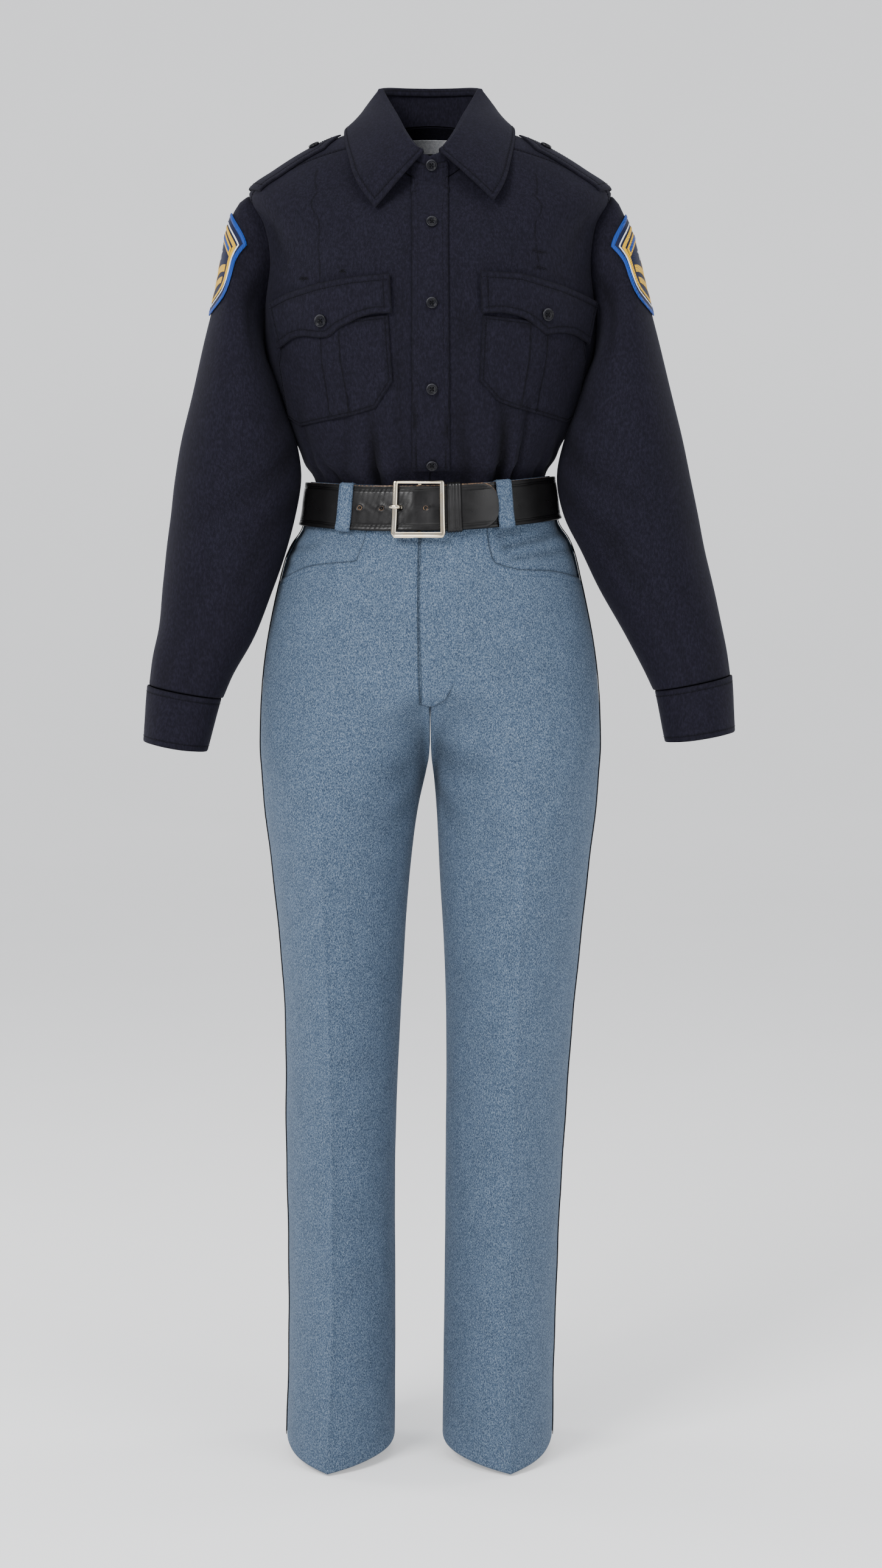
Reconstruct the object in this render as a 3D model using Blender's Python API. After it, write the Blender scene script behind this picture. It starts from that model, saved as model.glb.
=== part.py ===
"""Police uniform: long-sleeve shirt tucked into creased trousers, with a leather belt.

Metres, +Z up, the wearer's left towards +X and the wearer's front towards -Y. The origin is the
middle of the neck base. Every cloth piece is a thin wall laid over a smooth surface, which a short
table of sections describes; a table's lengths are in millimetres and its angles in degrees.
"""

import math

import bmesh
import bpy
import numpy as np
from mathutils.geometry import delaunay_2d_cdt

MM = 0.001
CLOTH = 1.6 * MM            # wall of a single cloth panel
SEAM = 0.3 * MM             # each panel's edge stands this far back from its seam line
LAY = 0.5 * MM              # air between a panel and what lies on it
GRID = 34 * MM              # triangle size on the large panels
LEG_GRID = 42 * MM
FINE = 16 * MM              # triangle size on the small pieces
TINY = 1e-6

GIRTH_RADIUS = 0.151        # turns an angle round the body into a length along the cloth
SIDE = GIRTH_RADIUS * math.pi / 2
LEG_QUARTER = 0.12          # length along the cloth of a quarter of a trouser leg
ARMHOLE_STEPS = 18          # seam points round an armhole and a sleeve
YOKE_FRONT_STEP = 2         # armhole point where the yoke's front seam ends
YOKE_BACK_STEP = 15         # armhole point where the yoke's back seam ends

BUTTON = 11.5 * MM
FLAP_BUTTON = 13.0 * MM
PLACKET_WIDTH = 38 * MM
BELT_WIDTH = 44.5 * MM
BELT_THICK = 3.8 * MM
BELT_CLEAR = 1.5 * MM       # room behind the belt for the keeper's back
BELT_GAP = 0.4 * MM
BELT_RADIUS = 0.118         # turns an angle round the belt into a length along it

BODY_ROUND = 2.25           # roundness of body rings: 2 is an ellipse, more is squarer
WAIST_TILT = 0.025          # how much higher the waist is towards the wearer's left
TILT_TOP = -0.27            # the tilt fades out from the belt up to this height
TILT_FADE = 0.05

TORSO_COLUMNS = ("side_x", "side_z", "front_y", "front_z", "back_y", "back_z")
TORSO_ROWS = (
    (116.0, -386, -91, -386, 85, -386),      # shirt tail inside the waistband
    (115.0, -340, -90.5, -340, 84.5, -340),
    (115.5, -331, -92, -331, 86, -331),
    (122.0, -321, -99.5, -321, 92, -321),    # cloth bloused over the waistband
    (126.5, -306, -108, -306, 98, -306),
    (130.5, -288, -115, -288, 101, -288),
    (149.0, -246, -121, -246, 106, -246),
    (158.5, -207, -127, -210, 111, -205),
    (165.5, -160, -130, -168, 116, -155),
    (164.0, -112, -125, -125, 117, -98),
    (168.0, -76, -115, -95, 109, -52),
    (171.0, -49, -107, -76, 97, -20),        # shoulder points
    (151.0, -27, -99, -63, 86, -1),
    (116.0, -2, -92, -53, 76, 14),
    (80.0, 13, -87, -45, 66, 24),
    (61.0, 17, -84, -40, 60, 29),            # neckline
)

TUCK_ROWS = 5               # rows of the torso's table that lie at and just over the waist
SHOULDER_ROW = 11
NECK_ROW = 14
ARMHOLE_HALF_WIDTH = 41 * MM
ARMHOLE_EGG = 0.45          # how much wider the armhole is above its middle than below
ARMHOLE_ROUND = 2.9         # 2 is an ellipse, more is squarer
ARMHOLE_FRONT_SHARE = 0.93
SLEEVE_REACH = 0.97         # share of the armhole's size at which the sleeve starts
SLEEVE_SPLIT = 0.7 * MM     # each half of a sleeve stands this far back from the line between them
UNDERARM_Z = -0.205

SLEEVE_COLUMNS = ("inner_x", "inner_z", "outer_x", "outer_z", "depth", "centre_y")
SLEEVE_ROWS = {
    "right": (
        (163, -205, 171, -48, 40, 4),
        (164.5, -207, 182, -54, 46, 4),
        (165.5, -210, 193, -69, 52, 4),
        (166, -213, 203, -92, 58, 4),
        (163, -219, 212, -138, 63, 3),
        (157, -231, 227, -197, 66, 2),
        (146, -262, 239, -250, 67, 0),
        (132.5, -298, 250, -296, 66, -2),
        (130.5, -332, 257, -333, 64, -4),
        (138, -370, 261, -366, 62, -8),
        (146, -405, 266, -400, 60, -13),
        (158, -440, 269, -432, 57, -19),
        (178, -490, 273, -478, 51, -28),
        (198, -526, 279, -510, 46, -36),
        (208, -549, 282, -535, 43, -41),
    ),
    "left": (
        (163, -205, 171, -48, 40, 4),
        (164.5, -207, 182, -54, 46, 4),
        (165.5, -210, 193, -69, 52, 4),
        (166, -213, 204, -92, 58, 4),
        (163, -219, 214, -138, 63, 3),
        (157, -231, 230, -197, 66, 2),
        (146, -262, 243, -250, 67, 0),
        (132.5, -296, 254, -296, 66, -2),
        (130.5, -330, 262, -331, 64, -4),
        (140, -368, 269, -364, 62, -8),
        (153, -404, 276, -397, 60, -13),
        (170, -440, 283, -428, 57, -19),
        (197, -487, 292, -470, 51, -28),
        (214, -520, 298, -503, 46, -36),
        (224, -541, 301, -525, 43, -41),
    ),
}
CUFF_ROWS = {
    "right": (
        (209.5, -549.5, 284, -535.5, 44, -41),
        (223, -601, 287, -590, 43, -59),
    ),
    "left": (
        (225.5, -541.5, 303, -525.5, 44, -41),
        (235, -592, 305, -581, 43, -59),
    ),
}

LEG_COLUMNS = (
    "z", "inner_x", "outer_x", "crease_x", "front_y", "back_y", "sharp", "split",
)
LEG_ROWS = {
    "right": (
        (-387, 0.5, 130.3, 90, -103, 97, 90, 0),
        (-399, 0.5, 139, 95, -106, 103, 90, 0),
        (-436, 0.5, 152, 100, -110, 112, 90, 0),
        (-473, 0.5, 161, 103, -112, 118, 90, 0),
        (-510, 0.5, 167, 105, -113, 120, 90, 0),
        (-547, 1.0, 171, 107, -114, 118, 89, 0.06),
        (-584, 2.0, 172, 107, -114, 114, 87, 0.4),
        (-621, 5.5, 171, 107, -113, 107, 84, 0.86),
        (-660, 12, 168, 107, -112, 100, 79, 1),
        (-721, 20, 161, 107, -110, 94, 72, 1),
        (-834, 28, 150, 102, -106, 86, 65, 1),
        (-1023, 36, 147, 98, -102, 80, 60, 1),
        (-1180, 36, 145, 99, -101, 84, 60, 1),
        (-1340, 37, 149, 104, -103, 92, 60, 1),
    ),
    "left": (
        (-387, 0.5, 130.3, 84, -103, 97, 90, 0),
        (-399, 0.5, 139, 88, -106, 103, 90, 0),
        (-436, 0.5, 152, 92, -110, 112, 90, 0),
        (-473, 0.5, 161, 95, -112, 118, 90, 0),
        (-510, 0.5, 167, 97, -113, 120, 90, 0),
        (-547, 1.0, 171, 97, -114, 118, 89, 0.06),
        (-584, 2.0, 172, 97, -114, 114, 87, 0.4),
        (-621, 3.5, 171, 96, -113, 107, 84, 0.86),
        (-660, 6, 168, 95, -112, 100, 79, 1),
        (-721, 9, 161, 93, -110, 94, 72, 1),
        (-834, 15, 149, 88, -106, 86, 65, 1),
        (-1023, 15.5, 135, 82, -102, 80, 60, 1),
        (-1180, 14, 128, 81, -101, 84, 60, 1),
        (-1340, 12, 125, 81, -103, 92, 60, 1),
    ),
}
HEM_Z = -1.313
HEM_DROP = 14 * MM          # how much lower the hem is at its creases than at its seams

WAIST_COLUMNS = ("side_x", "z", "front_y", "back_y")
WAIST_ROWS = (
    (120.5, -333.5, -97.2, 90.5),
    (123.0, -352, -99.5, 92.0),
    (126.5, -376, -101.8, 94.5),
    (130.0, -387, -103.0, 97.0),
)

FOLD_LINE_COLUMNS = ("angle", "z")
FOLD_LINE_ROWS = (
    (0, -15), (22, -10), (45, 8), (65, 26), (90, 44), (120, 57), (150, 62), (180, 62),
)
FOLD_LINE_HALF_WIDTH = 58.5 * MM
FOLD_LINE_FRONT = 86 * MM
FOLD_LINE_BACK = 64 * MM

COLLAR_COLUMNS = ("angle", "edge_x", "edge_y", "edge_z")
COLLAR_ROWS = (
    (9, 62, -106, -61),
    (26, 72, -93, -43),
    (48, 79, -63, -15),
    (85, 83, -6, 15),
    (125, 70, 46, 15),
    (180, 0, 77, 18),
    (235, -70, 46, 15),
    (275, -84, -6, 15),
    (312, -79, -63, -15),
    (336, -70, -93, -43),
    (354, -53, -105, -68),
)
COLLAR_RADIUS = 0.066       # turns an angle round the collar into a length along it
COLLAR_DEPTH = 56 * MM      # length across the fall that the panel's outline uses

FOLD_COLUMNS = ("x", "top_z", "bottom_z", "half_width", "depth")
FOLD_ROWS = {               # the creases in which each front gathers over the belt
    "right": ((-57, -258, -336, 12, 6),),
    "left": ((80, -250, -336, 13, 6),),
}

NECK_SEAM = 0.135           # length round the neckline at which the yoke's front seam ends

PATCH_WIDTH = 88 * MM
PATCH_HEIGHT = 100 * MM
PATCH_DOWN = 34 * MM        # from the top of the sleeve to the patch's top edge
PATCH_TURN = 8              # degrees from the sleeve's outer line to the patch's middle
PATCH_PROFILE = ((0.0, 0.0), (1.0, 0.0), (1.0, 0.42), (0.86, 0.62), (0.5, 0.86), (0.0, 1.0))

FRONT_BUTTON_COLUMNS = ("z", "seat")    # seat: lift over the band, which bends between its points
FRONT_BUTTON_ROWS = ((-83, 0.0), (-161, 0.3), (-243, 0.9), (-316, 0.0))
PLACKET_TOP = -43
PLACKET_BOTTOM = -323

POCKET_LIFT = 1.3 * MM
POCKET_THICK = 1.0 * MM
FLAP_LIFT = 4.4 * MM
FLAP_THICK = 1.6 * MM
PLEAT_RISE = 1.5 * MM

POCKETS = {
    "right": {
        "pocket": ((-40, -172), (-36, -236), (-53, -262), (-74, -268), (-128, -278),
                   (-141, -268), (-149, -215), (-146, -182)),
        "flap": ((-155, -157), (-136, -149), (-107, -141), (-77, -136), (-38, -133),
                 (-36, -171), (-52, -171), (-70, -176), (-86, -184), (-98, -193),
                 (-121, -191), (-132, -193), (-148, -202)),
        "button": (-103, -177),
        "pleat": (-104, -87, -96, -76),
    },
    "left": {
        "pocket": ((51, -172), (48, -235), (66, -255), (83, -261), (134, -274),
                   (147, -263), (154, -212), (151, -182)),
        "flap": ((48, -130), (88, -132), (126, -142), (162, -155), (154, -197),
                 (139, -189), (122, -188), (111, -190), (97, -179), (85, -173),
                 (68, -170), (49, -171)),
        "button": (111, -171),
        "pleat": (96, 113, 86, 102),
    },
}

STRAP_HALF_WIDTH = (26, 19)     # at the sleeve seam and near the collar
STRAP_POINT = 15                # length of the strap's pointed end
STRAP_FORWARD = 14              # how far the strap lies in front of the shoulder ridge
STRAP_GAP = 9 * MM              # from the strap's point to the neck seam

LABEL_SIZE = (46, 14)

POCKET_OPENING = ((60, -387), (62, -409), (72, -416), (90, -421), (122, -424), (143, -430))
FLY_OUTLINE = (
    (-9, -390), (-11, -460), (-10, -520), (-9, -551), (4, -554), (16, -547), (24, -530),
    (28, -500), (28, -390),
)
BRAID_WIDTH = 16 * MM

BELT_MIDDLE_Z = -0.3595
BELT_LAYER = BELT_THICK + BELT_GAP
BELT_RAMP = (-62, -20)      # x at which the outer end of the strap starts and ends its rise
BELT_TIP_X = 67
BELT_START_X = -6
KEEPER_X = (16, 30)
LOOPS = {
    "right": -81, "left": 74,
}
LOOP_WIDTH = 15 * MM
LOOP_BACK_TURNS = {"side_right": 232, "side_left": 128, "back": 180}

BUCKLE_X = (-35, 14)
BUCKLE_HEIGHT = 56 * MM
BUCKLE_BAR = 6 * MM
BUCKLE_THICK = 3.6 * MM
BUCKLE_CORNER = 7 * MM
BUCKLE_RISE = 0.4 * MM

SHIRT = ("shirt cloth", (0.018, 0.019, 0.030), 0.85, 0.0)
TROUSER = ("trouser cloth", (0.155, 0.205, 0.275), 0.90, 0.0)
STRIPE = ("braid", (0.008, 0.008, 0.010), 0.70, 0.0)
LEATHER = ("leather", (0.010, 0.010, 0.010), 0.38, 0.0)
NICKEL = ("nickel", (0.66, 0.63, 0.57), 0.22, 1.0)
RESIN = ("button resin", (0.012, 0.012, 0.016), 0.35, 0.0)
BADGE = ("patch thread", (0.10, 0.17, 0.42), 0.75, 0.0)
LABEL = ("label tape", (0.75, 0.76, 0.78), 0.80, 0.0)


class Sections:
    """Named columns that are read smoothly between a table's rows."""

    def __init__(self, columns, rows, knots, scale=MM):
        self.columns = columns
        self.values = np.array(rows, dtype=float) * scale
        self.knots = np.asarray(knots, dtype=float)
        gaps = np.diff(self.knots)[:, None]
        slopes = np.diff(self.values, axis=0) / gaps
        inner = (slopes[:-1] * gaps[1:] + slopes[1:] * gaps[:-1]) / (gaps[1:] + gaps[:-1])
        self.tangents = np.vstack((slopes[:1], inner, slopes[-1:]))

    def at(self, t):
        """All columns at the places t, each an array like t."""
        t = np.clip(np.asarray(t, dtype=float), self.knots[0], self.knots[-1])
        low = np.clip(np.searchsorted(self.knots, t, side="right") - 1, 0, len(self.knots) - 2)
        width = self.knots[low + 1] - self.knots[low]
        s = (t - self.knots[low]) / width
        s, width = s[..., None], width[..., None]
        value = (
            (2 * s**3 - 3 * s**2 + 1) * self.values[low]
            + (s**3 - 2 * s**2 + s) * width * self.tangents[low]
            + (3 * s**2 - 2 * s**3) * self.values[low + 1]
            + (s**3 - s**2) * width * self.tangents[low + 1]
        )
        return [value[..., i] for i in range(len(self.columns))]


def path_knots(rows, *pairs):
    """Running length down a table, averaged over paths given as pairs of its column numbers."""
    table = np.array(rows, dtype=float) * MM
    steps = [np.hypot(*(np.diff(table[:, c]) for c in pair)) for pair in pairs]
    return np.concatenate(([0.0], np.cumsum(np.mean(steps, axis=0))))


def unit(vectors):
    return vectors / np.maximum(np.linalg.norm(vectors, axis=-1, keepdims=True), TINY)


def ring_factor(sine, cosine, power):
    return (np.abs(sine) ** power + np.abs(cosine) ** power) ** (-1 / power)


def smooth_step(value):
    value = np.clip(value, 0.0, 1.0)
    return value * value * (3 - 2 * value)


class Form:
    """A smooth surface over lengths (a, t), with its outward direction."""

    outward = 1.0
    nudge = 0.5 * MM

    def point(self, a, t):
        raise NotImplementedError

    def normal(self, a, t):
        along = self.point(a + self.nudge, t) - self.point(a - self.nudge, t)
        up = self.point(a, t + self.nudge) - self.point(a, t - self.nudge)
        return unit(np.cross(along, up)) * self.outward

    def lifted(self, a, t, lift):
        a, t = np.asarray(a, dtype=float), np.asarray(t, dtype=float)
        return self.point(a, t) + self.normal(a, t) * np.asarray(lift)[..., None]


class Torso(Form):
    """The shirt's body, from its tail to the neckline; a runs round from centre front to +X."""

    def __init__(self):
        knots = path_knots(TORSO_ROWS, (0, 1), (2, 3))
        self.sections = Sections(TORSO_COLUMNS, TORSO_ROWS, knots)
        self.top = self.sections.knots[-1]

    def point(self, a, t):
        side_x, side_z, front_y, front_z, back_y, back_z = self.sections.at(t)
        sine, cosine = np.sin(a / GIRTH_RADIUS), np.cos(a / GIRTH_RADIUS)
        factor = ring_factor(sine, cosine, BODY_ROUND)
        front = cosine > 0
        x = side_x * sine * factor
        y = np.where(front, front_y, -back_y) * cosine * factor
        middle_z = np.where(front, front_z, back_z)
        z = middle_z + (side_z - middle_z) * (sine * factor) ** 2
        z = z + WAIST_TILT * x * smooth_step((TILT_TOP - z) / TILT_FADE)
        return np.stack((x, y, z), axis=-1)

    def side_place(self, z):
        """The place t at which the side of the body is at the height z."""
        sides = self.sections.values[:, 1]
        return float(np.interp(z, sides, self.sections.knots))

    def front_place(self, x, z):
        """The lengths (a, t) of the front's point that is seen at (x, z)."""
        x, z = np.asarray(x, dtype=float), np.asarray(z, dtype=float)
        low, high = np.zeros_like(z), np.full_like(z, self.top)
        for _ in range(26):
            middle = (low + high) / 2
            side_x, side_z, _, front_z, _, _ = self.sections.at(middle)
            share = np.clip(np.abs(x) / side_x, 0, 1)
            under = front_z + (side_z - front_z) * share**2 < z
            low, high = np.where(under, middle, low), np.where(under, high, middle)
        side_x = self.sections.at(low)[0]
        share = np.clip(x / side_x, -0.9999, 0.9999)
        depth = (1 - np.abs(share) ** BODY_ROUND) ** (1 / BODY_ROUND)
        return np.arctan2(share, depth) * GIRTH_RADIUS, low


class ShoulderTop(Form):
    """The torso's shoulder, over (t, y): t runs up the ridge and y to the back."""

    def __init__(self, torso, side):
        self.torso = torso
        self.side = side
        self.outward = -side

    def point(self, a, t):
        _, _, front_y, _, back_y, _ = self.torso.sections.at(a)
        depth = np.where(t < 0, -front_y, back_y)
        share = np.clip(np.abs(t) / depth, 0, 0.95)
        across = (1 - share**BODY_ROUND) ** (1 / BODY_ROUND)
        angle = np.arctan2(across, np.where(t < 0, share, -share))
        return self.torso.point(self.side * angle * GIRTH_RADIUS, a)


class Sleeve(Form):
    """A sleeve's tube; a runs round from its outer line to the front, t down from the armhole."""

    def __init__(self, torso, side, rows, from_armhole):
        self.torso = torso
        self.side = side
        self.outward = side
        self.from_armhole = from_armhole
        knots = path_knots(rows, (0, 1), (2, 3))
        self.sections = Sections(SLEEVE_COLUMNS, rows, knots)
        self.length = self.sections.knots[-1]
        self.blend_length = self.sections.knots[3] if from_armhole else 1.0
        self.around = 0.060

    def tube(self, a, t):
        inner_x, inner_z, outer_x, outer_z, depth, centre_y = self.sections.at(t)
        sine, cosine = np.sin(a / self.around), np.cos(a / self.around)
        factor = ring_factor(sine, cosine, 2.1)
        across = cosine * factor / 2
        x = (inner_x + outer_x) / 2 + (outer_x - inner_x) * across
        z = (inner_z + outer_z) / 2 + (outer_z - inner_z) * across
        y = centre_y - depth * sine * factor
        return np.stack((x * self.side, y, z), axis=-1)

    def armhole_share(self, t):
        return 1 - smooth_step(t / self.blend_length)

    def point(self, a, t):
        place = self.tube(a, t)
        if not self.from_armhole:
            return place
        seam = armhole_lengths(self.torso, a / self.around, self.side, SLEEVE_REACH)
        share = self.armhole_share(t)[..., None]
        rim = self.torso.point(*seam)
        start = self.tube(a, np.zeros_like(t))
        return place + (rim - start) * share

    def lifted(self, a, t, lift):
        a, t = np.asarray(a, dtype=float), np.asarray(t, dtype=float)
        direction = self.normal(a, t)
        if self.from_armhole:
            seam = armhole_lengths(self.torso, a / self.around, self.side, SLEEVE_REACH)
            share = self.armhole_share(t * 3)[..., None]
            direction = unit(direction * (1 - share) + self.torso.normal(*seam) * share)
        return self.point(a, t) + direction * np.asarray(lift)[..., None]


def armhole_lengths(torso, angle, side, reach=1.0):
    """Lengths (a, t) on the torso of the armhole's point at an angle from its top to the front."""
    low, high = torso.side_place(UNDERARM_Z), torso.side_place(TORSO_ROWS[SHOULDER_ROW][1] * MM)
    factor = ring_factor(np.sin(angle), np.cos(angle), ARMHOLE_ROUND)
    sine, cosine = np.sin(angle) * factor, np.cos(angle) * factor
    width = ARMHOLE_HALF_WIDTH * (1 + ARMHOLE_EGG * cosine) * reach
    width = width * np.where(sine > 0, ARMHOLE_FRONT_SHARE, 1.0)
    a = SIDE - width * sine
    t = (low + high) / 2 + (high - low) / 2 * cosine * reach
    return a * side, t


class Legs(Form):
    """One trouser leg and its half of the hips.

    a counts quarters round the leg: from the inner line over the front crease, the outer seam
    and the back crease to the inner line again. t is the height z.
    """

    def __init__(self, side, rows):
        self.side = side
        self.outward = side
        ordered = rows[::-1]
        knots = np.array([row[0] for row in ordered]) * MM
        self.sections = Sections(LEG_COLUMNS, ordered, knots, scale=1.0)

    def point(self, a, t):
        _, inner, outer, crease, front, back, sharp, split = self.sections.at(t)
        inner, outer, crease, front, back = (v * MM for v in (inner, outer, crease, front, back))
        quarter = np.clip(a / LEG_QUARTER, 0, 4)
        turn = quarter * math.pi / 4
        factor = ring_factor(np.sin(turn), np.cos(turn), BODY_ROUND)
        hip_x = np.maximum(outer * np.sin(turn) * factor, inner)
        hip_y = np.where(quarter < 2, front, -back) * np.cos(turn) * factor
        edge = np.where((quarter < 1) | (quarter > 3), inner, outer)
        depth = np.where(quarter < 2, front, back)
        swing = 1 - np.abs((quarter % 2) - 1)
        limit = np.radians(sharp)
        leg_x = edge + (crease - edge) * (1 - np.cos(limit * swing)) / (1 - np.cos(limit))
        leg_y = depth * np.sin(limit * swing) / np.sin(limit)
        share = np.clip(split, 0, 1)
        x = hip_x * (1 - share) + leg_x * share
        y = hip_y * (1 - share) + leg_y * share
        tilt = WAIST_TILT * np.clip((t + 0.45) / 0.07, 0, 1)
        return np.stack((x * self.side, y, t + tilt * x * self.side), axis=-1)

    def front_place(self, x, z):
        """Lengths (a, t) on the hips of the front's point that is seen at (x, z)."""
        x, z = np.asarray(x, dtype=float), np.asarray(z, dtype=float)
        outer = self.sections.at(z)[2] * MM
        share = np.clip(np.abs(x) / outer, 0, 0.9999)
        depth = (1 - share**BODY_ROUND) ** (1 / BODY_ROUND)
        return np.arctan2(share, depth) * 4 / math.pi * LEG_QUARTER, z

    def hem(self, a):
        """Height of the hem round the leg."""
        swing = 1 - np.abs((np.asarray(a) / LEG_QUARTER % 2) - 1)
        return HEM_Z - HEM_DROP * swing


class Hips(Form):
    """Both halves of the hips' front, over (x, z); x may cross the middle."""

    def __init__(self, right, left):
        self.right = right
        self.left = left

    def point(self, a, t):
        at_left = self.left.point(*self.left.front_place(a, t))
        at_right = self.right.point(*self.right.front_place(a, t))
        place = np.where((np.asarray(a) >= 0)[..., None], at_left, at_right)
        place[..., 0] = a
        return place


class Waist(Form):
    """The waistband's ring, over a length round it from centre front to +X, and the height."""

    def __init__(self):
        ordered = WAIST_ROWS[::-1]
        knots = np.array([row[1] for row in ordered]) * MM
        self.sections = Sections(WAIST_COLUMNS, ordered, knots)

    def point(self, a, t):
        side_x, _, front_y, back_y = self.sections.at(t)
        sine, cosine = np.sin(a / BELT_RADIUS), np.cos(a / BELT_RADIUS)
        factor = ring_factor(sine, cosine, BODY_ROUND)
        x = side_x * sine * factor
        y = np.where(cosine > 0, front_y, -back_y) * cosine * factor
        return np.stack((x, y, t + WAIST_TILT * x), axis=-1)

    def length_at(self, x):
        """Length round the front at which the ring is at x."""
        side_x = self.sections.at(np.array(-0.359))[0]
        share = x / float(side_x)
        depth = (1 - abs(share) ** BODY_ROUND) ** (1 / BODY_ROUND)
        return math.atan2(share, depth) * BELT_RADIUS


def fold_line(angle):
    """The collar's top edge, where the fall turns over the stand, round from centre front."""
    around = np.degrees(np.abs((angle + math.pi) % (2 * math.pi) - math.pi))
    rows = FOLD_LINE_ROWS
    heights = Sections(FOLD_LINE_COLUMNS, rows, [row[0] for row in rows])
    sine, cosine = np.sin(angle), np.cos(angle)
    factor = ring_factor(sine, cosine, 2.2)
    x = FOLD_LINE_HALF_WIDTH * sine * factor
    y = np.where(cosine > 0, -FOLD_LINE_FRONT, -FOLD_LINE_BACK) * cosine * factor
    return np.stack((x, y, heights.at(around)[1]), axis=-1)


class CollarStand(Form):
    """The band inside the collar; a runs round and t up from the neckline to the fold line."""

    height = 30 * MM

    def __init__(self, torso):
        self.torso = torso

    def point(self, a, t):
        angle = a / COLLAR_RADIUS
        low = self.torso.point(angle * GIRTH_RADIUS, np.full_like(angle, self.torso.top))
        share = (t / self.height)[..., None]
        return low * (1 - share) + fold_line(angle) * share


class CollarFall(Form):
    """The collar's leaf; a runs round and t down from the fold line to the leaf's edge."""

    outward = -1.0
    roll = 3.5 * MM

    def __init__(self):
        rows = COLLAR_ROWS
        self.edge = Sections(COLLAR_COLUMNS, rows, np.radians([row[0] for row in rows]))
        self.first, self.last = self.edge.knots[0], self.edge.knots[-1]

    def point(self, a, t):
        angle = a / COLLAR_RADIUS
        _, edge_x, edge_y, edge_z = self.edge.at(angle)
        top = fold_line(angle)
        outward = unit(top * np.array((1.0, 1.0, 0.0)))
        share = (t / COLLAR_DEPTH)[..., None]
        bulge = np.sin(np.clip(share, 0, 1) * math.pi) * self.roll + 1.2 * MM
        edge = np.stack((edge_x, edge_y, edge_z), axis=-1)
        return top * (1 - share) + edge * share + outward * bulge


def material(finish):
    name, colour, roughness, metallic = finish
    found = bpy.data.materials.get(name) or bpy.data.materials.new(name)
    found.use_nodes = True
    shader = found.node_tree.nodes["Principled BSDF"]
    shader.inputs["Base Color"].default_value = (*colour, 1.0)
    shader.inputs["Roughness"].default_value = roughness
    shader.inputs["Metallic"].default_value = metallic
    return found


def add_object(name, points, faces, finish, smooth=True):
    """A closed mesh object whose faces are turned outwards."""
    mesh = bpy.data.meshes.new(name)
    mesh.from_pydata([tuple(float(c) for c in p) for p in points], [], faces)
    build = bmesh.new()
    build.from_mesh(mesh)
    bmesh.ops.recalc_face_normals(build, faces=build.faces)
    build.to_mesh(mesh)
    build.free()
    if smooth:
        mesh.shade_smooth()
        mesh.set_sharp_from_angle(angle=math.radians(40))
    mesh.materials.append(material(finish))
    made = bpy.data.objects.new(name, mesh)
    bpy.context.scene.collection.objects.link(made)
    return made


def spaced(outline, step):
    """The outline with points added so that none of its edges is longer than step."""
    points = []
    for start, end in zip(outline, outline[1:] + outline[:1]):
        start, end = np.array(start, dtype=float), np.array(end, dtype=float)
        parts = max(1, math.ceil(np.linalg.norm(end - start) / step - 0.05))
        points += [start + (end - start) * i / parts for i in range(parts)]
    return points


def inset(points, distance):
    """The outline moved inwards by a distance."""
    points = np.array(points)
    after, before = np.roll(points, -1, axis=0), np.roll(points, 1, axis=0)
    area = np.sum(points[:, 0] * after[:, 1] - after[:, 0] * points[:, 1])
    turn = 1.0 if area > 0 else -1.0
    ahead, behind = unit(after - points), unit(points - before)
    left_ahead = np.stack((-ahead[:, 1], ahead[:, 0]), axis=1) * turn
    left_behind = np.stack((-behind[:, 1], behind[:, 0]), axis=1) * turn
    middle = left_ahead + left_behind
    scale = 2 / np.maximum(np.sum(middle * middle, axis=1, keepdims=True), 0.4)
    return points + middle * scale * distance


def inside(points, outline):
    """Which points lie inside the outline."""
    x, y = points[:, 0], points[:, 1]
    found = np.zeros(len(points), dtype=bool)
    after = np.roll(outline, -1, axis=0)
    for (x1, y1), (x2, y2) in zip(outline, after):
        if y1 == y2:
            continue
        crosses = ((y1 > y) != (y2 > y)) & (x < (x2 - x1) * (y - y1) / (y2 - y1) + x1)
        found ^= crosses
    return found


def distance_to(points, outline):
    """Distance of each point from the nearest edge of the outline."""
    nearest = np.full(len(points), np.inf)
    for start, end in zip(outline, np.roll(outline, -1, axis=0)):
        run = end - start
        share = np.clip((points - start) @ run / max(run @ run, TINY**2), 0, 1)
        nearest = np.minimum(nearest, np.linalg.norm(points - start - share[:, None] * run, axis=1))
    return nearest


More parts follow.
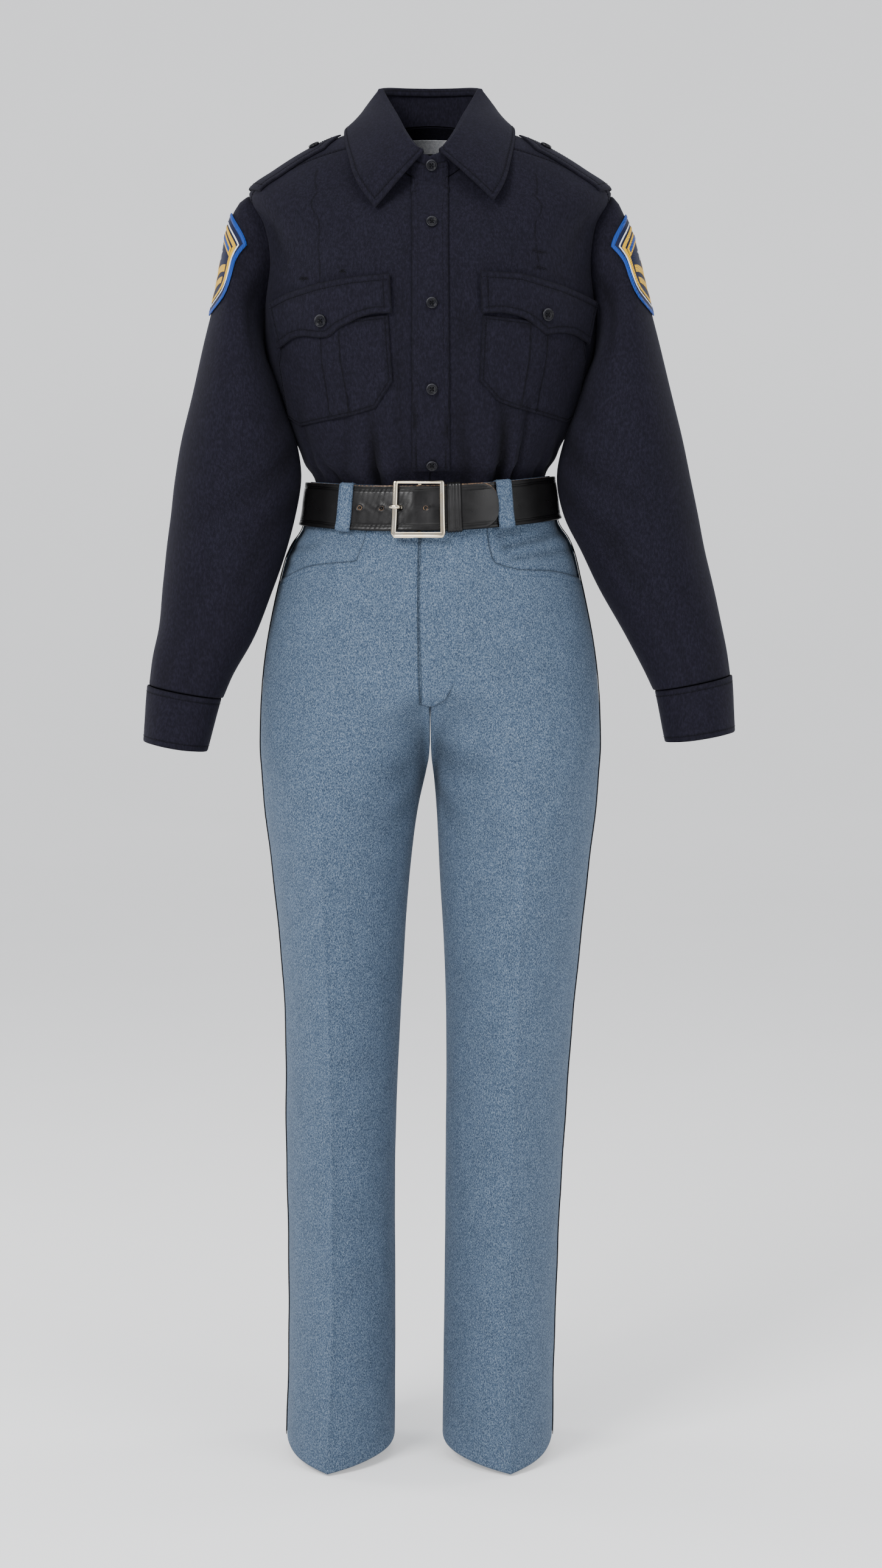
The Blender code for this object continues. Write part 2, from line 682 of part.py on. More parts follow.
def triangles_over(outline, step, levels, creases):
    """Points and triangles that fill an outline.

    Inside it lies a staggered grid, with a row of points at each of the levels and a column of
    points at each of the creases.
    """
    low, high = outline.min(axis=0), outline.max(axis=0)
    rise = step * math.sqrt(3) / 2
    start = max(levels) if levels else low[1]
    heights = list(levels) + list(np.arange(start + rise, high[1], rise))
    grid = []
    for row, height in enumerate(heights):
        shift = step / 2 if row % 2 else 0
        for column in range(int((high[0] - low[0]) / step) + 1):
            across = low[0] + shift + column * step
            if all(abs(across - crease) > step * 0.45 for crease in creases):
                grid.append((across, height))
        grid += [(crease, height) for crease in creases]
    grid = np.array(grid).reshape(-1, 2)
    if len(grid):
        grid = grid[inside(grid, outline)]
    if len(grid):
        grid = grid[distance_to(grid, outline) > step * 0.55]
    points = np.vstack((outline, grid)) if len(grid) else outline
    edges = [(i, (i + 1) % len(outline)) for i in range(len(outline))]
    within = 1              # keeps only the triangles that the outline encloses
    flat, _, faces, _, _, _ = delaunay_2d_cdt(
        [tuple(p) for p in points], edges, [], within, TINY
    )
    return np.array([tuple(p) for p in flat]), [tuple(face) for face in faces]


def no_rise(a, t):
    return np.zeros_like(a)


def panel(
    name, form, outline, finish, step=GRID, low=-CLOTH, high=0.0, rise=no_rise, back=SEAM,
    levels=(), creases=(),
):
    """A cloth wall over an outline of lengths, from the lift low to the lift high."""
    edge = inset(spaced(outline, step), back)
    flat, triangles = triangles_over(edge, step, levels, creases)
    a, t = flat[:, 0], flat[:, 1]
    extra = rise(a, t)
    outer = form.lifted(a, t, high + extra)
    inner = form.lifted(a, t, low + extra)
    count = len(flat)
    faces = list(triangles) + [tuple(i + count for i in face[::-1]) for face in triangles]
    directed = {(f[i], f[(i + 1) % 3]) for f in triangles for i in range(3)}
    for start, end in directed:
        if (end, start) not in directed:
            faces.append((end, start, start + count, end + count))
    return add_object(name, np.vstack((outer, inner)), sorted(faces), finish)


def tube(name, form, around, stations, finish, low=-CLOTH, high=0.0, closed=True):
    """A wall that goes right round a form, or part of the way, open at both ends."""
    columns = len(around)
    walls = []
    for lift in (high, low):
        for t in stations:
            walls.append(form.lifted(np.array(around), np.full(columns, t), lift))
    points = np.vstack(walls)
    rows = len(stations)

    def index(wall, row, column):
        return (wall * rows + row) * columns + column % columns

    faces = []
    for column in range(columns if closed else columns - 1):
        for row in range(rows - 1):
            for wall in (0, 1):
                ring = (
                    index(wall, row, column), index(wall, row, column + 1),
                    index(wall, row + 1, column + 1), index(wall, row + 1, column),
                )
                faces.append(ring if wall == 0 else ring[::-1])
        for row in (0, rows - 1):
            ring = (
                index(0, row, column), index(1, row, column),
                index(1, row, column + 1), index(0, row, column + 1),
            )
            faces.append(ring if row == 0 else ring[::-1])
    for column in () if closed else (0, columns - 1):
        for row in range(rows - 1):
            ring = (
                index(0, row, column), index(0, row + 1, column),
                index(1, row + 1, column), index(1, row, column),
            )
            faces.append(ring if column == 0 else ring[::-1])
    return add_object(name, points, faces, finish)


def strip(name, form, stations, bottom, top, low, high, finish):
    """A wall along a form's length a, whose lifts may change from station to station."""
    points = []
    for a, below, above in zip(stations, low, high):
        for t, lift in ((bottom, above), (top, above), (top, below), (bottom, below)):
            points.append(form.lifted(np.array([a]), np.array([t]), lift)[0])
    faces = [(3, 2, 1, 0)]
    for i in range(len(stations) - 1):
        start = 4 * i
        for side in range(4):
            after = (side + 1) % 4
            faces.append((start + side, start + after, start + 4 + after, start + 4 + side))
    last = 4 * (len(stations) - 1)
    faces.append((last, last + 1, last + 2, last + 3))
    return add_object(name, points, faces, finish)


def on_front(form, outline, step=FINE):
    """An outline drawn in front view, in millimetres, as lengths on a form."""
    points = np.array(spaced([(x * MM, z * MM) for x, z in outline], step))
    a, t = form.front_place(points[:, 0], points[:, 1])
    return [(float(u), float(v)) for u, v in zip(a, t)]


def armhole_run(torso, side, first, last):
    """Seam points of an armhole from one of its steps to another."""
    order = range(first, last + 1) if first < last else range(first, last - 1, -1)
    angles = [step * 2 * math.pi / ARMHOLE_STEPS for step in order]
    return [tuple(float(v) for v in armhole_lengths(torso, angle, side)) for angle in angles]


def yoke_seam(torso):
    """Points of the yoke's front seam, from the neckline to the armhole on the wearer's left."""
    start = np.array((NECK_SEAM, torso.top))
    end = np.array(armhole_run(torso, 1, YOKE_FRONT_STEP, YOKE_FRONT_STEP - 1)[0])
    return [tuple(start + (end - start) * share) for share in np.linspace(0, 1, 6)]


def fold_columns(torso, side):
    """Lengths round the torso at the middle and the two sides of each of a front's folds."""
    found = []
    for x, _, bottom, half, _ in FOLD_ROWS[side]:
        for edge in (x - half, x, x + half):
            found.append(float(torso.front_place(edge * MM, bottom * MM)[0]))
    return tuple(sorted(found))


def fold_rise(torso, side):
    """The folds' depth over the torso's lengths, deepest at the belt and fading upwards."""
    def rise(a, t):
        total = np.zeros_like(a)
        height = torso.point(a, t)[:, 2]
        for x, top, bottom, half, depth in FOLD_ROWS[side]:
            middle = float(torso.front_place(x * MM, bottom * MM)[0])
            across = np.clip(1 - np.abs(a - middle) / (half * MM), 0, 1)
            down = smooth_step((top * MM - height) / ((top - bottom) * MM))
            total = total - depth * MM * across * down
        return total

    return rise


def shirt_body(torso):
    """Both fronts, the yoke and the back, which meet at the seams."""
    half = ARMHOLE_STEPS // 2
    underarm = torso.side_place(UNDERARM_Z)
    tuck = tuple(float(t) for t in torso.sections.knots[1:TUCK_ROWS])
    for name, side in (("left", 1), ("right", -1)):
        outline = [(0.0, 0.0), (SIDE * side, 0.0)]
        outline += [(SIDE * side, t) for t in tuck]
        outline += [(SIDE * side, underarm)]
        outline += armhole_run(torso, side, half, YOKE_FRONT_STEP + 1)[1:]
        outline += [(a * side, t) for a, t in yoke_seam(torso)[::-1]]
        outline += [(0.0, torso.top)]
        outline += [(0.0, t) for t in tuck[::-1]]
        columns = fold_columns(torso, name)
        rise = fold_rise(torso, name)
        panel(
            f"shirt_front_{name}", torso, outline, SHIRT, rise=rise, levels=tuck, creases=columns,
        )
    turn = 4 * SIDE
    yoke = yoke_seam(torso)
    yoke += armhole_run(torso, 1, YOKE_FRONT_STEP, 0)[1:]
    yoke += armhole_run(torso, 1, ARMHOLE_STEPS, YOKE_BACK_STEP)[1:]
    yoke += [(turn + a, t) for a, t in armhole_run(torso, -1, YOKE_BACK_STEP, ARMHOLE_STEPS)]
    yoke += [(turn + a, t) for a, t in armhole_run(torso, -1, 0, YOKE_FRONT_STEP)[1:-1]]
    yoke += [(turn - a, t) for a, t in yoke_seam(torso)[::-1]]
    panel("shirt_yoke", torso, yoke, SHIRT, 26 * MM)
    back = [(SIDE, 0.0), (3 * SIDE, 0.0)]
    back += [(3 * SIDE, t) for t in tuck + (underarm,)]
    back += [(turn + a, t) for a, t in armhole_run(torso, -1, half, YOKE_BACK_STEP)[1:]]
    back += armhole_run(torso, 1, YOKE_BACK_STEP, half)
    back += [(SIDE, t) for t in tuck[::-1]]
    panel("shirt_back", torso, back, SHIRT, levels=tuck)


def ring_steps(count, radius):
    return [i * 2 * math.pi / count * radius for i in range(count)]


def sleeves(torso):
    """Each sleeve in a front and a back half, with its cuff, patch and button."""
    for name, side in (("left", 1), ("right", -1)):
        form = Sleeve(torso, side, SLEEVE_ROWS[name], True)
        stations = list(form.sections.knots)
        stations[0] = 0.4 * MM
        stations[-1] -= 0.3 * MM
        half = ARMHOLE_STEPS // 2
        steps = ring_steps(ARMHOLE_STEPS, form.around)
        steps.append(2 * math.pi * form.around)
        for word, part in (("front", steps[:half + 1]), ("back", steps[half:])):
            part = [part[0] + SLEEVE_SPLIT] + part[1:-1] + [part[-1] - SLEEVE_SPLIT]
            tube(f"sleeve_{name}_{word}", form, part, stations, SHIRT, closed=False)
        cuff = Sleeve(torso, side, CUFF_ROWS[name], False)
        ring = ring_steps(ARMHOLE_STEPS, cuff.around)
        tube(f"cuff_{name}", cuff, ring, (0.0, cuff.length), SHIRT, low=-2.2 * MM)
        shoulder_patch(name, form)
        button(f"cuff_{name}_button", cuff, (250 / 180 * math.pi * cuff.around, cuff.length / 2))


def shoulder_patch(name, form):
    """A plain heater shield on the sleeve's outer side."""
    half = PATCH_WIDTH / 2
    middle = math.radians(PATCH_TURN) * form.around
    right = [(middle + half * x, PATCH_DOWN + PATCH_HEIGHT * y) for x, y in PATCH_PROFILE]
    left = [(2 * middle - a, t) for a, t in right[-2:0:-1]]
    panel(f"patch_{name}", form, right + left, BADGE, FINE, 1.0 * MM, 1.8 * MM)


def button(name, form, place, size=BUTTON, lift=LAY, thick=2.6 * MM):
    """A round button with a raised rim, lying on a form."""
    a, t = (np.array([v], dtype=float) for v in place)
    centre = form.lifted(a, t, lift)[0]
    normal = form.normal(a, t)[0]
    across = unit(np.cross(normal, np.array((0.0, 0.0, 1.0))))
    up = np.cross(across, normal)
    profile = ((0.0, 0.0), (0.85, 0.0), (1.0, 0.5), (0.9, 1.0), (0.7, 0.72), (0.0, 0.72))
    points, faces = [centre], []
    segments = 10
    for share, height in profile[1:-1]:
        for i in range(segments):
            angle = i * 2 * math.pi / segments
            reach = (across * math.cos(angle) + up * math.sin(angle)) * size / 2 * share
            points.append(centre + reach + normal * thick * height)
    points.append(centre + normal * thick * profile[-1][1])
    rings, last = len(profile) - 2, len(points) - 1
    for i in range(segments):
        after = (i + 1) % segments
        faces.append((0, 1 + after, 1 + i))
        for ring in range(rings - 1):
            low, high = 1 + ring * segments, 1 + (ring + 1) * segments
            faces.append((low + i, low + after, high + after, high + i))
        top = 1 + (rings - 1) * segments
        faces.append((top + i, top + after, last))
    return add_object(name, points, faces, RESIN)


def placket(torso):
    half = PLACKET_WIDTH / 2 / MM
    outline = [
        (1 - half, PLACKET_BOTTOM), (1 + half, PLACKET_BOTTOM),
        (half - 1, PLACKET_TOP), (1 - half, PLACKET_TOP),
    ]
    low, top = 1.0 * MM, 2.4 * MM
    tuck = tuple(float(t) for t in torso.sections.knots[3:TUCK_ROWS])
    band = on_front(torso, outline, 22 * MM)
    panel("placket", torso, band, SHIRT, 22 * MM, low, top, levels=tuck)
    for number, (height, seat) in enumerate(FRONT_BUTTON_ROWS, start=1):
        place = on_front(torso, [(2, height)])[0]
        button(f"placket_button_{number}", torso, place, lift=top + seat * MM)


def pocket_depths(name):
    heights = [z for _, z in POCKETS[name]["pocket"]]
    return max(heights) * MM, min(heights) * MM


def pleat_rise(torso, name):
    """The raised box pleat down the middle of a pocket, as a rise over the torso's lengths."""
    top_low, top_high, bottom_low, bottom_high = (v * MM for v in POCKETS[name]["pleat"])
    top, bottom = pocket_depths(name)

    def rise(a, t):
        place = torso.point(a, t)
        x, z = place[:, 0], place[:, 2]
        down = np.clip((top - z) / (top - bottom), 0, 1)
        low = top_low + (bottom_low - top_low) * down
        high = top_high + (bottom_high - top_high) * down
        return np.where((x > low - TINY) & (x < high + TINY), PLEAT_RISE, 0.0)

    return rise


def chest_pockets(torso):
    for name, plan in POCKETS.items():
        panel(
            f"pocket_{name}", torso, on_front(torso, plan["pocket"]), SHIRT, FINE,
            POCKET_LIFT, POCKET_LIFT + POCKET_THICK, pleat_rise(torso, name),
        )
        panel(
            f"flap_{name}", torso, on_front(torso, plan["flap"]), SHIRT, FINE,
            FLAP_LIFT, FLAP_LIFT + FLAP_THICK,
        )
        place = on_front(torso, [plan["button"]])[0]
        lift = FLAP_LIFT + FLAP_THICK + 0.4 * MM
        button(f"flap_{name}_button", torso, place, FLAP_BUTTON, lift)


def shoulder_straps(torso):
    """Epaulettes from the sleeve seams to the collar, each with a button near its point."""
    start = torso.sections.knots[SHOULDER_ROW] + 3 * MM
    end = torso.sections.knots[NECK_ROW] - STRAP_GAP
    wide, narrow = (v * MM for v in STRAP_HALF_WIDTH)
    tip, forward = STRAP_POINT * MM, STRAP_FORWARD * MM
    for name, side in (("left", 1), ("right", -1)):
        form = ShoulderTop(torso, side)
        outline = [
            (start, -wide - forward), (end - tip, -narrow - forward), (end, -forward),
            (end - tip, narrow - forward), (start, wide - forward),
        ]
        low = 1.5 * MM
        top = low + 1.4 * MM
        panel(f"epaulette_{name}", form, outline, SHIRT, FINE, low, top)
        place = (end - tip - 3 * MM, -forward)
        button(f"epaulette_{name}_button", form, place, lift=top)


def collar(torso):
    """The stand inside the neck, the fall over it, the neck button and the plain label."""
    stand = CollarStand(torso)
    ring = ring_steps(28, COLLAR_RADIUS)
    stations = (0.3 * MM, stand.height / 2, stand.height - 0.8 * MM)
    tube("collar_stand", stand, ring, stations, SHIRT, low=-2.0 * MM)
    fall = CollarFall()
    first, last = fall.first * COLLAR_RADIUS, fall.last * COLLAR_RADIUS
    outline = [(first, 0.0), (last, 0.0), (last, COLLAR_DEPTH), (first, COLLAR_DEPTH)]
    panel("collar_fall", fall, outline, SHIRT, FINE, 0.0, 1.6 * MM, back=0.0)
    place = (1.5 * MM, stand.height * 0.62)
    button("neck_button", stand, place)
    half_wide, height = LABEL_SIZE[0] / 2 * MM, LABEL_SIZE[1] * MM
    back = 2 * SIDE
    narrow = GIRTH_RADIUS / 0.1
    low = torso.top - 32 * MM
    label = [
        (back - half_wide * narrow, low), (back + half_wide * narrow, low),
        (back + half_wide * narrow, low + height), (back - half_wide * narrow, low + height),
    ]
    under = -CLOTH - 2.0 * MM
    panel("neck_label", torso, label, LABEL, 18 * MM, under - 0.6 * MM, under)


def trousers(waist, legs):
    """Fronts with their curved pocket openings, backs, facings, braids, fly and waistband."""
    top = LEG_ROWS["left"][0][0] * MM - 0.3 * MM
    outer = 2 * LEG_QUARTER
    for name, form in legs.items():
        opening = []
        for x, z in POCKET_OPENING:
            a, t = form.front_place(np.array(x * MM), np.array(z * MM))
            opening.append((float(a), float(t)))
        opening[0] = (opening[0][0], top)
        opening.append((outer, -0.434))
        hem = [(q * LEG_QUARTER, float(form.hem(q * LEG_QUARTER))) for q in (2, 1.5, 1, 0.5, 0)]
        front = [(0.0, top)] + opening + hem
        crease = (LEG_QUARTER,)
        panel(f"trouser_front_{name}", form, front, TROUSER, LEG_GRID, creases=crease)
        facing = [(outer, top)] + opening[::-1]
        sunk = -0.8 * MM
        panel(
            f"pocket_facing_{name}", form, facing, TROUSER, FINE, sunk - CLOTH, sunk,
            back=0.3 * MM,
        )
        hem = [(q * LEG_QUARTER, float(form.hem(q * LEG_QUARTER))) for q in (4, 3.5, 3, 2.5, 2)]
        back = [(outer, top), (2 * outer, top)] + hem
        crease = (3 * LEG_QUARTER,)
        panel(f"trouser_back_{name}", form, back, TROUSER, LEG_GRID, creases=crease)
        half = BRAID_WIDTH / 2
        low = HEM_Z + 1 * MM
        braid = [(outer - half, top), (outer + half, top), (outer + half, low), (outer - half, low)]
        panel(f"side_braid_{name}", form, braid, STRIPE, 20 * MM, 0.9 * MM, 1.7 * MM)
    hips = Hips(legs["right"], legs["left"])
    fly = [(x * MM, z * MM) for x, z in FLY_OUTLINE]
    panel("fly", hips, fly, TROUSER, 19 * MM, LAY, LAY + 1.2 * MM)
    ring = ring_steps(36, BELT_RADIUS)
    stations = [row[1] * MM for row in WAIST_ROWS[::-1]]
    tube("waistband", waist, ring, stations, TROUSER, low=-2.2 * MM)


def belt(waist):
    """Strap, keeper, buckle and the trousers' loops round it."""
    low, high = BELT_MIDDLE_Z - BELT_WIDTH / 2, BELT_MIDDLE_Z + BELT_WIDTH / 2
    whole = 2 * math.pi * BELT_RADIUS
    start = waist.length_at(BELT_START_X * MM)
    ramp = [whole + waist.length_at(x * MM) for x in BELT_RAMP]
    tip = whole + waist.length_at(BELT_TIP_X * MM)
    stations = list(np.linspace(start, ramp[0], 40))
    stations += list(np.linspace(ramp[0], ramp[1], 5))[1:]
    stations += list(np.linspace(ramp[1], tip, 9))[1:]
    share = smooth_step((np.array(stations) - ramp[0]) / (ramp[1] - ramp[0]))
    inner = BELT_CLEAR + share * BELT_LAYER
    strip("belt_strap", waist, stations, low, high, inner, inner + BELT_THICK, LEATHER)
    stack = BELT_CLEAR + 2 * BELT_LAYER
    belt_ring("belt_keeper", waist, KEEPER_X, low, high, stack, LEATHER)
    for name, x in LOOPS.items():
        middle = waist.length_at(x * MM)
        height = BELT_CLEAR + (BELT_THICK if name == "right" else BELT_THICK + 1.2 * MM)
        belt_loop(f"belt_loop_{name}", waist, middle, low, high, height)
    for name, turn in LOOP_BACK_TURNS.items():
        middle = math.radians(turn) * BELT_RADIUS
        belt_loop(f"belt_loop_{name}", waist, middle, low, high, BELT_CLEAR + BELT_THICK)
    buckle(waist, stack)


def belt_ring(name, waist, x_range, low, high, stack, finish):
    """A closed band round the belt, made of an inner and an outer rectangle."""
    gap, wall = BELT_GAP, 1.8 * MM
    backs = (BELT_CLEAR - 0.3 * MM, 0.3 * MM)
    start, end = (waist.length_at(x * MM) for x in x_range)
    stations = np.linspace(start, end, 3)
    points = []
    for a in stations:
        for grow, behind in zip((0.0, wall), backs):
            bottom, top = low - gap - grow, high + gap + grow
            front = stack + grow
            for t, lift in ((bottom, front), (top, front), (top, behind), (bottom, behind)):
                points.append(waist.lifted(np.array([a]), np.array([t]), lift)[0])
    faces = []
    for i in range(len(stations) - 1):
        for side in range(4):
            after = (side + 1) % 4
            here, there = 8 * i, 8 * (i + 1)
            faces.append((here + side, here + after, there + after, there + side))
            faces.append(
                (here + 4 + side, there + 4 + side, there + 4 + after, here + 4 + after)
            )
    for i, flip in ((0, False), (len(stations) - 1, True)):
        for side in range(4):
            after = (side + 1) % 4
            ring = (8 * i + side, 8 * i + 4 + side, 8 * i + 4 + after, 8 * i + after)
            faces.append(ring if not flip else ring[::-1])
    return add_object(name, points, faces, finish)


def belt_loop(name, waist, middle, low, high, height):
    """A strap of cloth that stands over the belt, its ends bent in to the waistband."""
    gap, wall = 0.5 * MM, 1.3 * MM
    half = LOOP_WIDTH / 2
    profile = (
        (high + gap + wall, gap), (high + gap + wall, height + gap + wall),
        (low - gap - wall, height + gap + wall), (low - gap - wall, gap),
        (low - gap, gap), (low - gap, height + gap), (high + gap, height + gap),
        (high + gap, gap),
    )
    points = []
    for a in (middle - half, middle + half):
        for t, lift in profile:
            points.append(waist.lifted(np.array([a]), np.array([t]), lift)[0])
    count = len(profile)
    faces = []
    for i in range(count):
        after = (i + 1) % count
        faces.append((i, after, count + after, count + i))
    for offset, flip in ((0, True), (count, False)):
        for quad in ((0, 1, 6, 7), (1, 2, 5, 6), (2, 3, 4, 5)):
            ring = tuple(offset + i for i in quad)
            faces.append(ring[::-1] if flip else ring)
    return add_object(name, points, faces, TROUSER, smooth=False)


def buckle(waist, stack):
    """Frame over the strap, the hidden bar that carries it, and the prong."""
    middle_x = sum(BUCKLE_X) / 2 * MM
    half_wide = (BUCKLE_X[1] - BUCKLE_X[0]) / 2 * MM
    half_high = BUCKLE_HEIGHT / 2
    middle_z = BELT_MIDDLE_Z - 0.5 * MM
    corner, steps = BUCKLE_CORNER, 4
    path = []
    for turn, (sx, sz) in enumerate(((1, 1), (-1, 1), (-1, -1), (1, -1))):
        for i in range(steps + 1):
            angle = math.pi / 2 * (turn + i / steps)
            path.append((
                middle_x + sx * (half_wide - corner) + corner * math.cos(angle),
                middle_z + sz * (half_high - corner) + corner * math.sin(angle),
                math.cos(angle), math.sin(angle),
            ))
    path = with_middles(path, 4)
    section = ((0.0, 0.0), (0.0, 0.6), (0.25, 1.0), (0.75, 1.0), (1.0, 0.6), (1.0, 0.0))
    points, faces = [], []
    for x, z, out_x, out_z in path:
        for inward, height in section:
            a = waist.length_at(x - out_x * BUCKLE_BAR * inward)
            t = z - out_z * BUCKLE_BAR * inward - WAIST_TILT * x
            lift = stack + BUCKLE_RISE + BUCKLE_THICK * height
            points.append(waist.lifted(np.array([a]), np.array([t]), lift)[0])
    count, total = len(section), len(path)
    for i in range(total):
        here, there = i * count, (i + 1) % total * count
        for side in range(count):
            after = (side + 1) % count
            faces.append((here + side, here + after, there + after, there + side))
    add_object("buckle_frame", points, faces, NICKEL)
    bar_a = waist.length_at(BELT_START_X * MM - 4.2 * MM)
    low, high = middle_z - half_high + 1.5 * MM, middle_z + half_high - 1.5 * MM
    hook = 2.2 * MM
    bar_block("buckle_bar", waist, bar_a, low, high, BELT_CLEAR, stack, hook)
    prong(waist, stack, middle_z)


def with_middles(path, parts):
    """The frame's path with points added along its straight sides, where the direction holds."""
    whole = []
    for here, there in zip(path, path[1:] + path[:1]):
        whole.append(here)
        if math.dist(here[2:], there[2:]) < TINY:
            for i in range(1, parts):
                whole.append(tuple(h + (t - h) * i / parts for h, t in zip(here, there)))
    return whole


def bar_block(name, waist, a, low, high, bottom, stack, hook):
    """A bar behind the strap whose two ends turn out to just under the frame."""
    wide, thick = 1.4 * MM, 2.4 * MM
    top = stack + BUCKLE_RISE - 0.5 * MM
    profile = (
        (low, top), (low, bottom), (high, bottom), (high, top),
        (high - hook, top), (high - hook, bottom + thick),
        (low + hook, bottom + thick), (low + hook, top),
    )
    points = []
    for side in (a - wide, a + wide):
        for t, lift in profile:
            points.append(waist.lifted(np.array([side]), np.array([t]), lift)[0])
    count = len(profile)
    faces = [(i, (i + 1) % count, count + (i + 1) % count, count + i) for i in range(count)]
    for offset in (0, count):
        for quad in ((0, 1, 6, 7), (1, 2, 5, 6), (2, 3, 4, 5)):
            faces.append(tuple(offset + i for i in quad))
    return add_object(name, points, faces, NICKEL, smooth=False)


def prong(waist, stack, middle_z):
    """The pin that comes up through the strap's hole and rests on the frame's outer bar."""
    over = stack + BUCKLE_RISE + BUCKLE_THICK + 0.35 * MM
    start, rise, tip = -24.5, -29.5, -36.5
    path = ((start, stack + 0.3 * MM), (rise + 1.5, over), (rise, over), (tip, over))
    half, thick = 1.9 * MM, 2.0 * MM
    points, faces = [], []
    for x, lift in path:
        a = waist.length_at(x * MM)
        for dz, up in ((-half, 0), (-half, thick * 0.6), (0, thick), (half, thick * 0.6), (half, 0)):
            t = middle_z + 1 * MM + dz
            points.append(waist.lifted(np.array([a]), np.array([t]), lift + up)[0])
    count = 5
    for i in range(len(path) - 1):
        for side in range(count):
            after = (side + 1) % count
            faces.append((i * count + side, i * count + after,
                          (i + 1) * count + after, (i + 1) * count + side))
    faces.append(tuple(range(count)))
    faces.append(tuple(range((len(path) - 1) * count, len(path) * count))[::-1])
    return add_object("buckle_prong", points, faces, NICKEL)


def main():
    for old in list(bpy.data.objects):
        bpy.data.objects.remove(old, do_unlink=True)
    torso = Torso()
    waist = Waist()
    legs = {
        "left": Legs(1, LEG_ROWS["left"]),
        "right": Legs(-1, LEG_ROWS["right"]),
    }
    shirt_body(torso)
    sleeves(torso)
    collar(torso)
    placket(torso)
    chest_pockets(torso)
    shoulder_straps(torso)
    trousers(waist, legs)
    belt(waist)


main()
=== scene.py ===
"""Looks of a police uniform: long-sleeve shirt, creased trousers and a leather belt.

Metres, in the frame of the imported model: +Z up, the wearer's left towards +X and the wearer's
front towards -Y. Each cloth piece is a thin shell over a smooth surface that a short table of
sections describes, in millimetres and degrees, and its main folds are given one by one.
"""

import logging
import math
from dataclasses import dataclass, field
from enum import Enum
from typing import Callable, Optional, Sequence

import bmesh
import bpy
import numpy as np
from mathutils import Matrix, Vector
from mathutils.geometry import delaunay_2d_cdt


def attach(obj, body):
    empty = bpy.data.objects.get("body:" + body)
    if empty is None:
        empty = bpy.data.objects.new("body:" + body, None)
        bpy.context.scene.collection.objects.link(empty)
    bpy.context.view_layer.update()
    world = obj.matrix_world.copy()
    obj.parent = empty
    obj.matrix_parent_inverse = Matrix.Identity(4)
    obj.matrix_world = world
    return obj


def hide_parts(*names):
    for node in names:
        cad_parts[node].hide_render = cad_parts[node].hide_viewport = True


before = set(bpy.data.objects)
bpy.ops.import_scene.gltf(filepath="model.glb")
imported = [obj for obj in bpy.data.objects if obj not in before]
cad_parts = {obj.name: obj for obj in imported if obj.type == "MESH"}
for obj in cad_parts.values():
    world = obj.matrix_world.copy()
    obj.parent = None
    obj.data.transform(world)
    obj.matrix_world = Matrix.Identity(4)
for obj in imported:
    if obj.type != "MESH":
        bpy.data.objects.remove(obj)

LOG = logging.getLogger("uniform")
MM = 0.001
TINY = 1e-7
CLOTH = 1.6 * MM
SEAM = 0.2 * MM
LINE_OFFSETS = tuple(v * MM for v in (-1.3, -0.4, 0.4, 1.3))
GIRTH_RADIUS = 0.151
SIDE = GIRTH_RADIUS * math.pi / 2
LEG_QUARTER = 0.12
BELT_RADIUS = 0.118
COLLAR_RADIUS = 0.066
SLEEVE_RADIUS = 0.060
BODY_ROUND = 2.25
WAIST_TILT = 0.025
WAIST_RISE = 7 * MM
ARMHOLE_STEPS = 72
YOKE_FRONT_STEP = 8
YOKE_BACK_STEP = 60
REACH = 0.978

Pair = tuple[float, float]
Lift = Callable[[np.ndarray, np.ndarray], np.ndarray]

TORSO_ROWS = (      # side_x, side_z, front_y, front_z, back_y, back_z
    (116.0, -386, -91, -386, 85, -386),
    (115.0, -340, -90.5, -340, 84.5, -340),
    (118, -331, -92, -331, 86, -331),
    (126.0, -321, -99.5, -321, 92, -321),
    (131.5, -306, -108, -306, 98, -306),
    (138.0, -288, -115, -288, 101, -288),
    (151.0, -246, -121, -246, 106, -246),
    (164.0, -207, -127, -210, 111, -205),
    (167.0, -160, -130, -168, 116, -155),
    (164.0, -112, -125, -125, 117, -98),
    (170.5, -76, -115, -95, 109, -52),
    (181.5, -45.5, -107, -76, 97, -20),
    (155.0, -24, -99, -63, 86, -1),
    (116.0, -0.5, -92, -53, 76, 14),
    (80.0, 14.5, -87, -45, 66, 24),
    (61.0, 17, -84, -40, 60, 29),
)
SHOULDER_ROW, NECK_ROW = 11, 14
UNDERARM_Z = -0.205
NECK_SEAM = 0.135

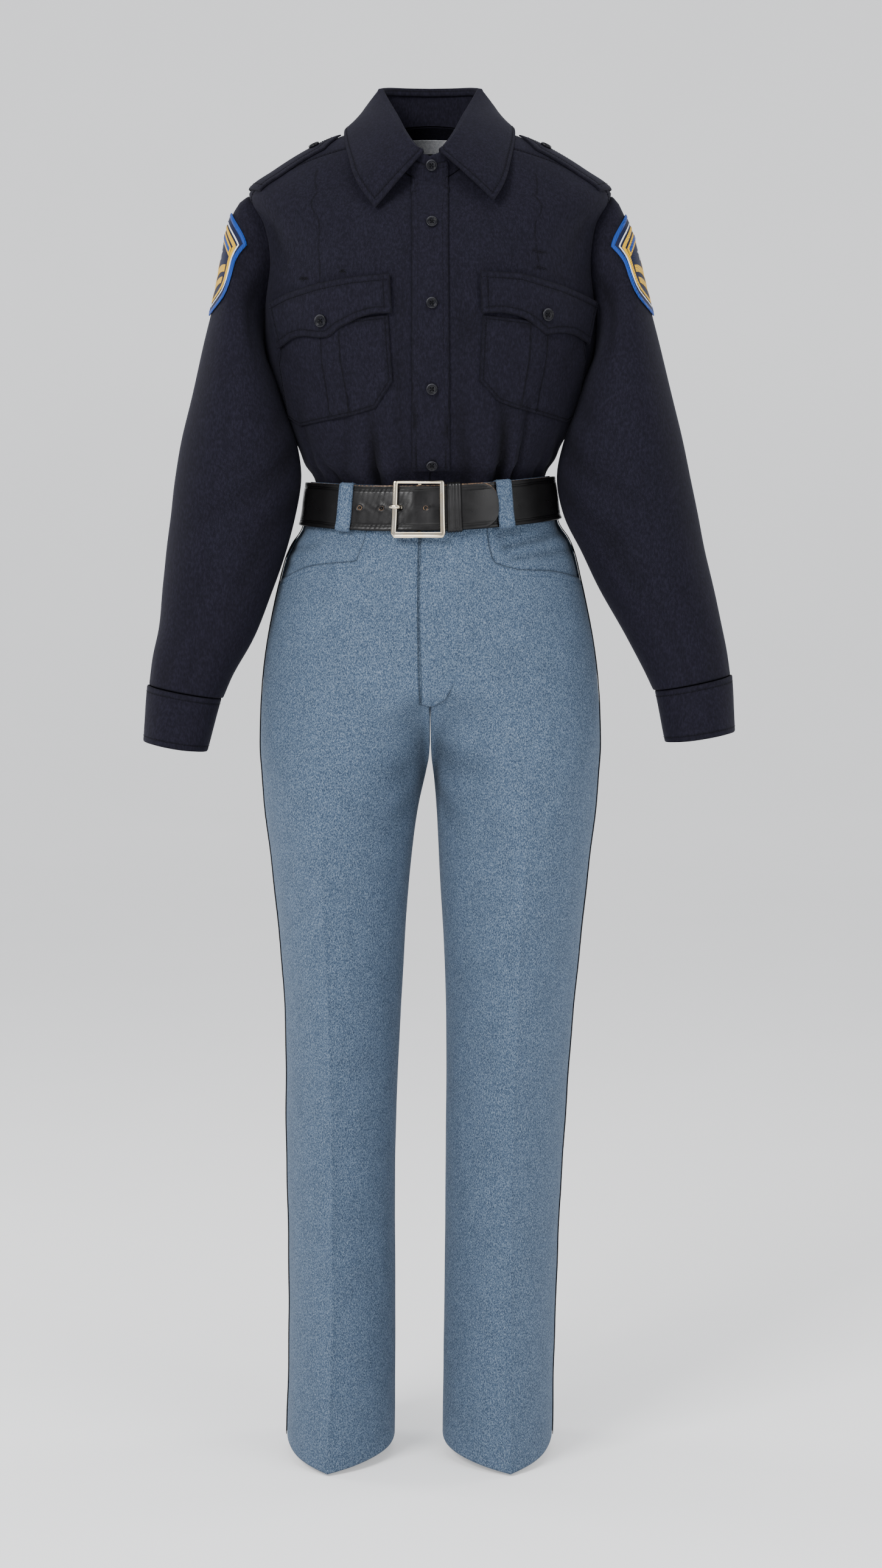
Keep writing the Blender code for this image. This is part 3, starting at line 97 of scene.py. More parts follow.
SLEEVE_ROWS = {     # inner_x, inner_z, outer_x, outer_z, depth, centre_y
    "right": (
        (163, -205, 182, -45, 40, 4),
        (163.2, -207, 190, -51, 46, 2),
        (162.9, -210, 198.5, -66, 52, -1),
        (162.2, -213, 205, -92, 58, -6),
        (159.6, -219, 213, -138, 63, -15),
        (154.4, -231, 227, -197, 66, -21),
        (145, -262, 239, -250, 67, -28),
        (132.5, -298, 250, -296, 66, -28),
        (129.5, -332, 257, -333, 64, -23),
        (136, -370, 261, -366, 62, -18),
        (146, -405, 266, -400, 60, -17),
        (158, -440, 269, -432, 57, -19),
        (178, -490, 273, -478, 51, -28),
        (198, -526, 279, -510, 46, -36),
        (208, -549, 282, -535, 43, -41),
    ),
    "left": (
        (163, -205, 182, -44, 40, 4),
        (163.2, -207, 187.5, -50, 46, 2),
        (162.9, -210, 194.5, -65, 52, -1),
        (162.2, -213, 204, -92, 58, -6),
        (159.6, -219, 215, -138, 63, -15),
        (154.4, -231, 230, -197, 66, -21),
        (145, -262, 243, -250, 67, -28),
        (132.5, -296, 254, -296, 66, -28),
        (127, -330, 262, -331, 64, -24),
        (134.5, -368, 269, -364, 62, -20),
        (153, -404, 276, -397, 60, -17),
        (170, -440, 283, -428, 57, -19),
        (197, -487, 292, -470, 51, -28),
        (214, -520, 298, -503, 46, -36),
        (224, -541, 301, -525, 43, -41),
    ),
}
CUFF_ROWS = {
    "right": ((209.5, -549.5, 284, -535.5, 44, -41), (223, -601, 287, -590, 43, -59)),
    "left": ((225.5, -541.5, 303, -525.5, 44, -41), (235, -592, 305, -581, 43, -59)),
}
LEG_ROWS = {        # z, inner_x, outer_x, crease_x, front_y, back_y, sharp, split
    "right": (
        (-373, 0.0, 126.2, 90, -101.6, 94.2, 90, 0),
        (-387, 0.0, 130.3, 90, -103, 97, 90, 0),
        (-399, 0.0, 139, 95, -106, 103, 90, 0),
        (-436, 0.0, 152, 100, -110, 112, 90, 0),
        (-473, 0.0, 161, 103, -112, 118, 90, 0),
        (-510, 0.0, 167, 105, -113, 120, 90, 0),
        (-547, 0.0, 171, 107, -114, 118, 89, 0.06),
        (-584, 0.0, 172, 107, -114, 114, 87, 0.4),
        (-606, 0.3, 172, 107, -114, 110, 86, 0.66),
        (-621, 3.0, 171, 107, -113, 107, 84, 0.86),
        (-660, 12, 168, 107, -112, 100, 79, 1),
        (-721, 20, 161, 107, -110, 94, 72, 1),
        (-834, 28, 150, 102, -106, 86, 65, 1),
        (-1023, 36, 147, 98, -102, 80, 60, 1),
        (-1180, 36, 145, 99, -101, 84, 60, 1),
        (-1340, 37, 149, 104, -103, 92, 60, 1),
    ),
    "left": (
        (-373, 0.0, 126.2, 84, -101.6, 94.2, 90, 0),
        (-387, 0.0, 130.3, 84, -103, 97, 90, 0),
        (-399, 0.0, 139, 88, -106, 103, 90, 0),
        (-436, 0.0, 152, 92, -110, 112, 90, 0),
        (-473, 0.0, 161, 95, -112, 118, 90, 0),
        (-510, 0.0, 167, 97, -113, 120, 90, 0),
        (-547, 0.0, 171, 97, -114, 118, 89, 0.06),
        (-584, 0.0, 172, 97, -114, 114, 87, 0.4),
        (-606, 0.3, 172, 97, -114, 110, 86, 0.66),
        (-621, 2.0, 171, 96, -113, 107, 84, 0.86),
        (-660, 6, 168, 95, -112, 100, 79, 1),
        (-721, 9, 161, 93, -110, 94, 72, 1),
        (-834, 15, 149, 88, -106, 86, 65, 1),
        (-1023, 15.5, 135, 82, -102, 80, 60, 1),
        (-1180, 14, 128, 81, -101, 84, 60, 1),
        (-1340, 12, 125, 81, -103, 92, 60, 1),
    ),
}
HEM_Z = -1.313
HEM_DROP = 14 * MM
WAIST_ROWS = (      # side_x, z, front_y, back_y
    (120.5, -333.5, -97.2, 90.5),
    (123.0, -352, -99.5, 92.0),
    (126.5, -376, -101.8, 94.5),
    (130.0, -387, -103.0, 97.0),
)
FOLD_LINE_ROWS = (  # angle, x, y, z
    (0, 0, -87, -15), (10, 10.5, -86.5, -11), (25, 18, -80, -4), (45, 26.5, -64, 9),
    (68, 35, -36, 26), (92, 44, 0, 44), (108, 49.5, 24, 56), (116, 51, 33, 60.5),
    (124, 47, 41, 62), (150, 25, 54, 63), (180, 0, 58, 63),
)
COLLAR_ROWS = (     # angle, edge_x, edge_y, edge_z
    (9, 62, -106, -61),
    (26, 72, -93, -43),
    (48, 79, -63, -15),
    (85, 83, -6, 18),
    (125, 70, 46, 17),
    (180, 0, 77, 18),
    (235, -70, 46, 17),
    (275, -84, -6, 17),
    (312, -79, -63, -15),
    (336, -70, -93, -43),
    (354, -53, -105, -68),
)
COLLAR_DEPTH = 56 * MM

BODY_FOLDS = (      # x1, z1, x2, z2, width, depth1, depth2; a depth below zero is a ridge
    (-61, -256, -50, -338, 6.4, 1.4, 8.0),
    (-72, -262, -64, -338, 9, -0.8, -4.2),
    (-40, -270, -36, -338, 9, -0.6, -3.0),
    (72, -254, 68, -338, 7, 1.8, 9.0),
    (58, -258, 53, -338, 9, -0.9, -3.8),
    (96, -258, 82, -338, 4.6, 2.2, 4.8),
    (88, -266, 76, -338, 6, -1.2, -3.6),
    (-114, -302, -90, -338, 6, 1.0, 4.6),
    (-80, -276, -84, -326, 8, 1.0, 2.2),
    (30, -262, 36, -334, 7, 0.6, 2.8),
    (-128, -258, -112, -326, 8, 1.2, 2.4),
    (118, -292, 104, -338, 7, 0.6, 3.0),
    (134, -262, 122, -322, 9, 1.0, 2.0),
    (-24, -96, -24, -330, 7, 0.9, 1.6),
    (27, -120, 27, -330, 7, 0.7, 1.4),
    (41, -176, 42, -232, 9, 1.8, 0.4),
    (-30, -210, -33, -280, 9, 0.6, 1.3),
    (-152, -92, -138, -126, 10, 2.0, 0.4),
    (150, -86, 137, -130, 10, 2.0, 0.4),
    (-146, -196, -120, -236, 12, 1.8, 0.3),
    (146, -192, 122, -240, 12, 1.8, 0.3),
)
BACK_FOLDS = (
    (-58, -240, -50, -336, 6, 0.5, 5.5),
    (-76, -250, -68, -336, 9, -0.4, -3.2),
    (46, -252, 50, -336, 7, 0.5, 5.0),
    (62, -246, 68, -336, 9, -0.4, -3.0),
    (-8, -290, -4, -336, 8, 0.3, 3.0),
    (104, -276, 92, -338, 7, 0.5, 3.6),
    (-112, -262, -98, -338, 7, 0.5, 3.8),
    (-134, -120, -110, -176, 14, 2.2, 0.3),
    (132, -116, 108, -180, 14, 2.2, 0.3),
    (-60, -120, 55, -128, 20, 0.7, 0.5),
)
SLEEVE_FOLDS = {    # turn1, down1, turn2, down2 (degrees, mm), width, depth1, depth2
    "right": (
        (100, 16, 128, 96, 9, 2.4, 0.5),
        (62, 8, 84, 70, 8, 1.6, 0.3),
        (150, 190, 60, 262, 12, 3.2, 0.4),
        (158, 236, 78, 292, 11, 2.6, 0.4),
        (148, 150, 96, 196, 12, 2.0, 0.3),
        (128, 292, 96, 372, 13, 1.8, 0.6),
        (40, 120, 30, 300, 26, 1.2, 1.0),
        (70, 330, 52, 452, 16, 0.8, 1.8),
        (96, 380, 88, 468, 7, 0.4, 2.4),
        (20, 410, 14, 468, 8, 0.3, 2.0),
        (-30, 360, -22, 468, 10, 0.4, 2.0),
        (-80, 120, -110, 260, 16, 2.0, 1.0),
        (-140, 180, -70, 262, 12, 3.0, 0.4),
        (-110, 330, -90, 450, 12, 0.6, 1.8),
    ),
    "left": (
        (98, 14, 124, 104, 10, 2.8, 0.5),
        (58, 10, 76, 64, 8, 1.4, 0.3),
        (152, 182, 66, 250, 12, 3.0, 0.4),
        (156, 226, 84, 300, 12, 2.8, 0.4),
        (144, 140, 100, 184, 12, 1.8, 0.3),
        (122, 286, 92, 366, 13, 2.0, 0.6),
        (36, 130, 34, 310, 26, 1.1, 1.0),
        (66, 340, 50, 450, 16, 0.8, 1.8),
        (100, 376, 92, 462, 7, 0.4, 2.4),
        (24, 404, 16, 462, 8, 0.3, 2.0),
        (-34, 350, -24, 462, 10, 0.4, 2.0),
        (-76, 130, -106, 268, 16, 2.0, 1.0),
        (-138, 176, -74, 256, 12, 3.0, 0.4),
        (-106, 320, -92, 444, 12, 0.6, 1.8),
    ),
}
LEG_FOLDS = {       # quarter1, z1, quarter2, z2, width, depth1, depth2
    "right": (
        (0.05, -592, 0.72, -640, 17, 3.4, 0.4),
        (0.06, -622, 0.62, -690, 15, 2.2, 0.3),
        (0.14, -556, 0.6, -588, 16, 1.6, 0.2),
        (1.2, -398, 1.9, -404, 6, 1.6, 2.4),
        (1.3, -414, 1.86, -419, 5, 0.8, 1.6),
        (1.0, -690, 1.0, -1312, 2.2, -0.5, -1.0),
        (3.0, -640, 3.0, -1312, 2.2, -0.6, -1.0),
        (0.5, -860, 0.86, -935, 26, 0.8, 0.3),
        (3.9, -590, 3.2, -650, 18, 3.2, 0.4),
        (3.9, -640, 3.3, -720, 18, 2.2, 0.3),
        (3.1, -840, 3.7, -900, 24, 1.6, 0.4),
        (3.2, -930, 3.8, -960, 22, 1.4, 0.4),
    ),
    "left": (
        (0.05, -596, 0.78, -628, 17, 3.4, 0.5),
        (0.06, -630, 0.66, -688, 15, 2.4, 0.3),
        (0.2, -548, 0.66, -584, 16, 1.4, 0.2),
        (0.70, -400, 1.84, -391, 4.6, 3.2, 1.4),
        (0.76, -412, 1.9, -408, 4.2, 2.6, 1.2),
        (0.68, -389, 1.3, -380, 4.2, 2.2, 0.8),
        (1.0, -700, 1.0, -1312, 2.2, -0.5, -1.0),
        (3.0, -640, 3.0, -1312, 2.2, -0.6, -1.0),
        (0.5, -850, 0.88, -930, 26, 0.8, 0.3),
        (3.9, -588, 3.2, -646, 18, 3.0, 0.4),
        (3.9, -642, 3.3, -716, 18, 2.2, 0.3),
        (3.1, -836, 3.7, -892, 24, 1.6, 0.4),
        (3.25, -926, 3.8, -962, 22, 1.4, 0.4),
    ),
}


def waist_lift(x: np.ndarray) -> np.ndarray:
    """How far the waist lies over its middle at x: it is tilted, and higher at both sides."""
    return WAIST_TILT * x + WAIST_RISE * (x / 0.122) ** 2


class Held(Enum):
    """How a sheet of cloth is held."""

    HUNG = "hung"
    LAID = "laid"
    FOLDED = "folded"
    STRETCHED = "stretched"


def unit(vectors: np.ndarray) -> np.ndarray:
    """Vectors scaled to length one."""
    return vectors / np.maximum(np.linalg.norm(vectors, axis=-1, keepdims=True), 1e-9)


def smooth_step(value: np.ndarray) -> np.ndarray:
    """An even rise from 0 to 1."""
    value = np.clip(value, 0.0, 1.0)
    return value * value * (3 - 2 * value)


def ring_factor(sine: np.ndarray, cosine: np.ndarray, power: float) -> np.ndarray:
    """How far a rounded ring of that power lies beyond a circle."""
    return (np.abs(sine) ** power + np.abs(cosine) ** power) ** (-1 / power)


class Sections:
    """Columns that are read smoothly between a table's rows."""

    def __init__(self, rows: Sequence, knots: Sequence[float], scale: float = MM) -> None:
        """Works out the slopes at each row.

        Args:
            rows: The table.
            knots: The place of each row.
            scale: What a number of the table is in metres.
        """
        self.values = np.array(rows, dtype=float) * scale
        self.knots = np.asarray(knots, dtype=float)
        gaps = np.diff(self.knots)[:, None]
        slopes = np.diff(self.values, axis=0) / gaps
        inner = (slopes[:-1] * gaps[1:] + slopes[1:] * gaps[:-1]) / (gaps[1:] + gaps[:-1])
        self.tangents = np.vstack((slopes[:1], inner, slopes[-1:]))

    def at(self, t: np.ndarray) -> list[np.ndarray]:
        """All columns at the places t.

        Args:
            t: Places along the table.

        Returns:
            One array like t for each column.
        """
        t = np.clip(np.asarray(t, dtype=float), self.knots[0], self.knots[-1])
        low = np.clip(np.searchsorted(self.knots, t, side="right") - 1, 0, len(self.knots) - 2)
        width = self.knots[low + 1] - self.knots[low]
        s = ((t - self.knots[low]) / width)[..., None]
        width = width[..., None]
        value = (
            (2 * s**3 - 3 * s**2 + 1) * self.values[low]
            + (s**3 - 2 * s**2 + s) * width * self.tangents[low]
            + (3 * s**2 - 2 * s**3) * self.values[low + 1]
            + (s**3 - s**2) * width * self.tangents[low + 1]
        )
        return [value[..., i] for i in range(value.shape[-1])]


def path_knots(rows: Sequence, *pairs: tuple[int, int]) -> np.ndarray:
    """Running length down a table, averaged over paths given as pairs of its columns."""
    table = np.array(rows, dtype=float) * MM
    steps = [np.hypot(*(np.diff(table[:, c]) for c in pair)) for pair in pairs]
    return np.concatenate(([0.0], np.cumsum(np.mean(steps, axis=0))))


@dataclass(frozen=True)
class Fold:
    """A soft trough between two places on a surface, or a ridge where its depth is below zero."""

    start: Pair
    end: Pair
    width: float
    depth_start: float
    depth_end: float

    def rise(self, a: np.ndarray, t: np.ndarray) -> np.ndarray:
        """How far the fold lifts the surface.

        Args:
            a: Lengths round the surface.
            t: Lengths along the surface.

        Returns:
            The lift at each place, below zero in a trough.
        """
        run_a, run_t = self.end[0] - self.start[0], self.end[1] - self.start[1]
        long = max(run_a**2 + run_t**2, TINY)
        along = ((a - self.start[0]) * run_a + (t - self.start[1]) * run_t) / long
        held = np.clip(along, 0, 1)
        bend = np.sin(held * math.pi * 1.3 + self.start[0] * 40) * self.width * 0.22
        off_a = a - self.start[0] - held * run_a
        off_t = t - self.start[1] - held * run_t
        length = math.sqrt(long)
        across = (off_a * run_t - off_t * run_a) / length - bend
        past = np.maximum(np.abs(along - held) * length, 0)
        near = np.exp(-(across / self.width) ** 2 - (past / (self.width * 1.6)) ** 2)
        depth = self.depth_start + (self.depth_end - self.depth_start) * held
        return -depth * near


class Surface:
    """A smooth surface over lengths (a, t), with folds."""

    outward = 1.0
    nudge = 0.5 * MM
    slack = 0.35 * MM

    def __init__(self) -> None:
        """Starts without folds."""
        self.folds: list[Fold] = []

    def point(self, a: np.ndarray, t: np.ndarray) -> np.ndarray:
        """Points of the surface without its folds."""
        raise NotImplementedError

    def normal(self, a: np.ndarray, t: np.ndarray) -> np.ndarray:
        """Outward directions."""
        along = self.point(a + self.nudge, t) - self.point(a - self.nudge, t)
        up = self.point(a, t + self.nudge) - self.point(a, t - self.nudge)
        return unit(np.cross(along, up)) * self.outward

    def relief(self, a: np.ndarray, t: np.ndarray) -> np.ndarray:
        """The folds' lift, with a slight unevenness of the cloth."""
        total = np.sin(a * 71 + t * 23 + 1.0) * np.sin(t * 58 - a * 19) * self.slack
        for fold in self.folds:
            total = total + fold.rise(a, t)
        return total

    def shade(self, a: np.ndarray, t: np.ndarray) -> np.ndarray:
        """Painted shade in a trough, from its depth under the smooth surface."""
        return np.clip(-self.relief(a, t) / (4.4 * MM) - 0.1, 0, 1) * 0.9

    def lifted(self, a: np.ndarray, t: np.ndarray, lift: np.ndarray | float) -> np.ndarray:
        """Points moved out of the folded surface.

        Args:
            a: Lengths round the surface.
            t: Lengths along the surface.
            lift: Distance outwards.

        Returns:
            One point for each place.
        """
        a, t = np.asarray(a, dtype=float), np.asarray(t, dtype=float)
        whole = self.relief(a, t) + np.asarray(lift)
        return self.point(a, t) + self.normal(a, t) * whole[..., None]


class TorsoSurface(Surface):
    """The shirt's body, from its tail to the neckline; a runs round from centre front to +X."""

    def __init__(self) -> None:
        """Reads the torso's table and places its folds."""
        super().__init__()
        self.sections = Sections(TORSO_ROWS, path_knots(TORSO_ROWS, (0, 1), (2, 3)))
        self.top = float(self.sections.knots[-1])
        for rows, back in ((BODY_FOLDS, False), (BACK_FOLDS, True)):
            for x1, z1, x2, z2, width, deep1, deep2 in rows:
                start, end = self.seen(x1 * MM, z1 * MM, back), self.seen(x2 * MM, z2 * MM, back)
                self.folds.append(Fold(start, end, width * MM, deep1 * MM, deep2 * MM))

    def point(self, a: np.ndarray, t: np.ndarray) -> np.ndarray:
        """Points of the body."""
        side_x, side_z, front_y, front_z, back_y, back_z = self.sections.at(t)
        sine, cosine = np.sin(a / GIRTH_RADIUS), np.cos(a / GIRTH_RADIUS)
        factor = ring_factor(sine, cosine, BODY_ROUND)
        front = cosine > 0
        x = side_x * sine * factor
        y = np.where(front, front_y, -back_y) * cosine * factor
        middle_z = np.where(front, front_z, back_z)
        z = middle_z + (side_z - middle_z) * (sine * factor) ** 2
        z = z + waist_lift(x) * smooth_step((-0.27 - z) / 0.05)
        return np.stack((x, y, z), axis=-1)

    def side_place(self, z: float) -> float:
        """The place t at which the side of the body is at the height z."""
        return float(np.interp(z, self.sections.values[:, 1], self.sections.knots))

    def places(self, x: np.ndarray, z: np.ndarray, back: bool) -> tuple[np.ndarray, np.ndarray]:
        """Lengths of the points that are seen at (x, z) from the front or the back.

        Args:
            x: Distances to the wearer's left.
            z: Heights.
            back: Whether they are seen from the back.

        Returns:
            The lengths a and t.
        """
        x, z = np.asarray(x, dtype=float), np.asarray(z, dtype=float)
        low, high = np.zeros_like(z), np.full_like(z, self.top)
        for _ in range(26):
            middle = (low + high) / 2
            row = self.sections.at(middle)
            middle_z = row[5] if back else row[3]
            share = np.clip(np.abs(x) / row[0], 0, 1)
            under = middle_z + (row[1] - middle_z) * share**2 < z
            low, high = np.where(under, middle, low), np.where(under, high, middle)
        share = np.clip(x / self.sections.at(low)[0], -0.9999, 0.9999)
        depth = (1 - np.abs(share) ** BODY_ROUND) ** (1 / BODY_ROUND)
        return np.arctan2(share, -depth if back else depth) % (2 * math.pi) * GIRTH_RADIUS, low

    def seen(self, x: float, z: float, back: bool = False) -> Pair:
        """The one place (a, t) that is seen at (x, z)."""
        a, t = self.places(np.array(x), np.array(z), back)
        return float(a) - (4 * SIDE if not back and x < 0 else 0), float(t)

    def relief(self, a: np.ndarray, t: np.ndarray) -> np.ndarray:
        """The folds, whichever way round the body a place is counted."""
        turn = 4 * SIDE
        a = a % turn
        total = np.zeros_like(a + t)
        for fold in self.folds:
            for shift in (0.0, -turn):
                if min(fold.start[0], fold.end[0]) - 0.06 < turn + shift:
                    total = total + fold.rise(a + shift, t)
        wave = np.sin(a * 4 / GIRTH_RADIUS + t * 23) * np.sin(t * 58 + 1) * self.slack
        return total + wave


class ShoulderSurface(Surface):
    """The torso's shoulder, over (t, y): t runs up the ridge and y to the back."""

    def __init__(self, torso: TorsoSurface, side: int) -> None:
        """Takes the torso and which shoulder it is."""
        super().__init__()
        self.torso, self.side, self.outward = torso, side, -side

    def round_torso(self, a: np.ndarray, t: np.ndarray) -> np.ndarray:
        """The torso's length round for a place on the shoulder."""
        row = self.torso.sections.at(a)
        depth = np.where(t < 0, -row[2], row[4])
        share = np.clip(np.abs(t) / depth, 0, 0.95)
        across = (1 - share**BODY_ROUND) ** (1 / BODY_ROUND)
        angle = np.arctan2(across, np.where(t < 0, share, -share))
        return self.side * angle * GIRTH_RADIUS

    def point(self, a: np.ndarray, t: np.ndarray) -> np.ndarray:
        """Points of the shoulder."""
        return self.torso.point(self.round_torso(a, t), a)

    def relief(self, a: np.ndarray, t: np.ndarray) -> np.ndarray:
        """The torso's own folds."""
        return self.torso.relief(self.round_torso(a, t), a)


def armhole_lengths(
    torso: TorsoSurface, angle: np.ndarray, side: int, reach: float = 1.0
) -> tuple[np.ndarray, np.ndarray]:
    """The armhole's point at an angle from its top to the front.

    Args:
        torso: The shirt's body.
        angle: Turn from the armhole's top.
        side: 1 at the wearer's left and -1 at the right.
        reach: Share of the armhole's size.

    Returns:
        Lengths a and t on the torso.
    """
    low, high = torso.side_place(UNDERARM_Z), torso.side_place(TORSO_ROWS[SHOULDER_ROW][1] * MM)
    factor = ring_factor(np.sin(angle), np.cos(angle), 2.9)
    sine, cosine = np.sin(angle) * factor, np.cos(angle) * factor
    width = 41 * MM * (1 + 0.45 * cosine) * reach * np.where(sine > 0, 0.93, 1.0)
    a = SIDE - width * sine
    t = (low + high) / 2 + (high - low) / 2 * cosine * reach
    return a * side, t


class SleeveSurface(Surface):
    """A sleeve's tube; a runs round from its outer line to the front, t down from the armhole."""

    def __init__(self, torso: TorsoSurface, side: int, rows: Sequence, whole: bool) -> None:
        """Reads the sleeve's table.

        Args:
            torso: The shirt's body.
            side: 1 at the wearer's left and -1 at the right.
            rows: The table of sections.
            whole: Whether the tube starts at the armhole, as a cuff's doesn't.
        """
        super().__init__()
        self.torso, self.side, self.outward, self.whole = torso, side, side, whole
        self.sections = Sections(rows, path_knots(rows, (0, 1), (2, 3)))
        self.length = float(self.sections.knots[-1])
        self.blend = self.sections.knots[3] if whole else 1.0
        if whole:
            name = "left" if side > 0 else "right"
            for turn1, down1, turn2, down2, width, deep1, deep2 in SLEEVE_FOLDS[name]:
                start = (math.radians(turn1) * SLEEVE_RADIUS, down1 * MM)
                end = (math.radians(turn2) * SLEEVE_RADIUS, down2 * MM)
                self.folds.append(Fold(start, end, width * MM, deep1 * MM, deep2 * MM))

    def tube(self, a: np.ndarray, t: np.ndarray) -> np.ndarray:
        """Points of the tube before its start is fitted to the armhole."""
        inner_x, inner_z, outer_x, outer_z, depth, centre_y = self.sections.at(t)
        sine, cosine = np.sin(a / SLEEVE_RADIUS), np.cos(a / SLEEVE_RADIUS)
        factor = ring_factor(sine, cosine, 2.1)
        across = cosine * factor / 2
        x = (inner_x + outer_x) / 2 + (outer_x - inner_x) * across
        z = (inner_z + outer_z) / 2 + (outer_z - inner_z) * across
        y = centre_y - depth * sine * factor
        return np.stack((x * self.side, y, z), axis=-1)

    def point(self, a: np.ndarray, t: np.ndarray) -> np.ndarray:
        """Points of the sleeve."""
        place = self.tube(a, t)
        if not self.whole:
            return place
        seam = armhole_lengths(self.torso, a / SLEEVE_RADIUS, self.side, REACH)
        share = (1 - smooth_step(t / self.blend))[..., None]
        return place + (self.torso.point(*seam) - self.tube(a, np.zeros_like(t))) * share

    def relief(self, a: np.ndarray, t: np.ndarray) -> np.ndarray:
        """The folds, whichever way round the sleeve a place is counted."""
        turn = 2 * math.pi * SLEEVE_RADIUS
        a = (np.asarray(a) + turn / 2) % turn - turn / 2
        calm = smooth_step(t / (14 * MM))
        if self.whole:
            calm = calm * (0.35 + 0.65 * smooth_step((self.length - t) / (10 * MM)))
        total = np.sin(a * 3 / SLEEVE_RADIUS + t * 31) * np.sin(t * 47 + 2) * self.slack
        for fold in self.folds:
            for shift in (-turn, 0.0, turn):
                total = total + fold.rise(a + shift, t)
        return total * calm

    def lifted(self, a: np.ndarray, t: np.ndarray, lift: np.ndarray | float) -> np.ndarray:
        """Points moved out, which at the armhole follow the torso's own direction."""
        a, t = np.asarray(a, dtype=float), np.asarray(t, dtype=float)
        direction = self.normal(a, t)
        whole = self.relief(a, t) + np.asarray(lift)
        if self.whole:
            seam = armhole_lengths(self.torso, a / SLEEVE_RADIUS, self.side, REACH)
            share = 1 - smooth_step(t * 3 / self.blend)
            whole = whole + self.torso.relief(*seam) * share
            share = share[..., None]
            direction = unit(direction * (1 - share) + self.torso.normal(*seam) * share)
        return self.point(a, t) + direction * whole[..., None]


class LegSurface(Surface):
    """One trouser leg and its half of the hips.

    a counts quarters round the leg: from the inner line over the front crease, the outer seam
    and the back crease to the inner line again. t is the height z.
    """

    def __init__(self, side: int, name: str) -> None:
        """Reads the leg's table and places its folds."""
        super().__init__()
        self.side, self.outward = side, side
        ordered = LEG_ROWS[name][::-1]
        self.sections = Sections(ordered, [row[0] * MM for row in ordered], scale=1.0)
        for quarter1, z1, quarter2, z2, width, deep1, deep2 in LEG_FOLDS[name]:
            start, end = (quarter1 * LEG_QUARTER, z1 * MM), (quarter2 * LEG_QUARTER, z2 * MM)
            self.folds.append(Fold(start, end, width * MM, deep1 * MM, deep2 * MM))

    def point(self, a: np.ndarray, t: np.ndarray) -> np.ndarray:
        """Points of the leg."""
        _, inner, outer, crease, front, back, sharp, split = self.sections.at(t)
        inner, outer, crease, front, back = (v * MM for v in (inner, outer, crease, front, back))
        quarter = np.clip(a / LEG_QUARTER, 0, 4)
        turn = quarter * math.pi / 4
        factor = ring_factor(np.sin(turn), np.cos(turn), BODY_ROUND)
        hip_x = np.maximum(outer * np.sin(turn) * factor, inner)
        hip_y = np.where(quarter < 2, front, -back) * np.cos(turn) * factor
        edge = np.where((quarter < 1) | (quarter > 3), inner, outer)
        depth = np.where(quarter < 2, front, back)
        swing = 1 - np.abs((quarter % 2) - 1)
        limit = np.radians(sharp)
        leg_x = edge + (crease - edge) * (1 - np.cos(limit * swing)) / (1 - np.cos(limit))
        leg_y = depth * np.sin(limit * swing) / np.sin(limit)
        share = np.clip(split, 0, 1)
        x = hip_x * (1 - share) + leg_x * share
        y = hip_y * (1 - share) + leg_y * share
        lift = waist_lift(x * self.side) * smooth_step((t + 0.46) / 0.08)
        return np.stack((x * self.side, y, t + lift), axis=-1)

    def relief(self, a: np.ndarray, t: np.ndarray) -> np.ndarray:
        """The folds, calmed towards the waist seam and the inner line."""
        total = super().relief(a, t)
        edge = np.minimum(a, 4 * LEG_QUARTER - a)
        return total * smooth_step((-0.373 - t) / 0.02) * smooth_step(edge / 0.012 + 0.15)

    def front_place(self, x: np.ndarray, z: np.ndarray) -> tuple[np.ndarray, np.ndarray]:
        """Lengths on the hips of the front's points that are seen at (x, z)."""
        x, z = np.asarray(x, dtype=float), np.asarray(z, dtype=float)
        share = np.clip(np.abs(x) / (self.sections.at(z)[2] * MM), 0, 0.9999)
        depth = (1 - share**BODY_ROUND) ** (1 / BODY_ROUND)
        return np.arctan2(share, depth) * 4 / math.pi * LEG_QUARTER, z

    def hem(self, a: float) -> float:
        """Height of the hem, which drops towards the creases."""
        return HEM_Z - HEM_DROP * (1 - abs((a / LEG_QUARTER) % 2 - 1))


class HipSurface(Surface):
    """Both halves of the hips' front, over (x, z); x may cross the middle."""

    def __init__(self, right: LegSurface, left: LegSurface) -> None:
        """Takes the two legs."""
        super().__init__()
        self.right, self.left = right, left

    def point(self, a: np.ndarray, t: np.ndarray) -> np.ndarray:
        """Points of the hips' front."""
        at_left = self.left.point(*self.left.front_place(a, t))
        at_right = self.right.point(*self.right.front_place(a, t))
        place = np.where((np.asarray(a) >= 0)[..., None], at_left, at_right)
        place[..., 0] = a
        return place

    def relief(self, a: np.ndarray, t: np.ndarray) -> np.ndarray:
        """The folds of the two fronts."""
        at_left = self.left.relief(*self.left.front_place(a, t))
        at_right = self.right.relief(*self.right.front_place(a, t))
        return np.maximum(np.where(np.asarray(a) >= 0, at_left, at_right), -0.1 * MM)


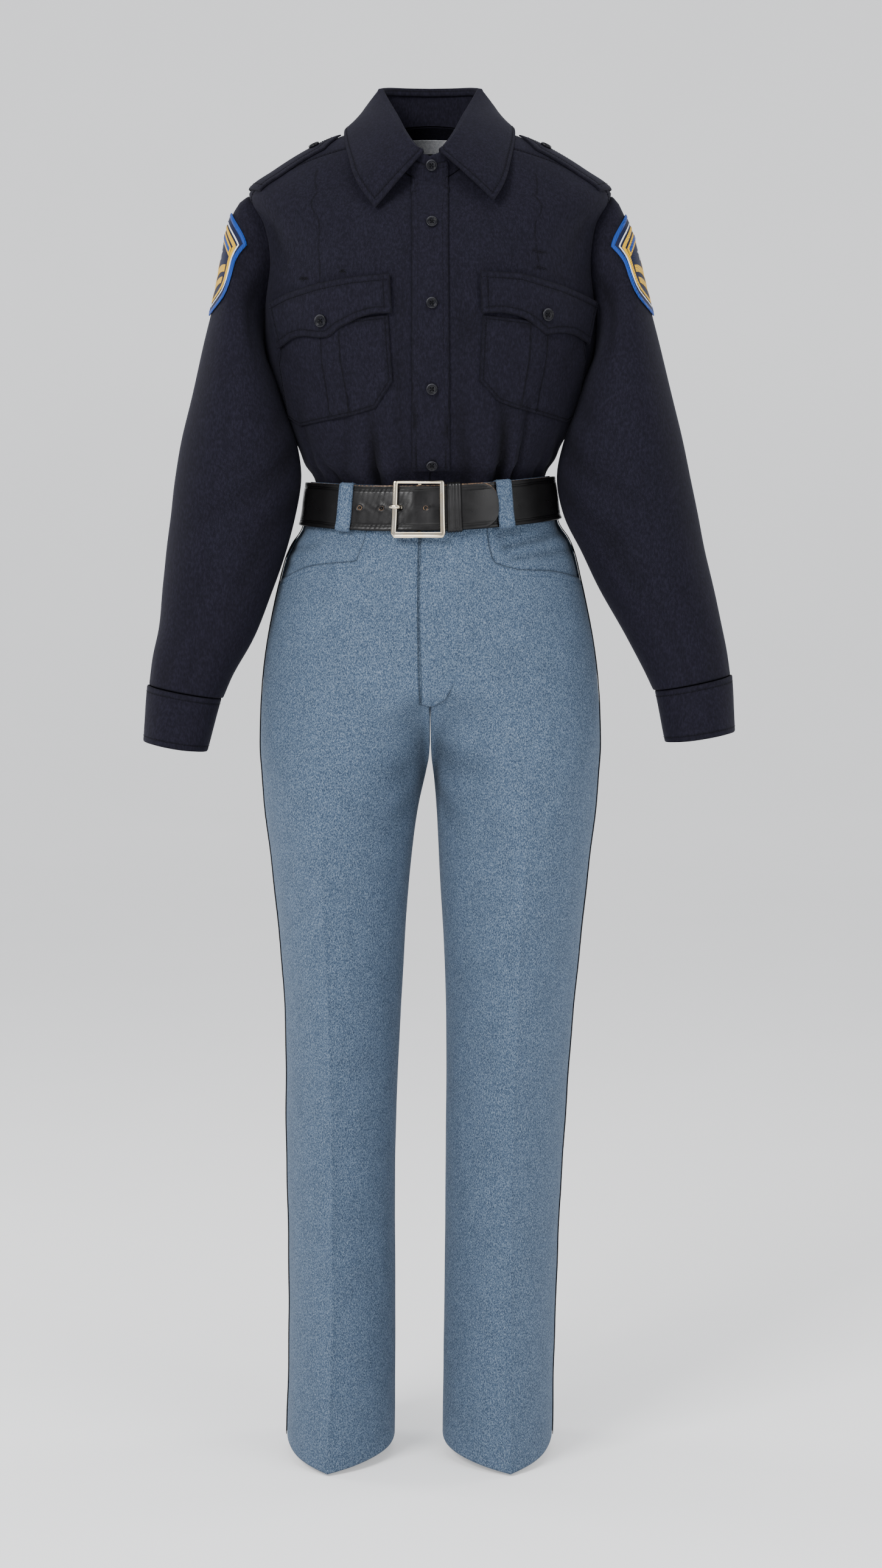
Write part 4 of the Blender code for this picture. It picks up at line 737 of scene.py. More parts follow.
class WaistSurface(Surface):
    """The waistband's ring, over a length round it from centre front to +X, and the height."""

    slack = 0.0

    def __init__(self) -> None:
        """Reads the waist's table."""
        super().__init__()
        ordered = WAIST_ROWS[::-1]
        self.sections = Sections(ordered, [row[1] * MM for row in ordered])

    def point(self, a: np.ndarray, t: np.ndarray) -> np.ndarray:
        """Points of the waistband."""
        side_x, _, front_y, back_y = self.sections.at(t)
        sine, cosine = np.sin(a / BELT_RADIUS), np.cos(a / BELT_RADIUS)
        factor = ring_factor(sine, cosine, BODY_ROUND)
        x = side_x * sine * factor
        y = np.where(cosine > 0, front_y, -back_y) * cosine * factor
        return np.stack((x, y, t + waist_lift(x)), axis=-1)

    def length_at(self, x: float) -> float:
        """Length round the front at which the ring is at x."""
        share = x / float(self.sections.at(np.array(-0.359))[0])
        depth = (1 - abs(share) ** BODY_ROUND) ** (1 / BODY_ROUND)
        return math.atan2(share, depth) * BELT_RADIUS


FOLD_LINE = Sections(FOLD_LINE_ROWS, [row[0] for row in FOLD_LINE_ROWS])


def fold_line(angle: np.ndarray) -> np.ndarray:
    """The collar's top edge, round from centre front.

    Args:
        angle: Turns from centre front towards the wearer's left.

    Returns:
        One point for each turn.
    """
    turned = (angle + math.pi) % (2 * math.pi) - math.pi
    _, x, y, z = FOLD_LINE.at(np.degrees(np.abs(turned)))
    return np.stack((x * np.sign(turned), y, z), axis=-1)


class StandSurface(Surface):
    """The band inside the collar; a runs round and t up from the neckline to the fold line."""

    height = 30 * MM
    slack = 0.0

    def __init__(self, torso: TorsoSurface) -> None:
        """Takes the torso whose neckline it stands on."""
        super().__init__()
        self.torso = torso

    def point(self, a: np.ndarray, t: np.ndarray) -> np.ndarray:
        """Points of the stand."""
        angle = a / COLLAR_RADIUS
        low = self.torso.point(angle * GIRTH_RADIUS, np.full_like(angle, self.torso.top))
        share = (t / self.height)[..., None]
        return low * (1 - share) + fold_line(angle) * share


class FrontBandSurface(Surface):
    """The torso's front, running on over the collar's stand above the neckline."""

    slack = 0.0

    def __init__(self, torso: TorsoSurface) -> None:
        """Takes the torso."""
        super().__init__()
        self.torso, self.stand = torso, StandSurface(torso)

    def point(self, a: np.ndarray, t: np.ndarray) -> np.ndarray:
        """Points of the torso below the neckline and of the stand above it."""
        low = self.torso.point(a, np.minimum(t, self.torso.top))
        over = np.maximum(t - self.torso.top, 0)
        high = self.stand.point(a * COLLAR_RADIUS / GIRTH_RADIUS, over)
        return np.where((t > self.torso.top)[..., None], high, low)

    def relief(self, a: np.ndarray, t: np.ndarray) -> np.ndarray:
        """The torso's folds."""
        return self.torso.relief(a, t)


class FallSurface(Surface):
    """The collar's leaf; a runs round, and t down from the fold line to the leaf's edge.

    Below zero, t turns over the stand's top and goes down inside it.
    """

    outward = -1.0
    slack = 0.0
    turn_radius = 2.3 * MM
    start_out = 1.2 * MM

    def __init__(self) -> None:
        """Reads the table of the leaf's edge."""
        super().__init__()
        self.edge = Sections(COLLAR_ROWS, np.radians([row[0] for row in COLLAR_ROWS]))
        self.first, self.last = self.edge.knots[0], self.edge.knots[-1]

    def point(self, a: np.ndarray, t: np.ndarray) -> np.ndarray:
        """Points of the leaf and of its turn over the stand."""
        angle = a / COLLAR_RADIUS
        _, edge_x, edge_y, edge_z = self.edge.at(angle)
        top = fold_line(angle)
        outward = np.stack((np.sin(angle), -np.cos(angle), 0 * angle), axis=-1)
        share = (np.maximum(t, 0) / COLLAR_DEPTH)[..., None]
        bulge = np.sin(np.clip(share, 0, 1) * math.pi) * 3.5 * MM + self.start_out
        edge = np.stack((edge_x, edge_y, edge_z), axis=-1)
        leaf = top * (1 - share) + edge * share + outward * bulge
        arc = math.pi * self.turn_radius
        over = np.clip(-t, 0, arc)[..., None] / self.turn_radius
        centre = top + outward * (self.start_out - self.turn_radius)
        up = np.array((0.0, 0.0, 1.0))
        turn = centre + (outward * np.cos(over) + up * np.sin(over)) * self.turn_radius
        turn = turn - up * np.maximum(-t - arc, 0)[..., None]
        return np.where((t >= 0)[..., None], leaf, turn)


def spaced(outline: Sequence[Pair], step: float) -> tuple[list[np.ndarray], list[int]]:
    """The outline with points added so that none of its edges is longer than step.

    Args:
        outline: Corners of a closed outline.
        step: Longest edge.

    Returns:
        The points, and for each the number of the outline's edge that it starts from.
    """
    points: list[np.ndarray] = []
    edges: list[int] = []
    closed = list(outline) + [outline[0]]
    for number, (start, end) in enumerate(zip(closed, closed[1:])):
        start, end = np.array(start, dtype=float), np.array(end, dtype=float)
        parts = max(1, math.ceil(np.linalg.norm(end - start) / step - 0.05))
        points += [start + (end - start) * i / parts for i in range(parts)]
        edges += [number] * parts
    return points, edges


def inset(points: Sequence, distance: float) -> np.ndarray:
    """The outline moved inwards by a distance."""
    points = np.array(points)
    after, before = np.roll(points, -1, axis=0), np.roll(points, 1, axis=0)
    area = np.sum(points[:, 0] * after[:, 1] - after[:, 0] * points[:, 1])
    turn = 1.0 if area > 0 else -1.0
    ahead, behind = unit(after - points), unit(points - before)
    left_ahead = np.stack((-ahead[:, 1], ahead[:, 0]), axis=1) * turn
    left_behind = np.stack((-behind[:, 1], behind[:, 0]), axis=1) * turn
    middle = left_ahead + left_behind
    scale = 2 / np.maximum(np.sum(middle * middle, axis=1, keepdims=True), 0.4)
    return points + middle * scale * distance


def inside(points: np.ndarray, outline: np.ndarray) -> np.ndarray:
    """Which points lie inside the outline."""
    x, y = points[:, 0], points[:, 1]
    found = np.zeros(len(points), dtype=bool)
    for (x1, y1), (x2, y2) in zip(outline, np.roll(outline, -1, axis=0)):
        if y1 != y2:
            found ^= ((y1 > y) != (y2 > y)) & (x < (x2 - x1) * (y - y1) / (y2 - y1) + x1)
    return found


def distance_to(points: np.ndarray, outline: np.ndarray) -> np.ndarray:
    """Distance of each point from the nearest edge of the outline."""
    nearest = np.full(len(points), np.inf)
    for start, end in zip(outline, np.roll(outline, -1, axis=0)):
        run = end - start
        share = np.clip((points - start) @ run / max(run @ run, 1e-14), 0, 1)
        away = points - start - share[:, None] * run
        nearest = np.minimum(nearest, np.einsum("ij,ij->i", away, away))
    return np.sqrt(nearest)


def mesh_piece(
    name: str, points: np.ndarray, faces: Sequence, finish: "Finish",
    uv: Optional[np.ndarray] = None, sharp: float = 48.0, marks: Optional[np.ndarray] = None,
) -> bpy.types.Object:
    """A smooth mesh piece at the origin, with its faces turned outwards.

    Args:
        name: The piece's name.
        points: Its points.
        faces: Its faces, as point numbers.
        finish: What it is made of.
        uv: A place on the cloth for each point, in metres.
        sharp: Angle in degrees past which an edge stays sharp.
        marks: For each point, how much painted shade it carries, or on a button how much painted
            highlight.

    Returns:
        The new object.
    """
    mesh = bpy.data.meshes.new(name)
    mesh.from_pydata(np.asarray(points).tolist(), [], [tuple(int(i) for i in f) for f in faces])
    if uv is not None:
        layer = mesh.uv_layers.new(name="cloth")
        index = np.empty(len(mesh.loops), dtype=np.int32)
        mesh.loops.foreach_get("vertex_index", index)
        layer.data.foreach_set("uv", np.asarray(uv, dtype=np.float32)[index].ravel())
    # The 'pressed' attribute carries painted shade, and on buttons a painted highlight.
    shade = mesh.attributes.new("pressed", "FLOAT", "POINT")
    shade.data.foreach_set("value", np.zeros(len(points), dtype=np.float32)
                           if marks is None else np.asarray(marks, dtype=np.float32))
    build = bmesh.new()
    build.from_mesh(mesh)
    bmesh.ops.recalc_face_normals(build, faces=build.faces)
    build.to_mesh(mesh)
    build.free()
    mesh.shade_smooth()
    mesh.set_sharp_from_angle(angle=math.radians(sharp))
    mesh.materials.append(finish.material())
    made = bpy.data.objects.new(name, mesh)
    bpy.context.scene.collection.objects.link(made)
    return made


class Shader:
    """Builds one material's nodes."""

    def __init__(self, name: str) -> None:
        """Starts a material whose Principled shader is ready."""
        self.made = bpy.data.materials.new(name)
        self.made.use_nodes = True
        self.tree = self.made.node_tree
        self.main = self.tree.nodes["Principled BSDF"]

    def node(self, kind: str, **settings: object) -> bpy.types.Node:
        """A new node; a setting whose name is an input's sets that input."""
        node = self.tree.nodes.new(kind)
        for key, value in settings.items():
            if hasattr(node, key):
                setattr(node, key, value)
            else:
                node.inputs[key.replace("_", " ")].default_value = value
        return node

    def join(self, source: bpy.types.NodeSocket, target: bpy.types.NodeSocket) -> None:
        """Links two sockets."""
        self.tree.links.new(source, target)

    def place(self, uv: bool, scale: tuple[float, float, float], turn: float = 0.0):
        """Coordinates from the cloth's own map or from the object, scaled and turned.

        Args:
            uv: Whether the cloth's own map is read.
            scale: Scale along each axis.
            turn: Turn about the third axis, in degrees.

        Returns:
            The socket that gives them.
        """
        if uv:
            source = self.node("ShaderNodeUVMap", uv_map="cloth").outputs["UV"]
        else:
            source = self.node("ShaderNodeTexCoord").outputs["Object"]
        mapping = self.node("ShaderNodeMapping")
        mapping.inputs["Scale"].default_value = scale
        mapping.inputs["Rotation"].default_value = (0.0, 0.0, math.radians(turn))
        self.join(source, mapping.inputs["Vector"])
        return mapping.outputs["Vector"]

    def noise(self, place, scale: float, detail: float = 2.0, rough: float = 0.5):
        """The value of a noise texture at a place."""
        node = self.node("ShaderNodeTexNoise")
        node.inputs["Scale"].default_value = scale
        node.inputs["Detail"].default_value = detail
        node.inputs["Roughness"].default_value = rough
        self.join(place, node.inputs["Vector"])
        return node.outputs["Fac"]

    def bands(self, place, scale: float, wobble: float = 0.0):
        """The value of straight bands across a place's first axis."""
        node = self.node("ShaderNodeTexWave", wave_type="BANDS", bands_direction="X")
        node.inputs["Scale"].default_value = scale
        node.inputs["Distortion"].default_value = wobble
        node.inputs["Detail Scale"].default_value = 3.0
        self.join(place, node.inputs["Vector"])
        return node.outputs["Fac"]

    def ramp(self, value, stops: Sequence[tuple[float, tuple[float, float, float]]]):
        """A colour for each value, smooth between the stops."""
        node = self.node("ShaderNodeValToRGB")
        elements = node.color_ramp.elements
        while len(elements) < len(stops):
            elements.new(0.5)
        for element, (where, colour) in zip(elements, stops):
            element.position = where
            element.color = (*colour, 1.0)
        self.join(value, node.inputs["Fac"])
        return node.outputs["Color"]

    def mix(self, share, first, second, blend: str = "MIX"):
        """Two colours mixed by a share, which is a socket or a number."""
        node = self.node("ShaderNodeMix", data_type="RGBA", blend_type=blend)
        for source, socket in ((share, node.inputs[0]), (first, node.inputs[6]),
                               (second, node.inputs[7])):
            if isinstance(source, bpy.types.NodeSocket):
                self.join(source, socket)
            elif isinstance(source, tuple):
                socket.default_value = (*source, 1.0)
            else:
                socket.default_value = source
        return node.outputs[2]

    def sums(self, first, second, how: str = "ADD"):
        """Two values put together by a kind of arithmetic."""
        node = self.node("ShaderNodeMath", operation=how)
        for source, socket in zip((first, second), node.inputs):
            if isinstance(source, bpy.types.NodeSocket):
                self.join(source, socket)
            else:
                socket.default_value = source
        return node.outputs[0]

    def bump(self, height, strength: float, distance: float) -> None:
        """Raises the surface by a height."""
        node = self.node("ShaderNodeBump")
        node.inputs["Strength"].default_value = strength
        node.inputs["Distance"].default_value = distance
        self.join(height, node.inputs["Height"])
        self.join(node.outputs["Normal"], self.main.inputs["Normal"])

    def colour(self, source) -> None:
        """Sets the base colour."""
        self.join(source, self.main.inputs["Base Color"])

    def plain(self, **values: object) -> None:
        """Sets the shader's own sockets, whose names' blanks are underscores."""
        for key, value in values.items():
            self.main.inputs[key.replace("_", " ")].default_value = value


@dataclass(frozen=True)
class Finish:
    """What a piece is made of."""

    name: str
    slot: str

    def material(self) -> bpy.types.Material:
        """The finish's material, made once."""
        return bpy.data.materials.get(self.name) or self.make(Shader(self.name))

    def make(self, shader: Shader) -> bpy.types.Material:
        """Builds the nodes."""
        raise NotImplementedError


@dataclass(frozen=True)
class Twill(Finish):
    """Woven cloth with fine diagonal ribs and flecks of lighter and darker fibre."""

    dark: tuple[float, float, float]
    middle: tuple[float, float, float]
    light: tuple[float, float, float]
    fleck_scale: float = 900.0
    rib: float = 0.9 * MM
    rib_turn: float = 62.0
    rib_share: float = 0.16
    sheen: float = 0.2
    sheen_tint: tuple[float, float, float] = (0.5, 0.5, 0.6)
    depth: float = 0.12 * MM

    def make(self, shader: Shader) -> bpy.types.Material:
        """Flecks, soft unevenness and diagonal ribs, darkened by painted shade from the 'pressed'
        attribute.
        """
        streaks = shader.noise(shader.place(False, (1.0, 1.0, 0.3)), self.fleck_scale, 1.5, 0.6)
        specks = shader.noise(shader.place(False, (1.0, 1.0, 0.6)), self.fleck_scale * 0.45,
                              1.0, 0.5)
        fine = shader.sums(shader.sums(streaks, 0.55, "MULTIPLY"),
                           shader.sums(specks, 0.45, "MULTIPLY"))
        broad = shader.noise(shader.place(False, (1.0, 1.0, 1.0)), 42.0, 3.0, 0.55)
        ribs = shader.bands(shader.place(True, (1.0, 1.0, 1.0), self.rib_turn), 0.314 / self.rib,
                            0.6)
        flecks = shader.ramp(fine, (
            (0.38, self.dark), (0.5, self.middle), (0.62, self.light)
        ))
        uneven = shader.ramp(broad, ((0.3, (0.88,) * 3), (0.7, (1.0,) * 3)))
        ribbed = shader.mix(self.rib_share, flecks, shader.ramp(ribs, (
            (0.25, self.dark), (0.8, self.light)
        )))
        # The 'pressed' attribute holds painted shade: darker along edges, stitched rows, drawn lines
        # and in fold troughs.
        pressed = shader.node("ShaderNodeAttribute", attribute_name="pressed").outputs["Fac"]
        shade = shader.ramp(pressed, ((0.0, (1.0,) * 3), (1.0, (0.22,) * 3)))
        even = shader.mix(1.0, ribbed, uneven, "MULTIPLY")
        shader.colour(shader.mix(1.0, even, shade, "MULTIPLY"))
        height = shader.sums(shader.sums(ribs, 0.6, "MULTIPLY"), fine, "ADD")
        shader.bump(height, 0.55, self.depth)
        shader.plain(Roughness=0.9, Sheen_Weight=self.sheen, Sheen_Roughness=0.5,
                     Sheen_Tint=(*self.sheen_tint, 1.0), Specular_IOR_Level=0.12)
        return shader.made


@dataclass(frozen=True)
class Thread(Finish):
    """Twisted sewing or embroidery thread."""

    tone: tuple[float, float, float]
    gloss: float = 0.5
    stitch: float = 1.1 * MM

    def make(self, shader: Shader) -> bpy.types.Material:
        """Fine slanted strands over the thread's colour."""
        place = shader.place(False, (1.0, 1.0, 1.0), 35.0)
        strands = shader.bands(place, 0.314 / self.stitch, 1.5)
        low = tuple(c * 0.62 for c in self.tone)
        shader.colour(shader.ramp(strands, ((0.15, low), (0.75, self.tone))))
        shader.bump(strands, 0.5, 0.15 * MM)
        shader.plain(Roughness=self.gloss, Specular_IOR_Level=0.15)
        return shader.made


@dataclass(frozen=True)
class Leather(Finish):
    """Smooth black leather whose gloss varies, with fine grain."""

    tone: tuple[float, float, float] = (0.0045, 0.0043, 0.0045)

    def make(self, shader: Shader) -> bpy.types.Material:
        """Grain, creases and patchy polish, with painted sheen at the front's middle and painted
        shade in grooves and holes.
        """
        place = shader.place(True, (1.0, 1.0, 1.0))
        grain = shader.noise(place, 1500.0, 3.0, 0.6)
        crackle = shader.noise(shader.place(True, (3.0, 0.35, 1.0)), 420.0, 4.0, 0.6)
        patches = shader.noise(place, 55.0, 3.0, 0.6)
        # Painted sheen: a lighter tone in random patches, kept to the front's middle, stands in for
        # a reflection of the lamps.
        light = tuple(c * 2.8 for c in self.tone)
        middle = self.painted_sheen(shader)
        painted_sheen = shader.ramp(patches, ((0.35, self.tone), (0.72, light)))
        # The 'pressed' attribute holds painted shade in the strap's grooves and holes, at its tip
        # and along the keeper's edges.
        pressed = shader.node("ShaderNodeAttribute", attribute_name="pressed").outputs["Fac"]
        shade = shader.ramp(pressed, ((0.0, (1.0,) * 3), (1.0, (0.12,) * 3)))
        tone = shader.mix(middle, self.tone, painted_sheen)
        shader.colour(shader.mix(1.0, tone, shade, "MULTIPLY"))
        gloss = shader.ramp(patches, ((0.3, (0.24,) * 3), (0.7, (0.42,) * 3)))
        shader.join(gloss, shader.main.inputs["Roughness"])
        height = shader.sums(grain, shader.sums(crackle, 0.8, "MULTIPLY"), "ADD")
        shader.bump(height, 0.35, 0.12 * MM)
        shader.plain(Specular_IOR_Level=0.19, Coat_Weight=0.05, Coat_Roughness=0.2)
        return shader.made

    def painted_sheen(self, shader: Shader):
        """Where painted sheen lightens the leather, standing in for a reflection of the lamps: most
        at the front's middle.
        """
        split = shader.node("ShaderNodeSeparateXYZ")
        shader.join(shader.place(False, (1.0, 1.0, 1.0)), split.inputs["Vector"])
        reach = shader.sums(split.outputs["X"], split.outputs["X"], "MULTIPLY")
        return shader.ramp(reach, ((0.0, (1.0,) * 3), (0.0085, (0.0,) * 3)))


@dataclass(frozen=True)
class RawLeather(Finish):
    """Brown fibres of a cut leather edge under black dye that wear has thinned."""

    def make(self, shader: Shader) -> bpy.types.Material:
        """Brown and black in small ragged patches."""
        fibres = shader.noise(shader.place(False, (1.0, 1.0, 1.0)), 420.0, 4.0, 0.65)
        shader.colour(shader.ramp(fibres, (
            (0.42, (0.012, 0.010, 0.009)), (0.53, (0.10, 0.055, 0.03)),
            (0.68, (0.28, 0.18, 0.10)),
        )))
        shader.bump(fibres, 0.8, 0.3 * MM)
        shader.plain(Roughness=0.85)
        return shader.made


@dataclass(frozen=True)
class Metal(Finish):
    """Polished plate with faint wiping scratches."""

    tone: tuple[float, float, float] = (0.66, 0.60, 0.50)

    def make(self, shader: Shader) -> bpy.types.Material:
        """Scratches and slightly uneven polish."""
        fine = shader.noise(shader.place(False, (1.0, 1.0, 9.0)), 600.0, 3.0, 0.6)
        broad = shader.noise(shader.place(False, (1.0, 1.0, 1.0)), 90.0, 2.0, 0.5)
        warm = (self.tone[0], self.tone[1] * 0.93, self.tone[2] * 0.80)
        shader.colour(shader.ramp(broad, ((0.35, self.tone), (0.7, warm))))
        polish = shader.ramp(fine, ((0.35, (0.09,) * 3), (0.75, (0.20,) * 3)))
        shader.join(polish, shader.main.inputs["Roughness"])
        shader.bump(fine, 0.12, 0.05 * MM)
        shader.plain(Metallic=1.0)
        return shader.made


@dataclass(frozen=True)
class Resin(Finish):
    """Dark, faintly marbled button resin with a hard gloss."""

    tone: tuple[float, float, float] = (0.004, 0.004, 0.0055)

    def make(self, shader: Shader) -> bpy.types.Material:
        """A slow swirl of grey, and a painted highlight on the rim."""
        swirl = shader.noise(shader.place(False, (1.0, 1.0, 1.0)), 260.0, 3.0, 0.6)
        pale = tuple(c * 3 for c in self.tone)
        # The 'pressed' attribute holds a painted highlight: a paler rim, most on its upper side.
        pressed = shader.node("ShaderNodeAttribute", attribute_name="pressed").outputs["Fac"]
        body = shader.ramp(swirl, ((0.45, self.tone), (0.8, pale)))
        rim = shader.ramp(pressed, ((0.0, (0.0,) * 3), (1.0, (0.038, 0.038, 0.044))))
        shader.colour(shader.mix(1.0, body, rim, "ADD"))
        shader.bump(swirl, 0.1, 0.05 * MM)
        shader.plain(Roughness=0.26, Specular_IOR_Level=0.14)
        return shader.made


SHIRT = Twill(
    "shirt cloth", "shirt_cloth", (0.0040, 0.0036, 0.0075), (0.0062, 0.0057, 0.0112),
    (0.0098, 0.0090, 0.0172), sheen=0.03, sheen_tint=(0.55, 0.55, 0.75),
)
TROUSER = Twill(
    "trouser cloth", "trouser_cloth", (0.015, 0.028, 0.056), (0.055, 0.087, 0.138),
    (0.165, 0.212, 0.276), fleck_scale=2300.0, rib=1.1 * MM, rib_share=0.14, sheen=0.04,
    sheen_tint=(0.75, 0.85, 1.0), depth=0.16 * MM,
)
BRAID = Twill(
    "side braid", "braid", (0.004, 0.004, 0.005), (0.008, 0.008, 0.010), (0.016, 0.016, 0.02),
    rib=1.4 * MM, rib_turn=90.0, rib_share=0.35, sheen=0.05,
)
LABEL = Twill(
    "label tape", "label", (0.50, 0.51, 0.55), (0.66, 0.67, 0.70), (0.80, 0.80, 0.82),
    rib=0.7 * MM, rib_turn=0.0, sheen=0.1,
)
SHIRT_THREAD = Thread("shirt thread", "shirt_cloth", (0.0050, 0.0048, 0.0085), 0.8)
BUTTON_THREAD = Thread("button thread", "button", (0.0022, 0.0022, 0.0034), 0.9)
TROUSER_THREAD = Thread("trouser thread", "trouser_cloth", (0.045, 0.080, 0.145), 0.8)
BORDER_THREAD = Thread("blue border thread", "patch", (0.007, 0.048, 0.26), 0.5, 1.4 * MM)
NAVY_THREAD = Thread("navy field thread", "patch", (0.006, 0.009, 0.036), 0.6, 0.9 * MM)
GOLD_THREAD = Thread("gold thread", "patch", (0.66, 0.38, 0.014), 0.5, 1.0 * MM)
WHITE_THREAD = Thread("white thread", "patch", (0.72, 0.73, 0.76), 0.45, 0.9 * MM)
LEATHER = Leather("belt leather", "leather")
RAW_EDGE = RawLeather("raw leather edge", "leather")
NICKEL = Metal("nickel plate", "nickel")
RESIN = Resin("button resin", "button")


@dataclass
class Cut:
    """A cloth piece cut to an outline of lengths and laid over a surface.

    Its outer face falls a little towards the edge, as turned and pressed cloth does, and it may
    be pressed in along a row of stitches.
    """

    name: str
    surface: Surface
    outline: Sequence[Pair]
    step: float = 7 * MM
    low: float = -CLOTH
    high: float = 0.0
    back: float = SEAM
    roll: float = 0.55 * MM
    rings: tuple[float, ...] = (0.9 * MM, 2.6 * MM)
    rows: tuple[float, ...] = ()
    columns: tuple[float, ...] = ()
    lines: Sequence[tuple] = ()
    rise: Optional[Lift] = None
    wall: Optional[Callable[[np.ndarray, np.ndarray], tuple[np.ndarray, np.ndarray]]] = None
    # Painted shade along the edges, and a mask that scales all of the piece's painted shade.
    edge_shade: float = 0.6
    shade_mask: Optional[Lift] = None
    side_area: float = field(default=0.0, init=False)

    def fine_lines(self) -> list[tuple[np.ndarray, np.ndarray, tuple[float, ...]]]:
        """Lines that need finer cloth: narrow folds, and the piece's own lines."""
        found = []
        for fold in self.surface.folds:
            if fold.width < 6.5 * MM:
                reach = tuple(fold.width * k for k in (-1.6, -0.8, 0.0, 0.8, 1.6))
                found.append((np.array(fold.start), np.array(fold.end), reach))
        for start, end, *_ in self.lines:
            found.append((np.array(start), np.array(end), LINE_OFFSETS))
        return found

    def grid(self, edge: np.ndarray) -> np.ndarray:
        """Places inside the edge: rings along it, rows beside lines, and a staggered grid.

        Args:
            edge: The outline's points.

        Returns:
            The places, one row each.
        """
        found = []
        reach = 0.0
        pressed = tuple(r + d for r in self.rows for d in (-0.7 * MM, 0.0, 0.7 * MM))
        for ring in sorted(self.rings + pressed):
            places = inset(edge, ring)
            places = places[inside(places, edge)]
            if len(places):
                places = places[distance_to(places, edge) > ring * 0.93]
            found.append(places)
            reach = ring
        low, high = edge.min(axis=0), edge.max(axis=0)
        rise = self.step * math.sqrt(3) / 2
        grid = []
        for row, height in enumerate(np.arange(low[1] + rise / 2, high[1], rise)):
            shift = self.step / 2 if row % 2 else 0
            across = np.arange(low[0] + shift, high[0], self.step)
            for column in self.columns:
                across = across[np.abs(across - column) > self.step * 0.5]
            across = np.concatenate((across, np.array(self.columns, dtype=float)))
            grid.append(np.stack((across, np.full_like(across, height)), axis=1))
        grid = np.vstack(grid)
        for start, end, offsets in self.fine_lines():
            if max(start[0], end[0]) < low[0] or min(start[0], end[0]) > high[0]:
                continue
            run = end - start
            length = float(np.linalg.norm(run))
            across = np.array((-run[1], run[0])) / length
            share = np.linspace(0, 1, max(2, round(length / min(self.step * 0.8, 3 * MM))))[:, None]
            near = distance_to(grid, np.array((start, end))) > max(offsets) + self.step * 0.45
            grid = grid[near]
            rows = [start + run * share + across * offset for offset in offsets]
            grid = np.vstack([grid] + rows)
        grid = grid[inside(grid, edge)]
        if len(grid):
            grid = grid[distance_to(grid, edge) > reach + min(self.step * 0.45, 2 * MM)]
        return np.vstack(found + [grid])

    def build(self, finish: Finish) -> bpy.types.Object:
        """Makes the piece.

        Args:
            finish: What it is made of.

        Returns:
            The new object.
        """
        edge = inset(spaced(self.outline, self.step)[0], self.back)
        places = np.vstack((edge, self.grid(edge)))
        count = len(edge)
        lines = [(i, (i + 1) % count) for i in range(count)]
        flat, _, faces, _, _, _ = delaunay_2d_cdt([Vector(p) for p in places], lines, [], 1, TINY)
        flat = np.array([tuple(p) for p in flat])
        faces = [tuple(face) for face in faces]
        a, t = flat[:, 0], flat[:, 1]
        away = distance_to(flat, edge)
        fall = self.roll * (1 - np.sqrt(np.clip(away / (1.6 * MM), 0, 1)))
        for row in self.rows:
            fall = fall + 0.3 * MM * np.exp(-((away - row) / (0.7 * MM)) ** 2)
        extra = self.rise(a, t) if self.rise else np.zeros_like(a)
        low, high = self.wall(a, t) if self.wall else (self.low, self.high)
        outer = self.surface.lifted(a, t, high + extra - fall)
        inner = self.surface.lifted(a, t, low + extra)
        marks = self.marks(flat, away)
        total = len(flat)
        tri = np.array(faces)
        corner = outer[tri]
        cross = np.cross(corner[:, 1] - corner[:, 0], corner[:, 2] - corner[:, 0])
        self.side_area = float(np.linalg.norm(cross, axis=1).sum() / 2)
        walls = list(faces) + [tuple(i + total for i in face[::-1]) for face in faces]
        directed = {(f[i], f[(i + 1) % 3]) for f in faces for i in range(3)}
        for start, end in sorted(directed):
            if (end, start) not in directed:
                walls.append((end, start, start + total, end + total))
        uv = np.vstack((flat, flat))
        marks = np.concatenate((marks, np.zeros_like(marks)))
        return mesh_piece(self.name, np.vstack((outer, inner)), walls, finish, uv, marks=marks)

    def marks(self, flat: np.ndarray, away: np.ndarray) -> np.ndarray:
        """Painted shade for each place: at edges, stitched rows, lines and deep folds.

        Args:
            flat: The places.
            away: Their distances from the edge.

        Returns:
            A value from 0 to 1 for each place.
        """
        dark = self.edge_shade * np.exp(-(away / (0.9 * MM)) ** 2)
        for row in self.rows:
            dark = np.maximum(dark, 0.75 * np.exp(-((away - row) / (0.65 * MM)) ** 2))
        for start, end, *share in self.lines:
            near = distance_to(flat, np.array((start, end)))
            mark = share[0] if share else 0.9
            dark = np.maximum(dark, mark * np.exp(-(near / (0.8 * MM)) ** 2))
        if self.shade_mask:
            dark = dark * self.shade_mask(flat[:, 0], flat[:, 1])
        return np.maximum(dark, self.surface.shade(flat[:, 0], flat[:, 1]))

    def seam_path(
        self, distance: float, edges: Optional[Sequence[int]] = None, lift: float = 0.12 * MM
    ) -> np.ndarray:
        """Points of a row of stitches beside the piece's edge.

        Args:
            distance: How far inside the edge it runs.
            edges: The outline's edges that it follows, in order; all of them if left out.
            lift: How far over the cloth it lies.

        Returns:
            The points in space.
        """
        points, numbers = spaced(self.outline, 3 * MM)
        moved = inset(points, distance)
        if edges is None:
            moved = np.vstack((moved, moved[:1]))
        else:
            keep = [i for wanted in edges for i, n in enumerate(numbers) if n == wanted]
            last = (keep[-1] + 1) % len(moved)
            moved = moved[keep + [last]]
        a, t = moved[:, 0], moved[:, 1]
        extra = self.rise(a, t) if self.rise else np.zeros_like(a)
        return self.surface.lifted(a, t, self.high + extra + lift)

